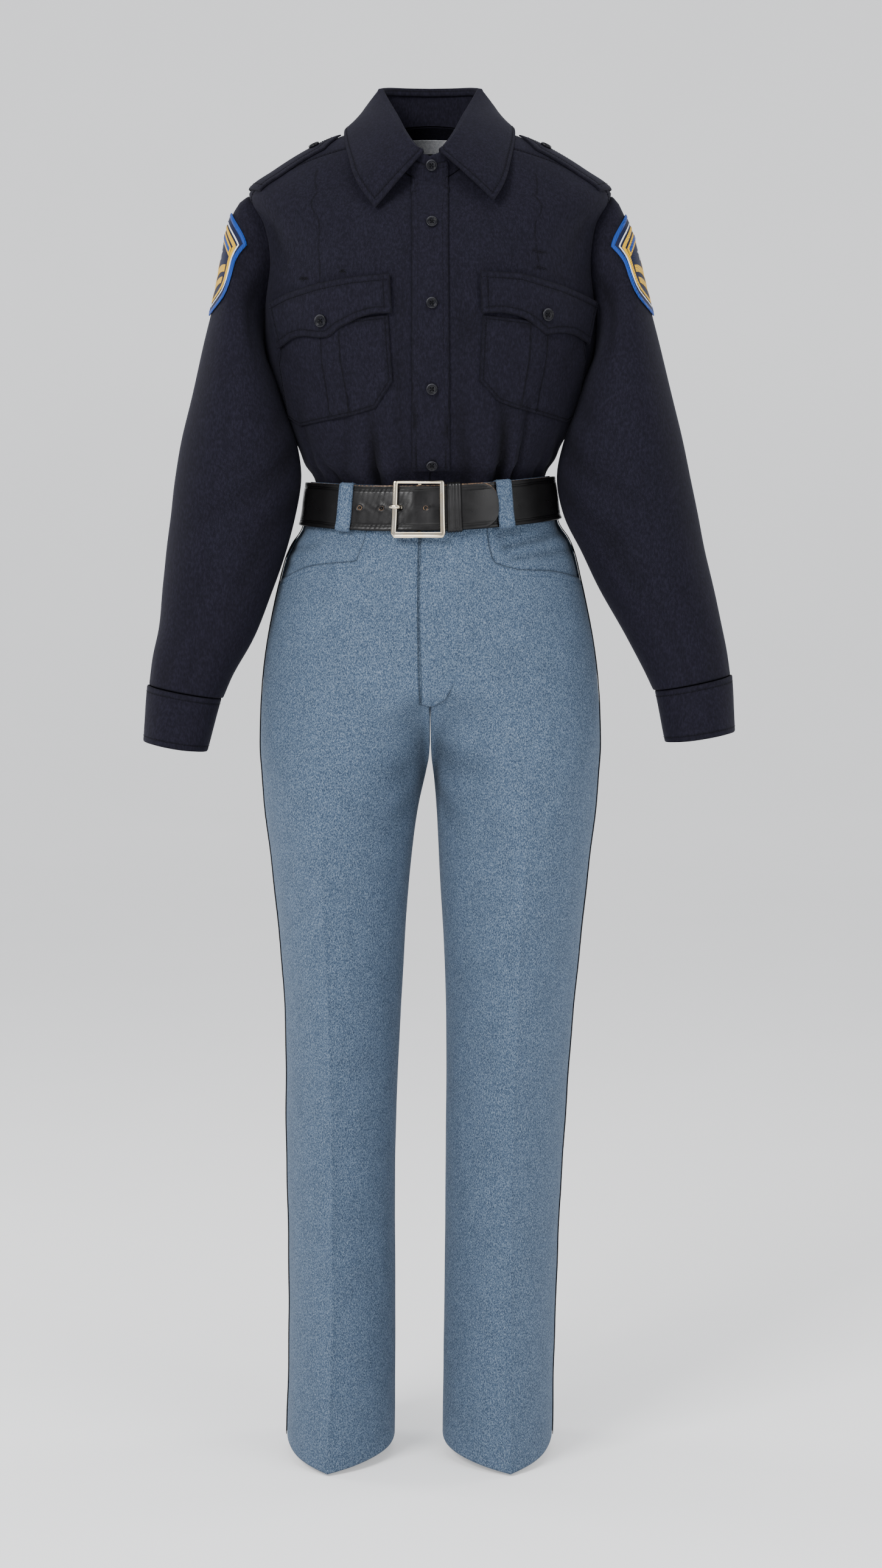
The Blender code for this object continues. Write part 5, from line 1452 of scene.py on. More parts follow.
    def flat_size(self) -> tuple[float, float]:
        """The piece's longest runs both ways over its surface, measured in small cells."""
        outline = np.array(self.outline)
        low, count = outline.min(axis=0), 60
        cell = (outline.max(axis=0) - low) / count
        a, t = np.meshgrid(*(start + gap * (np.arange(count) + 0.5)
                             for start, gap in zip(low, cell)), indexing="ij")
        within = inside(np.stack((a.ravel(), t.ravel()), axis=1), outline).reshape(a.shape)
        place, (half_a, half_t) = self.surface.point, cell / 2
        across = np.linalg.norm(place(a + half_a, t) - place(a - half_a, t), axis=-1) * within
        along = np.linalg.norm(place(a, t + half_t) - place(a, t - half_t), axis=-1) * within
        return float(across.sum(axis=0).max()), float(along.sum(axis=1).max())

    def declare(self, piece: bpy.types.Object, held: Held, on: Sequence[str] = ()) -> None:
        """Args:
            piece: The built piece; not used.
            held: How it is held; not used.
            on: What it lies on or hangs from.
        """
        sides = self.flat_size()
        grow = max(1.0, math.sqrt(self.side_area / (sides[0] * sides[1])))
        width, length = (round(max(side * grow, 10.5 * MM), 5) for side in sides)
        cut = min(max(self.side_area, 0.31 * width * length), width * length)
        list(on)
        LOG.info("%s: cut %.0f x %.0f mm", self.name, width * 1000, length * 1000)


@dataclass
class Tube:
    """A cloth wall that goes right round a surface, open at both ends."""

    name: str
    surface: Surface
    turn: float
    columns: int
    stations: Sequence[float]
    low: float = -CLOTH
    high: float = 0.0
    roll: float = 0.5 * MM
    rows: Sequence[float] = ()
    rise: Optional[Lift] = None
    # Painted shade along both ends.
    edge_shade: float = 0.6
    side_area: float = field(default=0.0, init=False)

    def build(self, finish: Finish) -> bpy.types.Object:
        """Makes the piece.

        Args:
            finish: What it is made of.

        Returns:
            The new object.
        """
        t = np.array(sorted(self.stations))
        away = np.minimum(t - t[0], t[-1] - t)
        fall = self.roll * (1 - np.sqrt(np.clip(away / (1.6 * MM), 0, 1)))
        for row in self.rows:
            fall = fall + 0.3 * MM * np.exp(-((t - row) / (0.8 * MM)) ** 2)
        around = np.linspace(0, self.turn, self.columns, endpoint=False)
        grid_t, grid_a = np.meshgrid(t, around, indexing="ij")
        extra = self.rise(grid_a, grid_t) if self.rise else np.zeros_like(grid_a)
        outer = self.surface.lifted(grid_a, grid_t, self.high + extra - fall[:, None])
        inner = self.surface.lifted(grid_a, grid_t, self.low + 0 * grid_a)
        points = np.vstack((outer.reshape(-1, 3), inner.reshape(-1, 3)))
        uv = np.stack((grid_a.ravel(), grid_t.ravel()), axis=1)
        total, count, columns = grid_a.size, len(t), self.columns
        faces = []
        for row in range(count):
            for column in range(columns):
                here = row * columns + column
                after = row * columns + (column + 1) % columns
                if row < count - 1:
                    ring = (here, after, after + columns, here + columns)
                    faces += [ring, tuple(i + total for i in ring[::-1])]
                if row == 0:
                    faces.append((here, here + total, after + total, after))
                if row == count - 1:
                    faces.append((after, after + total, here + total, here))
        # Painted shade at both ends, along stitched rows and in fold troughs.
        dark = self.edge_shade * np.exp(-(away / (0.9 * MM)) ** 2)
        for row in self.rows:
            dark = np.maximum(dark, 0.75 * np.exp(-((t - row) / (0.65 * MM)) ** 2))
        dark = np.maximum(dark[:, None], self.surface.shade(grid_a, grid_t)).ravel()
        marks = np.concatenate((dark, np.zeros_like(dark)))
        piece = mesh_piece(self.name, points, faces, finish, np.vstack((uv, uv)), marks=marks)
        self.side_area = sum(face.area for face in piece.data.polygons) / 2
        return piece

    def seam_path(self, t: float, lift: float = 0.12 * MM) -> np.ndarray:
        """Points of a row of stitches right round at the length t."""
        around = np.linspace(0, self.turn, self.columns + 1)
        return self.surface.lifted(around, np.full_like(around, t), self.high + lift + 0 * around)

    def declare(self, piece: bpy.types.Object, held: Held, on: Sequence[str] = ()) -> None:
        """Args:
            piece: The built piece; not used.
            held: How it is held; not used.
            on: What it lies on or hangs from.
        """
        length = max(self.stations) - min(self.stations)
        width = self.side_area / length
        list(on)
        LOG.info("%s: cut %.0f x %.0f mm", self.name, width * 1000, length * 1000)


def stations_between(start: float, end: float, step: float, extra: Sequence[float] = ()):
    """Lengths from start to end, closer together near both ends and at the extra ones."""
    middle = np.linspace(start, end, max(3, round((end - start) / step)))
    near = [start + 0.5 * MM, start + 1.6 * MM, end - 0.5 * MM, end - 1.6 * MM]
    pressed = [e + d for e in extra for d in (-0.9 * MM, 0.0, 0.9 * MM)]
    whole = sorted(set(np.round(np.concatenate((middle, near, pressed)), 6)))
    return [s for s in whole if start <= s <= end]


class StitchRows:
    """Rows of stitches along paths, set out by Geometry Nodes."""

    def __init__(self, name: str, finish: Finish, spacing: float = 3.0 * MM,
                 length: float = 2.3 * MM, width: float = 0.55 * MM) -> None:
        """Takes the stitches' sizes.

        Args:
            name: The piece's name.
            finish: The thread.
            spacing: From one stitch to the next.
            length: Of one stitch.
            width: Of the thread.
        """
        self.name, self.finish = name, finish
        self.sizes = {"Spacing": spacing, "Stitch Length": length, "Thread Width": width}
        self.paths: list[np.ndarray] = []

    def add(self, path: np.ndarray) -> None:
        """Adds a row along a path's points."""
        self.paths.append(path)

    def tree(self) -> bpy.types.NodeTree:
        """Builds the tree that lays one rounded stitch at each step along the paths."""
        tree = bpy.data.node_groups.new(f"{self.name}_tree", "GeometryNodeTree")
        face = tree.interface
        face.new_socket("Geometry", in_out="INPUT", socket_type="NodeSocketGeometry")
        for label in self.sizes:
            face.new_socket(label, in_out="INPUT", socket_type="NodeSocketFloat")
        face.new_socket("Thread", in_out="INPUT", socket_type="NodeSocketMaterial")
        face.new_socket("Geometry", in_out="OUTPUT", socket_type="NodeSocketGeometry")
        new, link = tree.nodes.new, tree.links.new
        source, target = new("NodeGroupInput"), new("NodeGroupOutput")
        curve = new("GeometryNodeMeshToCurve")
        steps = new("GeometryNodeCurveToPoints")
        steps.mode = "LENGTH"
        stitch = new("GeometryNodeMeshUVSphere")
        stitch.inputs["Segments"].default_value = 6
        stitch.inputs["Rings"].default_value = 4
        stitch.inputs["Radius"].default_value = 0.5
        size = new("ShaderNodeCombineXYZ")
        lay = new("GeometryNodeInstanceOnPoints")
        real = new("GeometryNodeRealizeInstances")
        dress = new("GeometryNodeSetMaterial")
        link(source.outputs["Geometry"], curve.inputs["Mesh"])
        link(curve.outputs["Curve"], steps.inputs["Curve"])
        link(source.outputs["Spacing"], steps.inputs["Length"])
        link(source.outputs["Thread Width"], size.inputs["X"])
        link(source.outputs["Thread Width"], size.inputs["Y"])
        link(source.outputs["Stitch Length"], size.inputs["Z"])
        link(steps.outputs["Points"], lay.inputs["Points"])
        link(stitch.outputs["Mesh"], lay.inputs["Instance"])
        link(steps.outputs["Rotation"], lay.inputs["Rotation"])
        link(size.outputs["Vector"], lay.inputs["Scale"])
        link(lay.outputs["Instances"], real.inputs["Geometry"])
        link(real.outputs["Geometry"], dress.inputs["Geometry"])
        link(source.outputs["Thread"], dress.inputs["Material"])
        link(dress.outputs["Geometry"], target.inputs["Geometry"])
        return tree

    def build(self) -> bpy.types.Object:
        """Makes all rows one plain mesh piece."""
        points, edges = [], []
        for path in self.paths:
            start = len(points)
            points += path.tolist()
            edges += [(start + i, start + i + 1) for i in range(len(path) - 1)]
        mesh = bpy.data.meshes.new(f"{self.name}_paths")
        mesh.from_pydata(points, edges, [])
        carrier = bpy.data.objects.new(f"{self.name}_paths", mesh)
        bpy.context.scene.collection.objects.link(carrier)
        tree = self.tree()
        modifier = carrier.modifiers.new("stitches", "NODES")
        modifier.node_group = tree
        values = {**self.sizes, "Thread": self.finish.material()}
        for item in tree.interface.items_tree:
            if item.in_out == "INPUT" and item.name in values:
                modifier[item.identifier] = values[item.name]
        evaluated = carrier.evaluated_get(bpy.context.evaluated_depsgraph_get())
        plain = bpy.data.meshes.new_from_object(evaluated)
        plain.name = self.name
        bpy.data.objects.remove(carrier, do_unlink=True)
        plain.shade_smooth()
        piece = bpy.data.objects.new(self.name, plain)
        bpy.context.scene.collection.objects.link(piece)
        return wear(piece, self.finish)


def wear(piece: bpy.types.Object, finish: Finish, *nodes: str) -> bpy.types.Object:
    """Lets a piece move with the uniform and stand for its plain solids.

    Args:
        piece: The finished piece.
        finish: What it is made of; not used.
        nodes: The solids that it replaces.

    Returns:
        The piece.
    """
    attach(piece, "root")
    if nodes:
        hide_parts(*nodes)
    LOG.info("%s: %d faces", piece.name, len(piece.data.polygons))
    return piece


def front_outline(torso: TorsoSurface, outline: Sequence[Pair], step: float) -> list[Pair]:
    """An outline drawn in front view, in millimetres, as lengths on the torso."""
    points = np.array(spaced([(x * MM, z * MM) for x, z in outline], step)[0])
    a, t = torso.places(points[:, 0], points[:, 1], False)
    turn = 4 * SIDE
    a = np.where(a > 2 * SIDE, a - turn, a)
    return [(float(u), float(v)) for u, v in zip(a, t)]


def armhole_run(torso: TorsoSurface, side: int, first: int, last: int) -> list[Pair]:
    """Seam points of an armhole from one of its steps to another."""
    order = np.arange(first, last + 1) if first < last else np.arange(first, last - 1, -1)
    a, t = armhole_lengths(torso, order * 2 * math.pi / ARMHOLE_STEPS, side)
    return [(float(u), float(v)) for u, v in zip(a, t)]


def yoke_seam(torso: TorsoSurface) -> list[Pair]:
    """Points of the yoke's front seam, from the neckline to the armhole on the wearer's left."""
    start = np.array((NECK_SEAM, torso.top))
    end = np.array(armhole_run(torso, 1, YOKE_FRONT_STEP, YOKE_FRONT_STEP - 1)[0])
    return [tuple(start + (end - start) * share) for share in np.linspace(0, 1, 6)]


def sweep(
    path: np.ndarray, side: np.ndarray, up: np.ndarray, section: Sequence[Pair], closed: bool
) -> tuple[np.ndarray, list]:
    """A bar along a path.

    Args:
        path: The bar's middle points.
        side: The section's first direction at each point.
        up: Its second direction at each point.
        section: The ring of its offsets along both.
        closed: Whether the path joins its own start.

    Returns:
        Points and faces.
    """
    ring = np.array(section)
    points = path[:, None] + side[:, None] * ring[:, :1] + up[:, None] * ring[:, 1:]
    count, total = len(ring), len(path)
    faces = []
    for row in range(total if closed else total - 1):
        here, there = row * count, (row + 1) % total * count
        for i in range(count):
            after = (i + 1) % count
            faces.append((here + i, here + after, there + after, there + i))
    if not closed:
        faces.append(tuple(range(count)))
        faces.append(tuple(range((total - 1) * count, total * count))[::-1])
    return points.reshape(-1, 3), faces


def rounded_section(wide: float, high: float, power: float = 2.6, count: int = 12) -> list[Pair]:
    """A rounded ring, wide across and high up, about its own middle."""
    turns = np.linspace(0, 2 * math.pi, count, endpoint=False)
    factor = ring_factor(np.sin(turns), np.cos(turns), power)
    return [(float(wide / 2 * math.cos(u) * f), float(high / 2 * math.sin(u) * f))
            for u, f in zip(turns, factor)]


def edging(
    surface: Surface, outline: Sequence[Pair], lift: float, wide: float, high: float
) -> tuple[np.ndarray, list]:
    """A raised cord along a closed outline on a surface.

    Args:
        surface: What it lies on.
        outline: Its path, as lengths.
        lift: Height of its middle over the surface.
        wide: Its width.
        high: Its height.

    Returns:
        Points and faces.
    """
    places = np.array(spaced(outline, 2 * MM)[0])
    path = surface.lifted(places[:, 0], places[:, 1], lift + 0 * places[:, 0])
    up = surface.normal(places[:, 0], places[:, 1])
    along = unit(np.roll(path, -1, axis=0) - np.roll(path, 1, axis=0))
    return sweep(path, unit(np.cross(along, up)), up, rounded_section(wide, high, 2.0, 8), True)


@dataclass
class Made:
    """A built piece with what it is made of, what it stands for, how it is held and what it lies on.
    """

    piece: bpy.types.Object
    finish: Finish
    nodes: tuple[str, ...] = ()
    cloth: Optional[Cut | Tube] = None
    held: Held = Held.LAID
    on: tuple[str, ...] = ()


class Assembly:
    """Pieces that are built together and then dressed."""

    def __init__(self) -> None:
        """Starts without pieces."""
        self.made: list[Made] = []
        self.seams: list[StitchRows] = []

    def sew(
        self, cloth: Cut | Tube, finish: Finish, node: str, held: Held = Held.LAID, on: tuple = ()
    ) -> bpy.types.Object:
        """Builds a cloth piece and notes what it stands for.

        Args:
            cloth: The cut or tube.
            finish: What it is made of.
            node: The plain solid that it replaces.
            held: How it is held.
            on: Names of what it lies on or hangs from.

        Returns:
            The piece.
        """
        piece = cloth.build(finish)
        self.made.append(Made(piece, finish, (node,), cloth, held, on))
        return piece

    def add(self, name: str, shape: tuple[np.ndarray, list], finish: Finish, *nodes: str,
            marks: Optional[np.ndarray] = None) -> bpy.types.Object:
        """Makes a piece that isn't cloth from its points and faces."""
        piece = mesh_piece(name, shape[0], shape[1], finish, marks=marks)
        self.made.append(Made(piece, finish, nodes))
        return piece

    def build(self) -> None:
        """Makes the pieces."""
        raise NotImplementedError

    def dress(self) -> None:
        for made in self.made:
            wear(made.piece, made.finish, *made.nodes)
            if made.cloth:
                made.cloth.declare(made.piece, made.held, made.on)
        for rows in self.seams:
            rows.build()


@dataclass(frozen=True)
class ButtonShape:
    """A four-hole button with a raised rim."""

    size: float = 11.5 * MM
    thick: float = 2.6 * MM
    hole_place: float = 0.27
    hole_size: float = 0.105
    segments: int = 48

    def build(self, centre: np.ndarray, normal: np.ndarray) -> tuple[np.ndarray, list]:
        """The button's points and faces.

        Args:
            centre: Middle of its back.
            normal: The way it faces.

        Returns:
            Points and faces.
        """
        across = unit(np.cross(normal, np.array((0.0, 0.0, 1.0))))
        up = np.cross(across, normal)
        profile = (
            (0.80, 0.0), (0.95, 0.14), (1.0, 0.45), (0.985, 0.75), (0.92, 0.95), (0.85, 1.0),
            (0.77, 0.93), (0.71, 0.74), (0.64, 0.66), (0.55, 0.64), (0.46, 0.63), (0.40, 0.62),
            (0.34, 0.62), (0.27, 0.62), (0.20, 0.62), (0.14, 0.62), (0.07, 0.62),
        )
        points = [centre]
        for reach, height in profile:
            for i in range(self.segments):
                turn = i * 2 * math.pi / self.segments
                x, z = reach * math.cos(turn), reach * math.sin(turn)
                deep = height
                if reach < 0.6:
                    away = min(math.hypot(x - self.hole_place * sx, z - self.hole_place * sz)
                               for sx in (-0.75, 0.75) for sz in (-0.75, 0.75))
                    deep -= 0.42 * math.exp(-(away / self.hole_size) ** 4)
                points.append(centre + (across * x + up * z) * self.size / 2
                              + normal * self.thick * deep)
        points.append(centre + normal * self.thick * 0.62)
        count, last = self.segments, len(points) - 1
        faces = []
        for i in range(count):
            after = (i + 1) % count
            faces.append((0, 1 + after, 1 + i))
            for ring in range(len(profile) - 1):
                low, high = 1 + ring * count, 1 + (ring + 1) * count
                faces.append((low + i, low + after, high + after, high + i))
            top = 1 + (len(profile) - 1) * count
            faces.append((top + i, top + after, last))
        return np.array(points), faces

    def marks(self) -> np.ndarray:
        """Painted highlight for each point: on the rim, most on its upper side and a little on its
        lower side.
        """
        turns = np.arange(self.segments) * 2 * math.pi / self.segments
        edge = np.array([0, 0, 0, 0.25, 0.8, 1.0, 0.4] + [0.0] * 10)
        ring = np.clip(np.sin(turns + 0.5), 0, 1) ** 2 + 0.35 * np.clip(-np.sin(turns), 0, 1) ** 3
        return np.concatenate(([0.0], np.outer(edge, ring).ravel(), [0.0]))

    def thread(self, centre: np.ndarray, normal: np.ndarray) -> np.ndarray:
        """Ends of the thread's two crossing bars, as four points."""
        across = unit(np.cross(normal, np.array((0.0, 0.0, 1.0))))
        up = np.cross(across, normal)
        reach = self.size / 2 * self.hole_place * 0.75
        face = centre + normal * self.thick * 0.68
        return np.array([face + (across * sx + up * sz) * reach
                         for sx, sz in ((-1, -1), (1, 1), (-1, 1), (1, -1))])


def put_button(group: Assembly, threads: StitchRows, node: str, surface: Surface, place: Pair,
               lift: float, shape: ButtonShape = ButtonShape()) -> None:
    """Lays a button on a surface and sews it on with a cross of thread.

    Args:
        group: The assembly that it belongs to.
        threads: The rows that its thread joins.
        node: The plain solid that it replaces.
        surface: What it lies on.
        place: Its lengths there.
        lift: How far over the surface its back is.
        shape: Its sizes.
    """
    a, t = np.array([place[0]]), np.array([place[1]])
    centre, normal = surface.lifted(a, t, lift)[0], surface.normal(a, t)[0]
    group.add(f"{node}_shape", shape.build(centre, normal), RESIN, node, marks=shape.marks())
    ends = shape.thread(centre, normal)
    threads.add(ends[:2])
    threads.add(ends[2:])


def button_threads(name: str) -> StitchRows:
    """Rows of short stitches that fill a button's cross."""
    return StitchRows(name, BUTTON_THREAD, 0.55 * MM, 1.3 * MM, 0.8 * MM)


class ShirtBody(Assembly):
    """The fronts, back, yoke and front band, with their four buttons."""

    band_width = 38 * MM
    band_low, band_high = 0.75 * MM, 2.35 * MM
    band_z = (-43, -323)
    band_end = ((43, -1.5), (45.5, 4), (47, 9), (47.5, 13), (45, 17), (20, 18.5))
    buttons = ((-83, 0.0), (-161, 0.3), (-243, 0.9), (-316, 0.0))
    eyelets = ((-124, -135), (-85, -129))
    creases = {
        "right": ((-111, -27), (-110.5, -50), (-110, -75), (-109, -105), (-107.5, -139)),
        "left": ((104, -33), (103.5, -55), (103.5, -80), (104, -104), (108, -127)),
    }
    slits = (((101, -108.5), (110, -110)), ((105, -124), (113, -126)))

    def __init__(self, torso: TorsoSurface) -> None:
        """Takes the surface that it is laid over."""
        super().__init__()
        self.torso = torso

    def build(self) -> None:
        """Makes the panels, the band, the buttons and the small openings in the fronts."""
        torso, turn = self.torso, 4 * SIDE
        half, underarm = ARMHOLE_STEPS // 2, torso.side_place(UNDERARM_Z)
        for name, side in (("left", 1), ("right", -1)):
            outline = [(0.0, 0.0), (SIDE * side, 0.0), (SIDE * side, underarm)]
            outline += armhole_run(torso, side, half, YOKE_FRONT_STEP + 1)[1:]
            outline += [(a * side, t) for a, t in yoke_seam(torso)[::-1]]
            outline += [(0.0, torso.top)]
            # Painted shade: dark spots at the eyelets and slits, and dark lines along the chest
            # creases.
            marks = self.eyelets if name == "right" else ()
            marks = [((x - 0.8, z), (x + 0.8, z)) for x, z in marks]
            marks += self.slits if name == "left" else ()
            share = (2.5,) if name == "right" else ()
            marks = [tuple(torso.seen(x * MM, z * MM) for x, z in ends) + share
                     for ends in marks]
            crease = [torso.seen(x * MM, z * MM) for x, z in self.creases[name]]
            marks += [(start, end, 0.75) for start, end in zip(crease, crease[1:])]
            front = Cut(f"front_{name}", torso, outline, 5 * MM, lines=marks)
            self.sew(front, SHIRT, f"shirt_front_{name}", Held.HUNG)
        yoke = yoke_seam(torso)
        yoke += armhole_run(torso, 1, YOKE_FRONT_STEP, 0)[1:]
        yoke += armhole_run(torso, 1, ARMHOLE_STEPS, YOKE_BACK_STEP)[1:]
        yoke += [(turn + a, t) for a, t in armhole_run(torso, -1, YOKE_BACK_STEP, ARMHOLE_STEPS)]
        yoke += [(turn + a, t) for a, t in armhole_run(torso, -1, 0, YOKE_FRONT_STEP)[1:-1]]
        yoke += [(turn - a, t) for a, t in yoke_seam(torso)[::-1]]
        self.sew(Cut("yoke", torso, yoke, 6 * MM, rows=(2.5 * MM,)), SHIRT, "shirt_yoke")
        back = [(SIDE, 0.0), (3 * SIDE, 0.0), (3 * SIDE, underarm)]
        back += [(turn + a, t) for a, t in armhole_run(torso, -1, half, YOKE_BACK_STEP)[1:]]
        back += armhole_run(torso, 1, YOKE_BACK_STEP, half)
        self.sew(Cut("back", torso, back, 6 * MM), SHIRT, "shirt_back", Held.HUNG)
        self.build_band()

    def press_band(self, a: np.ndarray, t: np.ndarray) -> np.ndarray:
        """The front band, pressed in along its two rows of stitches."""
        x = self.torso.point(a, t)[:, 0] - 1 * MM
        return -0.3 * MM * np.exp(-((np.abs(x) - 13.5 * MM) / (0.7 * MM)) ** 2)

    def build_band(self) -> None:
        """Makes the front band with its buttons, and the eyelets and slits beside it."""
        torso, half = self.torso, self.band_width / 2 / MM
        top, bottom = self.band_z
        corners = [(1 - half, bottom), (1 + half, bottom), (half - 1, top), (1 - half, top)]
        outline = front_outline(torso, corners, 12 * MM)
        rim = [i for i, (_, t) in enumerate(outline) if t > torso.top - 16 * MM]
        upper = [(a * MM, torso.top + over * MM) for a, over in self.band_end]
        upper += [(-a, t) for a, t in reversed(upper)]
        outline[min(rim):max(rim) + 1] = [outline[min(rim)]] + upper + [outline[max(rim)]]
        # Painted shade along the band's two pressed-in stitch lines, and along its edges.
        sewn = [(torso.seen(x * MM, (top - 2) * MM), torso.seen(x * MM, bottom * MM))
                for x in (6.5 - half, half - 4.5)]
        band = Cut("front_band", FrontBandSurface(torso), outline, 5 * MM, self.band_low,
                   self.band_high, lines=sewn, rise=self.press_band, edge_shade=0.9,
                   roll=0.8 * MM)
        self.sew(band, SHIRT, "placket", on=("front_left", "front_right"))
        rows = StitchRows("body_stitches", SHIRT_THREAD)
        rows.add(band.seam_path(5.5 * MM))
        seam = np.array(spaced(yoke_seam(torso), 3 * MM)[0])
        keep = seam[: len(seam) // 2 + 1]
        for side in (1, -1):
            rows.add(torso.lifted(keep[:, 0] * side, keep[:, 1] + 2.5 * MM, 0.1 * MM))
        threads = button_threads("band_button_threads")
        for number, (z, seat) in enumerate(self.buttons, start=1):
            place = torso.seen(2 * MM, z * MM)
            put_button(self, threads, f"placket_button_{number}", torso, place,
                       2.4 * MM + seat * MM)
        marks = StitchRows("eyelet_stitches", SHIRT_THREAD, 0.5 * MM, 1.1 * MM, 0.8 * MM)
        for x, z in self.eyelets:
            a, t = torso.seen(x * MM, z * MM)
            turns = np.linspace(0, 2 * math.pi, 19)
            ring = torso.lifted(a + np.cos(turns) * 1.7 * MM, t + np.sin(turns) * 1.7 * MM, 0.1 * MM)
            marks.add(ring)
        for ends in self.slits:
            (a1, t1), (a2, t2) = (torso.seen(x * MM, z * MM) for x, z in ends)
            share = np.linspace(0, 1, 8)
            for shift in (-0.7 * MM, 0.7 * MM):
                marks.add(torso.lifted(a1 + (a2 - a1) * share, t1 + (t2 - t1) * share + shift,
                                       0.1 * MM))
        self.seams += [rows, threads, marks]


class Sleeves(Assembly):
    """Both sleeves with their cuffs, cuff buttons and shoulder patches."""

    patch_down, patch_turn = 14 * MM, 17
    patch_width, patch_height = 88 * MM, 62 * MM
    shrink = 0.62
    shield = (
        (0.0, 0.0), (0.5, 0.0), (1.0, 0.0), (1.0, 0.2), (1.0, 0.4), (0.965, 0.52), (0.90, 0.62),
        (0.80, 0.715), (0.66, 0.80), (0.48, 0.88), (0.26, 0.95), (0.0, 1.0),
    )
    star = 8.5 * MM

    def __init__(self, torso: TorsoSurface) -> None:
        """Takes the torso whose armholes they start from."""
        super().__init__()
        self.torso = torso

    def build(self) -> None:
        """Makes both sleeves and what is on them."""
        threads = button_threads("cuff_button_threads")
        rows = StitchRows("cuff_stitches", SHIRT_THREAD)
        turn = 2 * math.pi * SLEEVE_RADIUS
        for name, side in (("left", 1), ("right", -1)):
            arm = SleeveSurface(self.torso, side, SLEEVE_ROWS[name], True)
            stations = stations_between(0.3 * MM, arm.length - 0.3 * MM, 6.5 * MM)
            self.sew(Tube(f"arm_{name}", arm, turn, 84, stations, roll=0.35 * MM), SHIRT,
                     f"sleeve_{name}_front", Held.HUNG)
            self.made[-1].nodes += (f"sleeve_{name}_back",)
            cuff = SleeveSurface(self.torso, side, CUFF_ROWS[name], False)
            pressed = (5.5 * MM, cuff.length - 5.5 * MM)
            band = Tube(f"band_{name}", cuff, turn, 84,
                        stations_between(0.0, cuff.length, 7 * MM, pressed), -2.2 * MM,
                        rows=pressed)
            self.sew(band, SHIRT, f"cuff_{name}", Held.FOLDED)
            for place in pressed:
                rows.add(band.seam_path(place))
            put_button(self, threads, f"cuff_{name}_button", cuff,
                       (math.radians(250) * SLEEVE_RADIUS, cuff.length / 2), 0.5 * MM)
            self.build_patch(name, arm)
        self.seams += [threads, rows]

    def outline(self, arm: SleeveSurface, shrink: float) -> list[Pair]:
        """The shield's outline on a sleeve, shrunk by a distance."""
        middle = math.radians(self.patch_turn) * SLEEVE_RADIUS
        half = self.patch_width / 2
        right = [(middle + half * x, self.patch_down + self.patch_height * y)
                 for x, y in self.shield]
        whole = right + [(2 * middle - a, t) for a, t in right[-2:0:-1]]
        return [tuple(p) for p in inset(whole, shrink)] if shrink else whole

    def build_patch(self, name: str, arm: SleeveSurface) -> None:
        """Makes a shield with a thick border, a white line, a band, a star and two chevrons."""
        middle = math.radians(self.patch_turn) * SLEEVE_RADIUS
        top, half = self.patch_down, self.patch_width / 2
        base = Cut(f"badge_{name}", arm, self.outline(arm, 0.6 * MM), 3.5 * MM, 0.7 * MM,
                   1.7 * MM, roll=0.2 * MM)
        self.sew(base, NAVY_THREAD, f"patch_{name}", on=(f"arm_{name}",))
        edge = edging(arm, self.outline(arm, 1.7 * MM), 1.6 * MM, 4.2 * MM, 1.7 * MM)
        self.add(f"badge_{name}_border", edge, BORDER_THREAD)
        line = edging(arm, self.outline(arm, 6.0 * MM), 1.95 * MM, 1.5 * MM, 0.7 * MM)
        self.add(f"badge_{name}_line", line, WHITE_THREAD)
        frame_line = edging(arm, self.outline(arm, 9.0 * MM), 1.95 * MM, 3.4 * MM, 0.8 * MM)
        self.add(f"badge_{name}_frame", frame_line, GOLD_THREAD)
        shapes = {
            "band": ([(-0.73, 18.6), (0.73, 18.6), (0.73, 28), (-0.73, 28)], GOLD_THREAD),
            "chevron_1": ([(-0.66, 46), (0, 62), (0.66, 46), (0.66, 38), (0, 54), (-0.66, 38)],
                          GOLD_THREAD),
            "chevron_2": ([(-0.56, 60), (0, 75), (0.56, 60), (0.60, 52), (0, 67), (-0.60, 52)],
                          GOLD_THREAD),
            "bar": ([(-0.67, 21), (0.67, 21), (0.67, 25.5), (-0.67, 25.5)], BORDER_THREAD),
        }
        for word, (corners, finish) in shapes.items():
            lift = 0.5 * MM if word == "bar" else 0.0
            places = [(middle + half * x, top + y * MM * self.shrink) for x, y in corners]
            piece = Cut(f"badge_{name}_{word}", arm, places, 3 * MM, 1.75 * MM + lift,
                        2.2 * MM + lift, rings=(0.5 * MM,), roll=0.2 * MM).build(finish)
            self.made.append(Made(piece, finish))
        points = []
        for i in range(10):
            reach = self.star if i % 2 == 0 else self.star * 0.42
            turn = math.pi * (i / 5 + 0.5)
            points.append((middle + reach * math.cos(turn),
                           top + 37.5 * MM * self.shrink - reach * math.sin(turn) * 0.62))
        star = Cut(f"badge_{name}_star", arm, points, 3 * MM, 1.75 * MM, 2.3 * MM,
                   rings=(), roll=0.2 * MM)
        self.made.append(Made(star.build(WHITE_THREAD), WHITE_THREAD))


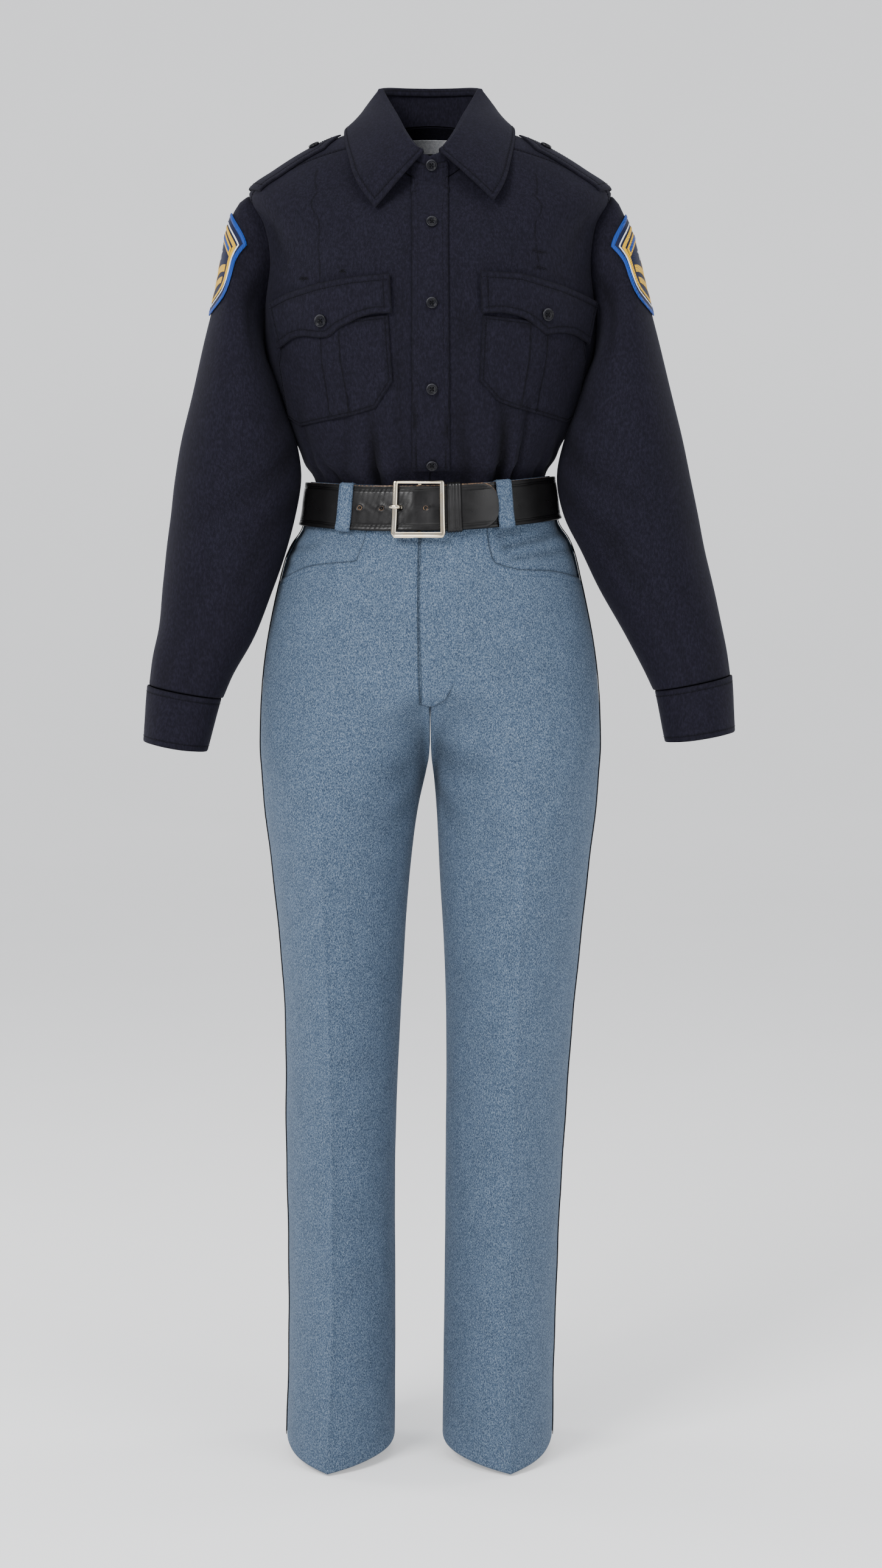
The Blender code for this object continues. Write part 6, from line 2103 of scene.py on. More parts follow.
class Collar(Assembly):
    """The stand, the leaf that falls over it, the neck button and a plain label."""

    stand_low = -2.0 * MM
    inner_fall = 4.5 * MM
    label_size = (50, 30)
    label_down = 55 * MM
    lap = (-12 * MM, 0.5 * MM)

    def __init__(self, torso: TorsoSurface) -> None:
        """Takes the torso whose neckline it stands on."""
        super().__init__()
        self.torso = torso

    def lap_rise(self, a: np.ndarray, t: np.ndarray) -> np.ndarray:
        """The stand's lapped ends at the front, in one plane with the front band."""
        turn = 2 * math.pi * COLLAR_RADIUS
        start, rise = self.lap
        a = (a + turn / 2) % turn - turn / 2
        shape = smooth_step((a - start) / (2.5 * MM)) * smooth_step((-start - a) / (2.5 * MM))
        return shape * rise + 0 * t

    def build(self) -> None:
        """Makes the pieces."""
        stand = StandSurface(self.torso)
        turn = 2 * math.pi * COLLAR_RADIUS
        band = Tube("neck_stand", stand, turn, 200,
                    stations_between(0.3 * MM, stand.height - 0.8 * MM, 4 * MM),
                    self.stand_low, roll=0.2 * MM, rise=self.lap_rise, edge_shade=0.0)
        self.sew(band, SHIRT, "collar_stand", Held.FOLDED)
        fall = FallSurface()
        arc = math.pi * fall.turn_radius + self.inner_fall
        first, last = fall.first * COLLAR_RADIUS, fall.last * COLLAR_RADIUS
        outline = [(first, -arc), (last, -arc), (last, COLLAR_DEPTH), (first, COLLAR_DEPTH)]
        leaf = Cut("neck_leaf", fall, outline, 3.2 * MM, 0.0, 1.7 * MM, 0.0, 0.5 * MM,
                   rows=(4.6 * MM,))
        self.sew(leaf, SHIRT, "collar_fall", Held.FOLDED, ("neck_stand",))
        rows = StitchRows("collar_stitches", SHIRT_THREAD)
        rows.add(leaf.seam_path(4.6 * MM, (1, 2, 3)))
        threads = button_threads("neck_button_threads")
        put_button(self, threads, "neck_button", stand, (1.5 * MM, stand.height * 0.6), 2.5 * MM)
        half, height = self.label_size[0] / 2 * MM, self.label_size[1] * MM
        back, wide = 2 * SIDE, half * GIRTH_RADIUS / 0.1
        low = self.torso.top - self.label_down
        corners = [(back - wide, low), (back + wide, low), (back + wide, low + height),
                   (back - wide, low + height)]
        tag = Cut("plain_tag", self.torso, corners, 3 * MM, -CLOTH - 2.5 * MM, -CLOTH - 1.9 * MM,
                  roll=0.1 * MM)
        self.sew(tag, LABEL, "neck_label", on=("yoke",))
        self.seams += [rows, threads]


class ChestPockets(Assembly):
    """Pockets with a box pleat, each under a scalloped flap with a button."""

    pleat_rise = 1.5 * MM
    pocket_low, pocket_high = 0.9 * MM, 2.2 * MM
    flap_low, flap_high = 4.2 * MM, 6.0 * MM
    plans = {
        "right": {
            "pocket": ((-40, -172), (-36, -236), (-53, -262), (-74, -268), (-128, -278),
                       (-141, -268), (-149, -215), (-146, -182)),
            "flap": ((-155, -157), (-136, -149), (-107, -141), (-77, -136), (-38, -133),
                     (-36, -171), (-52, -171), (-61, -173), (-70, -176), (-79, -180.5),
                     (-86, -184), (-92, -189), (-98, -193), (-106, -193), (-121, -191),
                     (-127, -191.5), (-132, -193), (-140, -197.5), (-148, -202)),
            "button": (-103, -177),
            "pleat": (-104, -87, -96, -76),
        },
        "left": {
            "pocket": ((51, -172), (48, -235), (66, -255), (83, -261), (134, -274),
                       (147, -263), (154, -212), (151, -182)),
            "flap": ((48, -130), (88, -132), (126, -142), (162, -155), (154, -197),
                     (146, -192), (139, -189), (131, -188), (122, -188), (116, -189.5),
                     (111, -190), (104, -185), (97, -179), (91, -175.5), (85, -173),
                     (76, -171), (68, -170), (58, -170.5), (49, -171)),
            "button": (111, -171),
            "pleat": (96, 113, 86, 102),
        },
    }

    def __init__(self, torso: TorsoSurface) -> None:
        """Takes the surface that they lie on."""
        super().__init__()
        self.torso = torso

    def pleat(self, plan: dict) -> tuple[Lift, list[tuple[Pair, Pair]]]:
        """The raised pleat of a pocket, and the lines of its two edges, which carry painted shade.
        """
        top_low, top_high, bottom_low, bottom_high = (v * MM for v in plan["pleat"])
        heights = [z * MM for _, z in plan["pocket"]]
        top, bottom = max(heights), min(heights)

        def rise(a: np.ndarray, t: np.ndarray) -> np.ndarray:
            """The pleat's rise over the torso's lengths."""
            place = self.torso.point(a, t)
            x, down = place[:, 0], np.clip((top - place[:, 2]) / (top - bottom), 0, 1)
            low = top_low + (bottom_low - top_low) * down
            high = top_high + (bottom_high - top_high) * down
            soft = 0.7 * MM
            inner = np.minimum((x - low) / soft, (high - x) / soft) + 0.5
            flat = np.exp(-((x - low) / (5 * MM)) ** 2) + np.exp(-((x - high) / (5 * MM)) ** 2)
            away = np.minimum(np.abs(x - low + 0.8 * MM), np.abs(x - high - 0.8 * MM))
            groove = 0.6 * MM * np.exp(-(away / (0.9 * MM)) ** 2)
            return np.clip(inner, 0, 1) * self.pleat_rise * (0.8 + 0.2 * flat) - groove

        seen = self.torso.seen
        lines = [(seen(top_low, top), seen(bottom_low, bottom)),
                 (seen(top_high, top), seen(bottom_high, bottom))]
        return rise, lines

    def build(self) -> None:
        """Makes both pockets, flaps and buttons."""
        torso = self.torso
        rows = StitchRows("pocket_stitches", SHIRT_THREAD)
        threads = button_threads("flap_button_threads")
        for name, plan in self.plans.items():
            rise, lines = self.pleat(plan)
            outline = front_outline(torso, plan["pocket"], 8 * MM)
            # Painted shade along the pocket's and the flap's edges, their stitched rows and the
            # pleat's edges.
            pocket = Cut(f"pouch_{name}", torso, outline, 4.5 * MM, self.pocket_low,
                         self.pocket_high, rows=(3.2 * MM,), lines=lines, rise=rise,
                         roll=0.45 * MM, edge_shade=0.9)
            self.sew(pocket, SHIRT, f"pocket_{name}", on=(f"front_{name}",))
            rows.add(pocket.seam_path(3.2 * MM))
            outline = front_outline(torso, plan["flap"], 8 * MM)
            flap = Cut(f"lid_{name}", torso, outline, 4 * MM, self.flap_low, self.flap_high,
                       roll=0.8 * MM, rows=(6.2 * MM,), edge_shade=0.9)
            self.sew(flap, SHIRT, f"flap_{name}", on=(f"pouch_{name}",))
            rows.add(flap.seam_path(6.2 * MM))
            x, z = plan["button"]
            put_button(self, threads, f"flap_{name}_button", torso, torso.seen(x * MM, z * MM),
                       self.flap_high + 0.4 * MM, ButtonShape(13 * MM))
        self.seams += [rows, threads]


class ShoulderStraps(Assembly):
    """Straps from the sleeve seams to the collar, each with a button near its point."""

    half_widths = (26 * MM, 19 * MM)
    tip, forward, gap = 15 * MM, 20 * MM, 6 * MM
    low, high = 1.1 * MM, 3.0 * MM

    def __init__(self, torso: TorsoSurface) -> None:
        """Takes the torso whose shoulders they lie on."""
        super().__init__()
        self.torso = torso

    def build(self) -> None:
        """Makes both straps."""
        start = self.torso.sections.knots[SHOULDER_ROW] + 3 * MM
        end = self.torso.sections.knots[NECK_ROW] - self.gap
        wide, narrow = self.half_widths
        rows = StitchRows("strap_stitches", SHIRT_THREAD)
        threads = button_threads("strap_button_threads")
        for name, side in (("left", 1), ("right", -1)):
            form = ShoulderSurface(self.torso, side)
            outline = [(start, -wide - self.forward), (end - self.tip, -narrow - self.forward),
                       (end, -self.forward), (end - self.tip, narrow - self.forward),
                       (start, wide - self.forward)]
            strap = Cut(f"strap_{name}", form, outline, 4 * MM, self.low, self.high,
                        rows=(5.5 * MM,))
            self.sew(strap, SHIRT, f"epaulette_{name}", on=("yoke", f"front_{name}"))
            rows.add(strap.seam_path(5.5 * MM))
            place = (end - self.tip - 3 * MM, -self.forward)
            put_button(self, threads, f"epaulette_{name}_button", form, place,
                       self.high - 0.1 * MM)
        self.seams += [rows, threads]


class Trousers(Assembly):
    """Fronts, backs, pocket facings, braids, fly lap and waistband."""

    top = -0.373 - 0.3 * MM
    openings = {
        "right": ((62.5, -373), (64, -384), (68, -398), (73, -410.5), (83, -412), (104, -414.5),
                  (122, -418), (143, -428)),
        "left": ((56.5, -373), (57, -383), (58.5, -398), (61.5, -409.5), (65, -414.5),
                 (72, -417), (88, -421.5), (122, -424.5), (143, -430)),
    }
    fly_outline = (
        (-9, -376), (-10.5, -425), (-11, -460), (-10, -500), (-9, -530), (-9, -551), (-3, -553.5),
        (4, -554), (16, -547), (24, -530), (28, -500), (28, -376),
    )
    braid_width = 16 * MM

    def __init__(self, waist: WaistSurface, legs: dict[str, LegSurface]) -> None:
        """Takes the surfaces that they are laid over."""
        super().__init__()
        self.waist, self.legs = waist, legs

    def front_shade_mask(self, a: np.ndarray, t: np.ndarray) -> np.ndarray:
        """Scales a front's painted shade: most at the pocket's opening and at the fly, and less
        below the fly.
        """
        return np.where(t > -0.56, 1.0, 0.45) + 0 * a

    def fly_shade_mask(self, a: np.ndarray, t: np.ndarray) -> np.ndarray:
        """Keeps the fly lap's painted shade at its lip and its rounded lower end alone."""
        return np.maximum(smooth_step((6 * MM - a) / (8 * MM)), smooth_step((-0.53 - t) / 0.012))

    def fly_wall(self, a: np.ndarray, t: np.ndarray) -> tuple[np.ndarray, np.ndarray]:
        """The fly lap's two faces, thinner away from its lip."""
        share = smooth_step((a + 8 * MM) / (26 * MM))
        pucker = np.exp(-((a + 9 * MM) / (4 * MM)) ** 2) * np.sin(t * 330) * 0.25 * MM
        return 0.25 * MM + pucker, (2.2 - 1.65 * share) * MM + pucker

    def build(self) -> None:
        """Makes the pieces."""
        outer = 2 * LEG_QUARTER
        rows = StitchRows("trouser_stitches", TROUSER_THREAD)
        for name, form in self.legs.items():
            mouth = []
            for x, z in self.openings[name]:
                a, t = form.front_place(np.array(x * MM), np.array(z * MM))
                mouth.append((float(a), float(t)))
            mouth[0] = (mouth[0][0], self.top)
            mouth.append((outer, -0.434))
            hem = [(q * LEG_QUARTER, form.hem(q * LEG_QUARTER)) for q in np.linspace(2, 0, 17)]
            bends = tuple(LEG_QUARTER + d for d in (-1.3 * MM, 0.0, 1.3 * MM))
            # A painted shadow line beside the fly's lip, on the right front.
            beside = [form.front_place(np.array(x * MM), np.array(z * MM))
                      for x, z in ((-10.5, -378), (-12, -460), (-10.5, -552))]
            beside = [(float(a), float(t)) for a, t in beside]
            lines = list(zip(beside, beside[1:])) if name == "right" else []
            front = Cut(f"leg_front_{name}", form, [(0.0, self.top)] + mouth + hem, 6 * MM,
                        columns=bends, lines=lines, edge_shade=1.0, shade_mask=self.front_shade_mask)
            self.sew(front, TROUSER, f"trouser_front_{name}", Held.HUNG, ("waist_band",))
            rows.add(front.seam_path(6 * MM, tuple(range(1, len(mouth)))))
            inner = [(mouth[0][0] - 7 * MM, self.top)]
            inner += [(a - 6 * MM, t - 6 * MM) for a, t in mouth[1:-1]]
            inner += [(outer, -0.434 - 6 * MM)]
            facing = Cut(f"mouth_lining_{name}", form, [(outer, self.top)] + inner[::-1], 5 * MM,
                         -3.3 * MM, -2.1 * MM)
            self.sew(facing, TROUSER, f"pocket_facing_{name}", on=(f"leg_front_{name}",))
            hem = [(q * LEG_QUARTER, form.hem(q * LEG_QUARTER)) for q in np.linspace(4, 2, 17)]
            bends = tuple(3 * LEG_QUARTER + d for d in (-1.3 * MM, 0.0, 1.3 * MM))
            back = Cut(f"leg_back_{name}", form, [(outer, self.top), (2 * outer, self.top)] + hem,
                       6 * MM, columns=bends)
            self.sew(back, TROUSER, f"trouser_back_{name}", Held.HUNG, ("waist_band",))
            half, low = self.braid_width / 2, HEM_Z + 1 * MM
            corners = [(outer - half, self.top), (outer + half, self.top), (outer + half, low),
                       (outer - half, low)]
            braid = Cut(f"braid_{name}", form, corners, 6 * MM, 0.4 * MM, 1.3 * MM,
                        roll=0.3 * MM)
            self.sew(braid, BRAID, f"side_braid_{name}", on=(f"leg_front_{name}",))
        hips = HipSurface(self.legs["right"], self.legs["left"])
        lap = Cut("fly_lap", hips, [(x * MM, z * MM) for x, z in self.fly_outline], 4 * MM,
                  high=1.5 * MM, wall=self.fly_wall, roll=0.3 * MM, edge_shade=0.9,
                  shade_mask=self.fly_shade_mask)
        self.sew(lap, TROUSER, "fly", on=("leg_front_left", "leg_front_right"))
        tack = np.linspace(0, 1, 6)
        rows.add(hips.lifted(-8 * MM + 12 * MM * tack, -0.5485 - 3 * MM * tack, 1.5 * MM))
        stations = stations_between(-0.373, -0.3362, 6 * MM)
        band = Tube("waist_band", self.waist, 2 * math.pi * BELT_RADIUS, 140, stations,
                    -2.2 * MM)
        self.sew(band, TROUSER, "waistband", Held.FOLDED)
        self.seams.append(rows)


class BandSurface(Surface):
    """A narrow band that wraps the belt: a runs along its path, t across it."""

    slack = 0.0
    nudge = 0.2 * MM

    def __init__(
        self, waist: WaistSurface, middle: float, path: Sequence[Pair], closed: bool,
        radius: float = 2.2 * MM, outward: float = 1.0,
    ) -> None:
        """Rounds the path's corners and measures along it.

        Args:
            waist: The ring that it stands over.
            middle: The length round the ring of the band's middle.
            path: Corners as heights and lifts.
            closed: Whether the path joins its own start.
            radius: How far from a corner its rounding starts.
            outward: Which side of the path faces out.
        """
        super().__init__()
        self.waist, self.middle, self.outward = waist, middle, outward
        corners = [np.array(p, dtype=float) for p in path]
        places: list[np.ndarray] = []
        for i, corner in enumerate(corners):
            if not closed and i in (0, len(corners) - 1):
                places.append(corner)
                continue
            before, after = corners[i - 1], corners[(i + 1) % len(corners)]
            start = corner + unit(before - corner) * radius
            end = corner + unit(after - corner) * radius
            for s in np.linspace(0, 1, 7):
                places.append((1 - s) ** 2 * start + 2 * s * (1 - s) * corner + s * s * end)
        if closed:
            places.append(places[0])
        self.places = np.array(places)
        steps = np.linalg.norm(np.diff(self.places, axis=0), axis=1)
        self.runs = np.concatenate(([0.0], np.cumsum(steps)))
        self.length = float(self.runs[-1])
        self.closed = closed

    def point(self, a: np.ndarray, t: np.ndarray) -> np.ndarray:
        """Points of the band's inner face."""
        a, t = np.broadcast_arrays(np.asarray(a, dtype=float), np.asarray(t, dtype=float))
        run = a % self.length if self.closed else a
        height = np.interp(run, self.runs, self.places[:, 0])
        lift = np.interp(run, self.runs, self.places[:, 1])
        if not self.closed:
            slope = (self.places[-1] - self.places[-2]) / (self.runs[-1] - self.runs[-2])
            past = np.maximum(run - self.length, 0)
            height, lift = height + slope[0] * past, lift + slope[1] * past
            slope = (self.places[1] - self.places[0]) / (self.runs[1] - self.runs[0])
            past = np.minimum(run, 0)
            height, lift = height + slope[0] * past, lift + slope[1] * past
        return self.waist.lifted(self.middle + t, height, lift)


@dataclass(frozen=True)
class BeltShape:
    """Sizes of the belt's strap."""

    middle_z: float = -0.3595
    width: float = 44.5 * MM
    thick: float = 3.8 * MM
    clear: float = 1.5 * MM
    gap: float = 0.4 * MM
    start_x: float = -6 * MM
    ramp_x: Pair = (-62 * MM, -20 * MM)
    tip_x: float = 64 * MM
    holes: tuple[float, ...] = (-67 * MM, -46 * MM, -29 * MM, -4 * MM)
    grooves: tuple[float, ...] = (16.6 * MM, 18.4 * MM)
    dome: float = 0.25 * MM

    @property
    def low(self) -> float:
        """Height of its lower edge."""
        return self.middle_z - self.width / 2

    @property
    def high(self) -> float:
        """Height of its upper edge."""
        return self.middle_z + self.width / 2

    @property
    def layer(self) -> float:
        """Lift from one layer of the strap to the next."""
        return self.thick + self.gap

    @property
    def stack(self) -> float:
        """Lift over both layers."""
        return self.clear + 2 * self.layer


class Belt(Assembly):
    """The strap with its holes and grooves, the keeper, and the trousers' loops round it."""

    keeper_x = (16 * MM, 30 * MM)
    loops = {"right": -81 * MM, "left": 71 * MM}
    loop_width = 15.5 * MM
    back_turns = {"side_right": 232, "side_left": 128, "back": 180}

    def __init__(self, waist: WaistSurface, shape: BeltShape = BeltShape()) -> None:
        """Takes the ring that it lies round."""
        super().__init__()
        self.waist, self.shape = waist, shape

    def outer_face(self, x: np.ndarray, t: np.ndarray, end: np.ndarray) -> np.ndarray:
        """How far the strap's outer face stands out of its plain thickness.

        Args:
            x: Distances to the wearer's left, along the strap's outer end.
            t: Heights over the strap's middle.
            end: 1 on the strap's outer end and 0 on the rest.

        Returns:
            The rise at each place.
        """
        shape = self.shape
        half = shape.width / 2
        rise = shape.dome * (1 - (t / half) ** 2)
        rise = rise - self.pressed_in(x, t, end)
        swell = 1.25 * np.exp(-((x + 15 * MM) / (6 * MM)) ** 2 - (t / (17 * MM)) ** 2)
        swell += 0.8 * np.exp(-((x - 3 * MM) / (5 * MM)) ** 2 - ((t + 3 * MM) / (13 * MM)) ** 2)
        swell -= 0.5 * np.exp(-((x + 27 * MM) / (4 * MM)) ** 2 - (t / (9 * MM)) ** 2)
        creased = np.exp(-((x + 42 * MM) / (26 * MM)) ** 2)
        swell += creased * 0.16 * (
            np.sin(x * 900 + t * 260) * np.sin(x * 310 - t * 520 + 1) + np.sin(x * 1500 - t * 700)
        ) * 0.7
        rise = rise + swell * MM * end
        for hole in shape.holes:
            away = np.hypot(x - hole, t)
            rim = 0.28 * np.exp(-((away - 3.0 * MM) / (0.8 * MM)) ** 2)
            rise = rise + rim * MM * end
        return rise

    def pressed_in(self, x: np.ndarray, t: np.ndarray, end: np.ndarray) -> np.ndarray:
        """Depth of the strap's grooves and holes.

        Args:
            x: Distances to the wearer's left, along the strap's outer end.
            t: Heights over the strap's middle.
            end: 1 on the strap's outer end and 0 on the rest.

        Returns:
            The depth at each place.
        """
        deep = sum(0.4 * MM * np.exp(-((np.abs(t) - groove) / (0.5 * MM)) ** 2)
                   for groove in self.shape.grooves)
        for hole in self.shape.holes:
            deep = deep + 1.7 * MM * np.exp(-(np.hypot(x - hole, t) / (2.0 * MM)) ** 6) * end
        return deep

    def build_strap(self) -> None:
        """Sweeps the strap round the waist and on through the buckle to its tip."""
        shape, waist = self.shape, self.waist
        whole = 2 * math.pi * BELT_RADIUS
        start = waist.length_at(shape.start_x)
        ramp = [whole + waist.length_at(x) for x in shape.ramp_x]
        tip = whole + waist.length_at(shape.tip_x)
        outer_start = whole + waist.length_at(-80 * MM)
        stations = list(np.arange(start, outer_start, 4 * MM))
        stations += list(np.arange(outer_start, tip - 0.4 * MM, 1.0 * MM)) + [tip]
        table = np.linspace(-110 * MM, 110 * MM, 221)
        runs = np.array([waist.length_at(x) for x in table])
        half, edge = shape.width / 2, 1.1 * MM
        across = [0.0, 0.7, 1.4, 2.1, 2.8, 3.6, 5.0, 8.0, 11.5, 14.5]
        across = [v * MM for v in across]
        for groove in shape.grooves:
            across += [groove + d * MM for d in (-0.7, -0.3, 0.0, 0.3, 0.7)]
        across = sorted(set(round(v, 6) for v in across + [half - edge * 1.3, half - edge]))
        points, marks, count = [], [], 0
        for a in stations:
            near = a if a < whole / 2 else a - whole
            x = float(np.interp(near, runs, table))
            end = 1.0 if a > outer_start else 0.0
            share = float(smooth_step(np.array((a - ramp[0]) / (ramp[1] - ramp[0]))))
            inner = shape.clear + share * shape.layer
            past = max(0.0, (a - (tip - 15 * MM)) / (15 * MM))
            narrow = 0.2 + 0.8 * math.sqrt(max(0.0, 1 - past**2))
            t = np.array([-v for v in across[::-1]][:-1] + across) * narrow
            face = inner + shape.thick + self.outer_face(np.full_like(t, x), t, end) * (
                1 - 0.6 * past)
            ring = list(zip(t, face))
            turns = np.linspace(math.pi / 2, 0, 5)[1:]
            corner = (half - edge) * narrow
            for turn in turns:
                ring.append((corner + edge * math.cos(turn),
                             inner + shape.thick - edge + edge * math.sin(turn)))
            for turn in turns[::-1]:
                ring.append((corner + edge * math.cos(turn), inner + edge - edge * math.sin(turn)))
            ring += [(corner, inner), (0.0, inner), (-corner, inner)]
            for turn in turns[::-1]:
                ring.append((-corner - edge * math.sin(math.pi / 2 - turn),
                             inner + edge - edge * math.sin(turn)))
            for turn in turns:
                ring.append((-corner - edge * math.cos(turn),
                             inner + shape.thick - edge + edge * math.sin(turn)))
            # Painted shade in the grooves and the holes, and along the tip's end.
            dark = np.zeros(len(ring))
            deep = self.pressed_in(np.full_like(t, x), t, end)
            dark[: len(t)] = np.clip(deep / (0.45 * MM), 0, 1)
            marks.append(np.maximum(dark, 0.9 * math.exp(-((tip - a) / (1.4 * MM)) ** 2)))
            heights = np.array([r[0] for r in ring]) + shape.middle_z
            lifts = np.array([r[1] for r in ring])
            points.append(waist.lifted(np.full_like(heights, a), heights, lifts))
            count = len(ring)
        faces, side_faces = [], []
        face_end = 2 * len(across) - 2
        for row in range(len(stations) - 1):
            for i in range(count):
                after = (i + 1) % count
                first = face_end + (0 if stations[row] > outer_start else 2)
                if first <= i < face_end + 7:
                    side_faces.append(len(faces))
                faces.append((row * count + i, row * count + after,
                              (row + 1) * count + after, (row + 1) * count + i))
        faces.append(tuple(range(count)))
        side_faces.append(len(faces))
        faces.append(tuple(range((len(stations) - 1) * count, len(stations) * count))[::-1])
        run = np.repeat(np.array(stations), count)
        lie = np.tile(np.arange(count) * 1.5 * MM, len(stations))
        strap = mesh_piece("leather_strap", np.vstack(points), faces, LEATHER,
                           np.stack((run, lie), axis=1), marks=np.concatenate(marks))
        strap.data.materials.append(RAW_EDGE.material())
        for i in side_faces:
            strap.data.polygons[i].material_index = 1
        self.made.append(Made(strap, LEATHER, ("belt_strap",)))

    def build_holes(self) -> None:
        """Lines each hole that shows with a raw brown ring."""
        shape, waist = self.shape, self.waist
        whole = 2 * math.pi * BELT_RADIUS
        ramp = [whole + waist.length_at(x) for x in shape.ramp_x]
        parts, faces, start = [], [], 0
        for hole in shape.holes:
            if -30 * MM < hole < -20 * MM:
                continue
            a = whole + waist.length_at(hole)
            share = float(smooth_step(np.array((a - ramp[0]) / (ramp[1] - ramp[0]))))
            lift = shape.clear + share * shape.layer + shape.thick + 0.05 * MM
            turns = np.linspace(0, 2 * math.pi, 24, endpoint=False)
            across, height = np.cos(turns) * 2.05 * MM, np.sin(turns) * 2.05 * MM
            path = waist.lifted(a + across, shape.middle_z + height, lift + 0 * across)
            up = waist.normal(a + across, shape.middle_z + height)
            along = unit(np.roll(path, -1, axis=0) - np.roll(path, 1, axis=0))
            ring, ring_faces = sweep(path, unit(np.cross(along, up)), up,
                                     rounded_section(0.9 * MM, 0.9 * MM, 2.0, 8), True)
            parts.append(ring)
            faces += [tuple(i + start for i in face) for face in ring_faces]
            start += len(ring)
        self.add("hole_rims", (np.vstack(parts), faces), RAW_EDGE)

    def keeper_rise(self, a: np.ndarray, t: np.ndarray) -> np.ndarray:
        """Three ridges round the keeper."""
        return 0.8 * MM * np.cos(t / (14 * MM) * 2 * math.pi * 2.5) ** 2 + 0 * a

    def build(self) -> None:
        """Makes the strap, the keeper and the loops."""
        shape, waist = self.shape, self.waist
        self.build_strap()
        self.build_holes()
        low, high = shape.low - shape.gap, shape.high + shape.gap
        back, front = shape.clear - 0.3 * MM, shape.stack
        start, end = (waist.length_at(x) for x in self.keeper_x)
        path = ((low, front), (high, front), (high, back), (low, back))
        ring = BandSurface(waist, (start + end) / 2, path, True, 1.6 * MM)
        half = (end - start) / 2
        self.flip(ring, 30 * MM)
        band = Tube("leather_keeper", ring, ring.length, 110,
                    list(np.linspace(-half, half, 23)), 0.0, 1.2 * MM, 0.5 * MM,
                    rise=self.keeper_rise)
        self.made.append(Made(band.build(LEATHER), LEATHER, ("belt_keeper",)))
        places = {name: (waist.length_at(x), shape.thick + (0.0 if name == "right" else 1.2 * MM))
                  for name, x in self.loops.items()}
        for name, turn in self.back_turns.items():
            places[name] = (math.radians(turn) * BELT_RADIUS, shape.thick)
        rows = StitchRows("loop_stitches", TROUSER_THREAD)
        for name, (middle, height) in places.items():
            top, bottom = shape.high + 0.6 * MM, shape.low - 0.6 * MM
            over = shape.clear + height + 0.75 * MM
            foot = 0.5 * MM
            path = ((top, foot), (top, over), (bottom, over), (bottom, foot))
            form = BandSurface(waist, middle, path, False, 2.4 * MM)
            self.flip(form, form.length / 2)
            wide = self.loop_width / 2
            corners = [(0.0, -wide), (form.length, -wide), (form.length, wide), (0.0, wide)]
            loop = Cut(f"loop_{name}", form, corners, 1.6 * MM, 0.0, 1.35 * MM, 0.0, 0.45 * MM,
                       rings=(0.5 * MM, 1.4 * MM))
            self.sew(loop, TROUSER, f"belt_loop_{name}", Held.FOLDED, ("waist_band",))
            run = np.linspace(4 * MM, form.length - 4 * MM, 30)
            for side in (-1, 1):
                across = np.full_like(run, side * (wide - 2.2 * MM))
                rows.add(form.lifted(run, across, 1.45 * MM + 0 * run))
        self.seams.append(rows)

    def flip(self, form: BandSurface, where: float) -> None:
        """Turns a band's surface so that it faces away from the waist at its front."""
        a, t = np.array([where]), np.array([0.0])
        facing = form.normal(a, t)[0]
        away = self.waist.normal(a * 0 + form.middle, a * 0 + self.shape.middle_z)[0]
        if float(facing @ away) < 0:
            form.outward = -form.outward


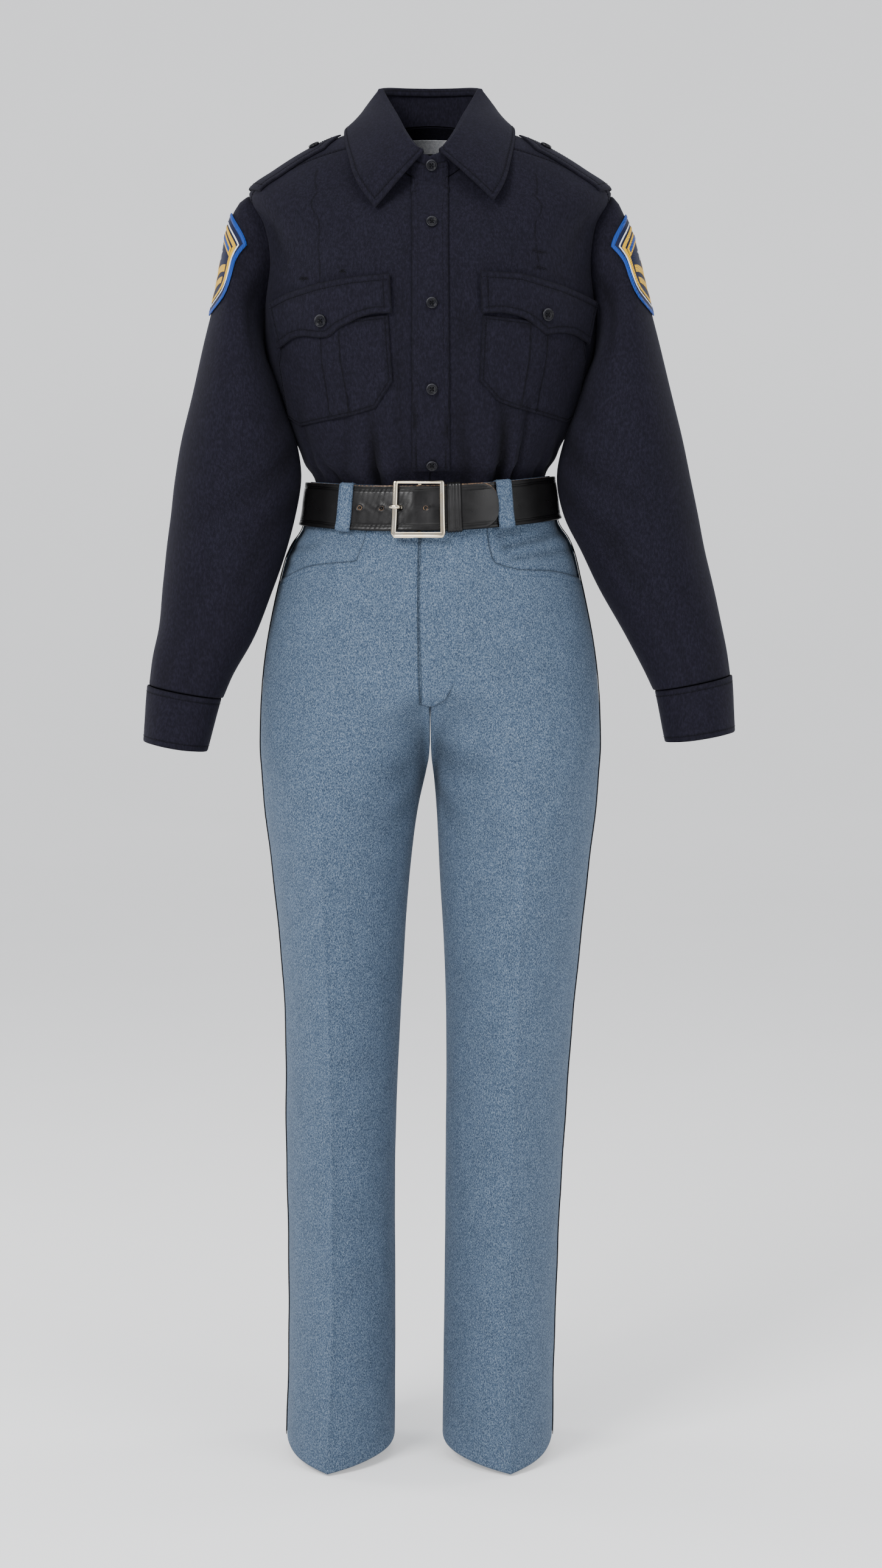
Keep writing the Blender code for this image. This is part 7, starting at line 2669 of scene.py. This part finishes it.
class Buckle(Assembly):
    """The frame over the strap and the prong that rests on it."""

    x_range = (-35 * MM, 14 * MM)
    height = 56 * MM
    bar, thick = 4.7 * MM, 3.4 * MM
    corner = 4.2 * MM
    rise = 0.4 * MM

    def __init__(self, waist: WaistSurface, shape: BeltShape = BeltShape()) -> None:
        """Takes the ring and the belt that it sits on."""
        super().__init__()
        self.waist, self.shape = waist, shape

    def place(self, x: float, z: float, lift: float) -> np.ndarray:
        """A point over the belt that is seen at (x, z)."""
        a = np.array([self.waist.length_at(x)])
        return self.waist.lifted(a, np.array([z - float(waist_lift(x))]), lift)[0]

    def build(self) -> None:
        """Makes the frame and the prong."""
        middle_x = sum(self.x_range) / 2
        half_wide = (self.x_range[1] - self.x_range[0]) / 2
        half_high, corner = self.height / 2, self.corner
        middle_z = self.shape.middle_z - 0.5 * MM
        path = []
        for turn, (sx, sz) in enumerate(((1, 1), (-1, 1), (-1, -1), (1, -1))):
            for i in range(9):
                angle = math.pi / 2 * (turn + i / 8)
                path.append((middle_x + sx * (half_wide - corner) + corner * math.cos(angle),
                             middle_z + sz * (half_high - corner) + corner * math.sin(angle),
                             math.cos(angle), math.sin(angle)))
        whole = []
        for here, there in zip(path, path[1:] + path[:1]):
            whole.append(here)
            if math.dist(here[2:], there[2:]) < TINY:
                whole += [tuple(h + (t - h) * i / 12 for h, t in zip(here, there))
                          for i in range(1, 12)]
        base = self.shape.stack + self.rise + self.thick / 2
        section = rounded_section(self.bar, self.thick, 2.7, 16)
        points, faces = [], []
        for x, z, out_x, out_z in whole:
            for across, up in section:
                inward = self.bar / 2 - across
                points.append(self.place(x - out_x * inward, z - out_z * inward, base + up))
        count, total = len(section), len(whole)
        for row in range(total):
            here, there = row * count, (row + 1) % total * count
            for i in range(count):
                after = (i + 1) % count
                faces.append((here + i, here + after, there + after, there + i))
        self.add("frame_ring", (np.array(points), faces), NICKEL, "buckle_frame")
        self.build_prong(middle_z + 1 * MM)

    def build_prong(self, z: float) -> None:
        """Makes the pin that rises through the strap's hole and lies over the frame's bar."""
        over = self.shape.stack + self.rise + self.thick + 1.5 * MM
        low = self.shape.stack + 0.9 * MM
        corners = Sections(
            ((-26.6, low / MM), (-27.4, low / MM + 0.9), (-28.8, over / MM - 0.8),
             (-30.5, over / MM + 0.1), (-33.6, over / MM), (-37.4, over / MM - 1.0)),
            (0, 1, 2, 3, 4, 5))
        steps = np.linspace(0, 5, 26)
        x, lift = corners.at(steps)
        path = np.array([self.place(float(u), z, float(v)) for u, v in zip(x, lift)])
        along = unit(np.gradient(path, axis=0))
        side = np.tile(np.array((0.0, 0.0, 1.0)), (len(path), 1))
        up = unit(np.cross(side, along))
        ring = np.array(rounded_section(1.0, 1.0, 2.4, 12))
        size = np.clip(1 - np.maximum(steps - 4.2, 0) ** 2 * 0.9, 0.35, 1)
        points = (path[:, None] + side[:, None] * ring[None, :, :1] * 3.8 * MM * size[:, None, None]
                  + up[:, None] * ring[None, :, 1:] * 2.3 * MM * size[:, None, None])
        _, faces = sweep(path, side, up, [tuple(r) for r in ring], False)
        self.add("prong_pin", (points.reshape(-1, 3), faces), NICKEL, "buckle_prong")

    def dress(self) -> None:
        super().dress()
        bar = bpy.data.objects["buckle_bar"]
        bar.data.materials.clear()
        bar.data.materials.append(NICKEL.material())


@dataclass(frozen=True)
class Studio:
    """The pale sweep, the lights and the camera."""

    floor_z: float = -1.3292
    camera: tuple[float, float, float] = (0.01085, -3.4, -0.3589)
    pitch: float = 4.708
    lens: float = 76.9

    def build(self) -> None:
        """Makes the sweep, lights the scene and sets up the camera."""
        self.build_sweep()
        self.build_world()
        self.light("key", (-1.7, -2.6, 1.3), (0.0, 0.0, -0.5), 1.3, 118.0)
        self.light("fill", (2.2, -2.4, 0.3), (0.0, 0.0, -0.7), 1.8, 40.0)
        self.light("top", (0.1, -0.7, 1.7), (0.0, 0.0, -0.4), 1.2, 14.0)
        self.light("low", (-0.5, -3.0, -1.0), (0.0, 0.0, -1.0), 1.2, 18.0)
        self.light("left_rim", (-2.3, 0.9, 0.2), (0.0, 0.0, -0.6), 1.0, 22.0)
        self.light("right_rim", (2.3, 0.9, 0.2), (0.0, 0.0, -0.6), 1.0, 18.0)
        data = bpy.data.cameras.new("studio_camera")
        data.lens, data.sensor_width, data.sensor_fit = self.lens, 36.0, "AUTO"
        data.clip_start, data.clip_end = 0.05, 60.0
        camera = bpy.data.objects.new("studio_camera", data)
        camera.location = self.camera
        camera.rotation_euler = (math.radians(90 - self.pitch), 0.0, 0.0)
        bpy.context.scene.collection.objects.link(camera)
        bpy.context.scene.camera = camera

    def build_sweep(self) -> None:
        """Makes a floor that curves up into a wall behind."""
        profile = [(-9.0, 0.0), (6.0, 0.0)]
        for turn in np.linspace(0, math.pi / 2, 17):
            profile.append((6.6 + 1.6 * math.sin(turn), 1.6 - 1.6 * math.cos(turn)))
        profile.append((8.2, 9.0))
        points = [(x, y, z + self.floor_z) for x in (-9.0, 9.0) for y, z in profile]
        count = len(profile)
        faces = [(i, i + 1, count + i + 1, count + i) for i in range(count - 1)]
        mesh = bpy.data.meshes.new("sweep")
        mesh.from_pydata(points, [], faces)
        mesh.shade_smooth()
        paper = Shader("sweep paper")
        grain = paper.noise(paper.place(False, (1.0, 1.0, 1.0)), 3.0)
        paper.colour(paper.ramp(grain, ((0.3, (0.93, 0.93, 0.93)), (0.7, (0.95, 0.95, 0.95)))))
        paper.plain(Roughness=0.9, Specular_IOR_Level=0.1, Emission_Color=(1.0, 1.0, 1.0, 1.0),
                    Emission_Strength=0.34)
        mesh.materials.append(paper.made)
        floor = bpy.data.objects.new("sweep", mesh)
        bpy.context.scene.collection.objects.link(floor)

    def build_world(self) -> None:
        """Sets a plain pale surrounding light."""
        world = bpy.data.worlds.new("studio")
        world.use_nodes = True
        sky = world.node_tree.nodes["Background"]
        sky.inputs["Color"].default_value = (0.93, 0.95, 1.0, 1.0)
        sky.inputs["Strength"].default_value = 0.62
        bpy.context.scene.world = world

    def light(self, name: str, place: tuple, aim: tuple, size: float, power: float) -> None:
        """Adds a square soft light that faces a point."""
        data = bpy.data.lights.new(name, "AREA")
        data.shape, data.size, data.energy = "SQUARE", size, power
        lamp = bpy.data.objects.new(name, data)
        lamp.location = place
        way = Vector(aim) - Vector(place)
        lamp.rotation_euler = way.to_track_quat("-Z", "Y").to_euler()
        bpy.context.scene.collection.objects.link(lamp)


def main() -> None:
    """Builds and dresses the uniform in order."""
    logging.basicConfig(level=logging.INFO, format="%(message)s")
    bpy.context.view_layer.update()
    torso, waist = TorsoSurface(), WaistSurface()
    legs = {"left": LegSurface(1, "left"), "right": LegSurface(-1, "right")}
    groups: list[Assembly] = [
        ShirtBody(torso), Sleeves(torso), Collar(torso), ChestPockets(torso),
        ShoulderStraps(torso), Trousers(waist, legs), Belt(waist), Buckle(waist),
    ]
    for group in groups:
        group.build()
        group.dress()
        LOG.info("%s: %d pieces", type(group).__name__, len(group.made) + len(group.seams))
    Studio().build()


if __name__ == "__main__":
    main()
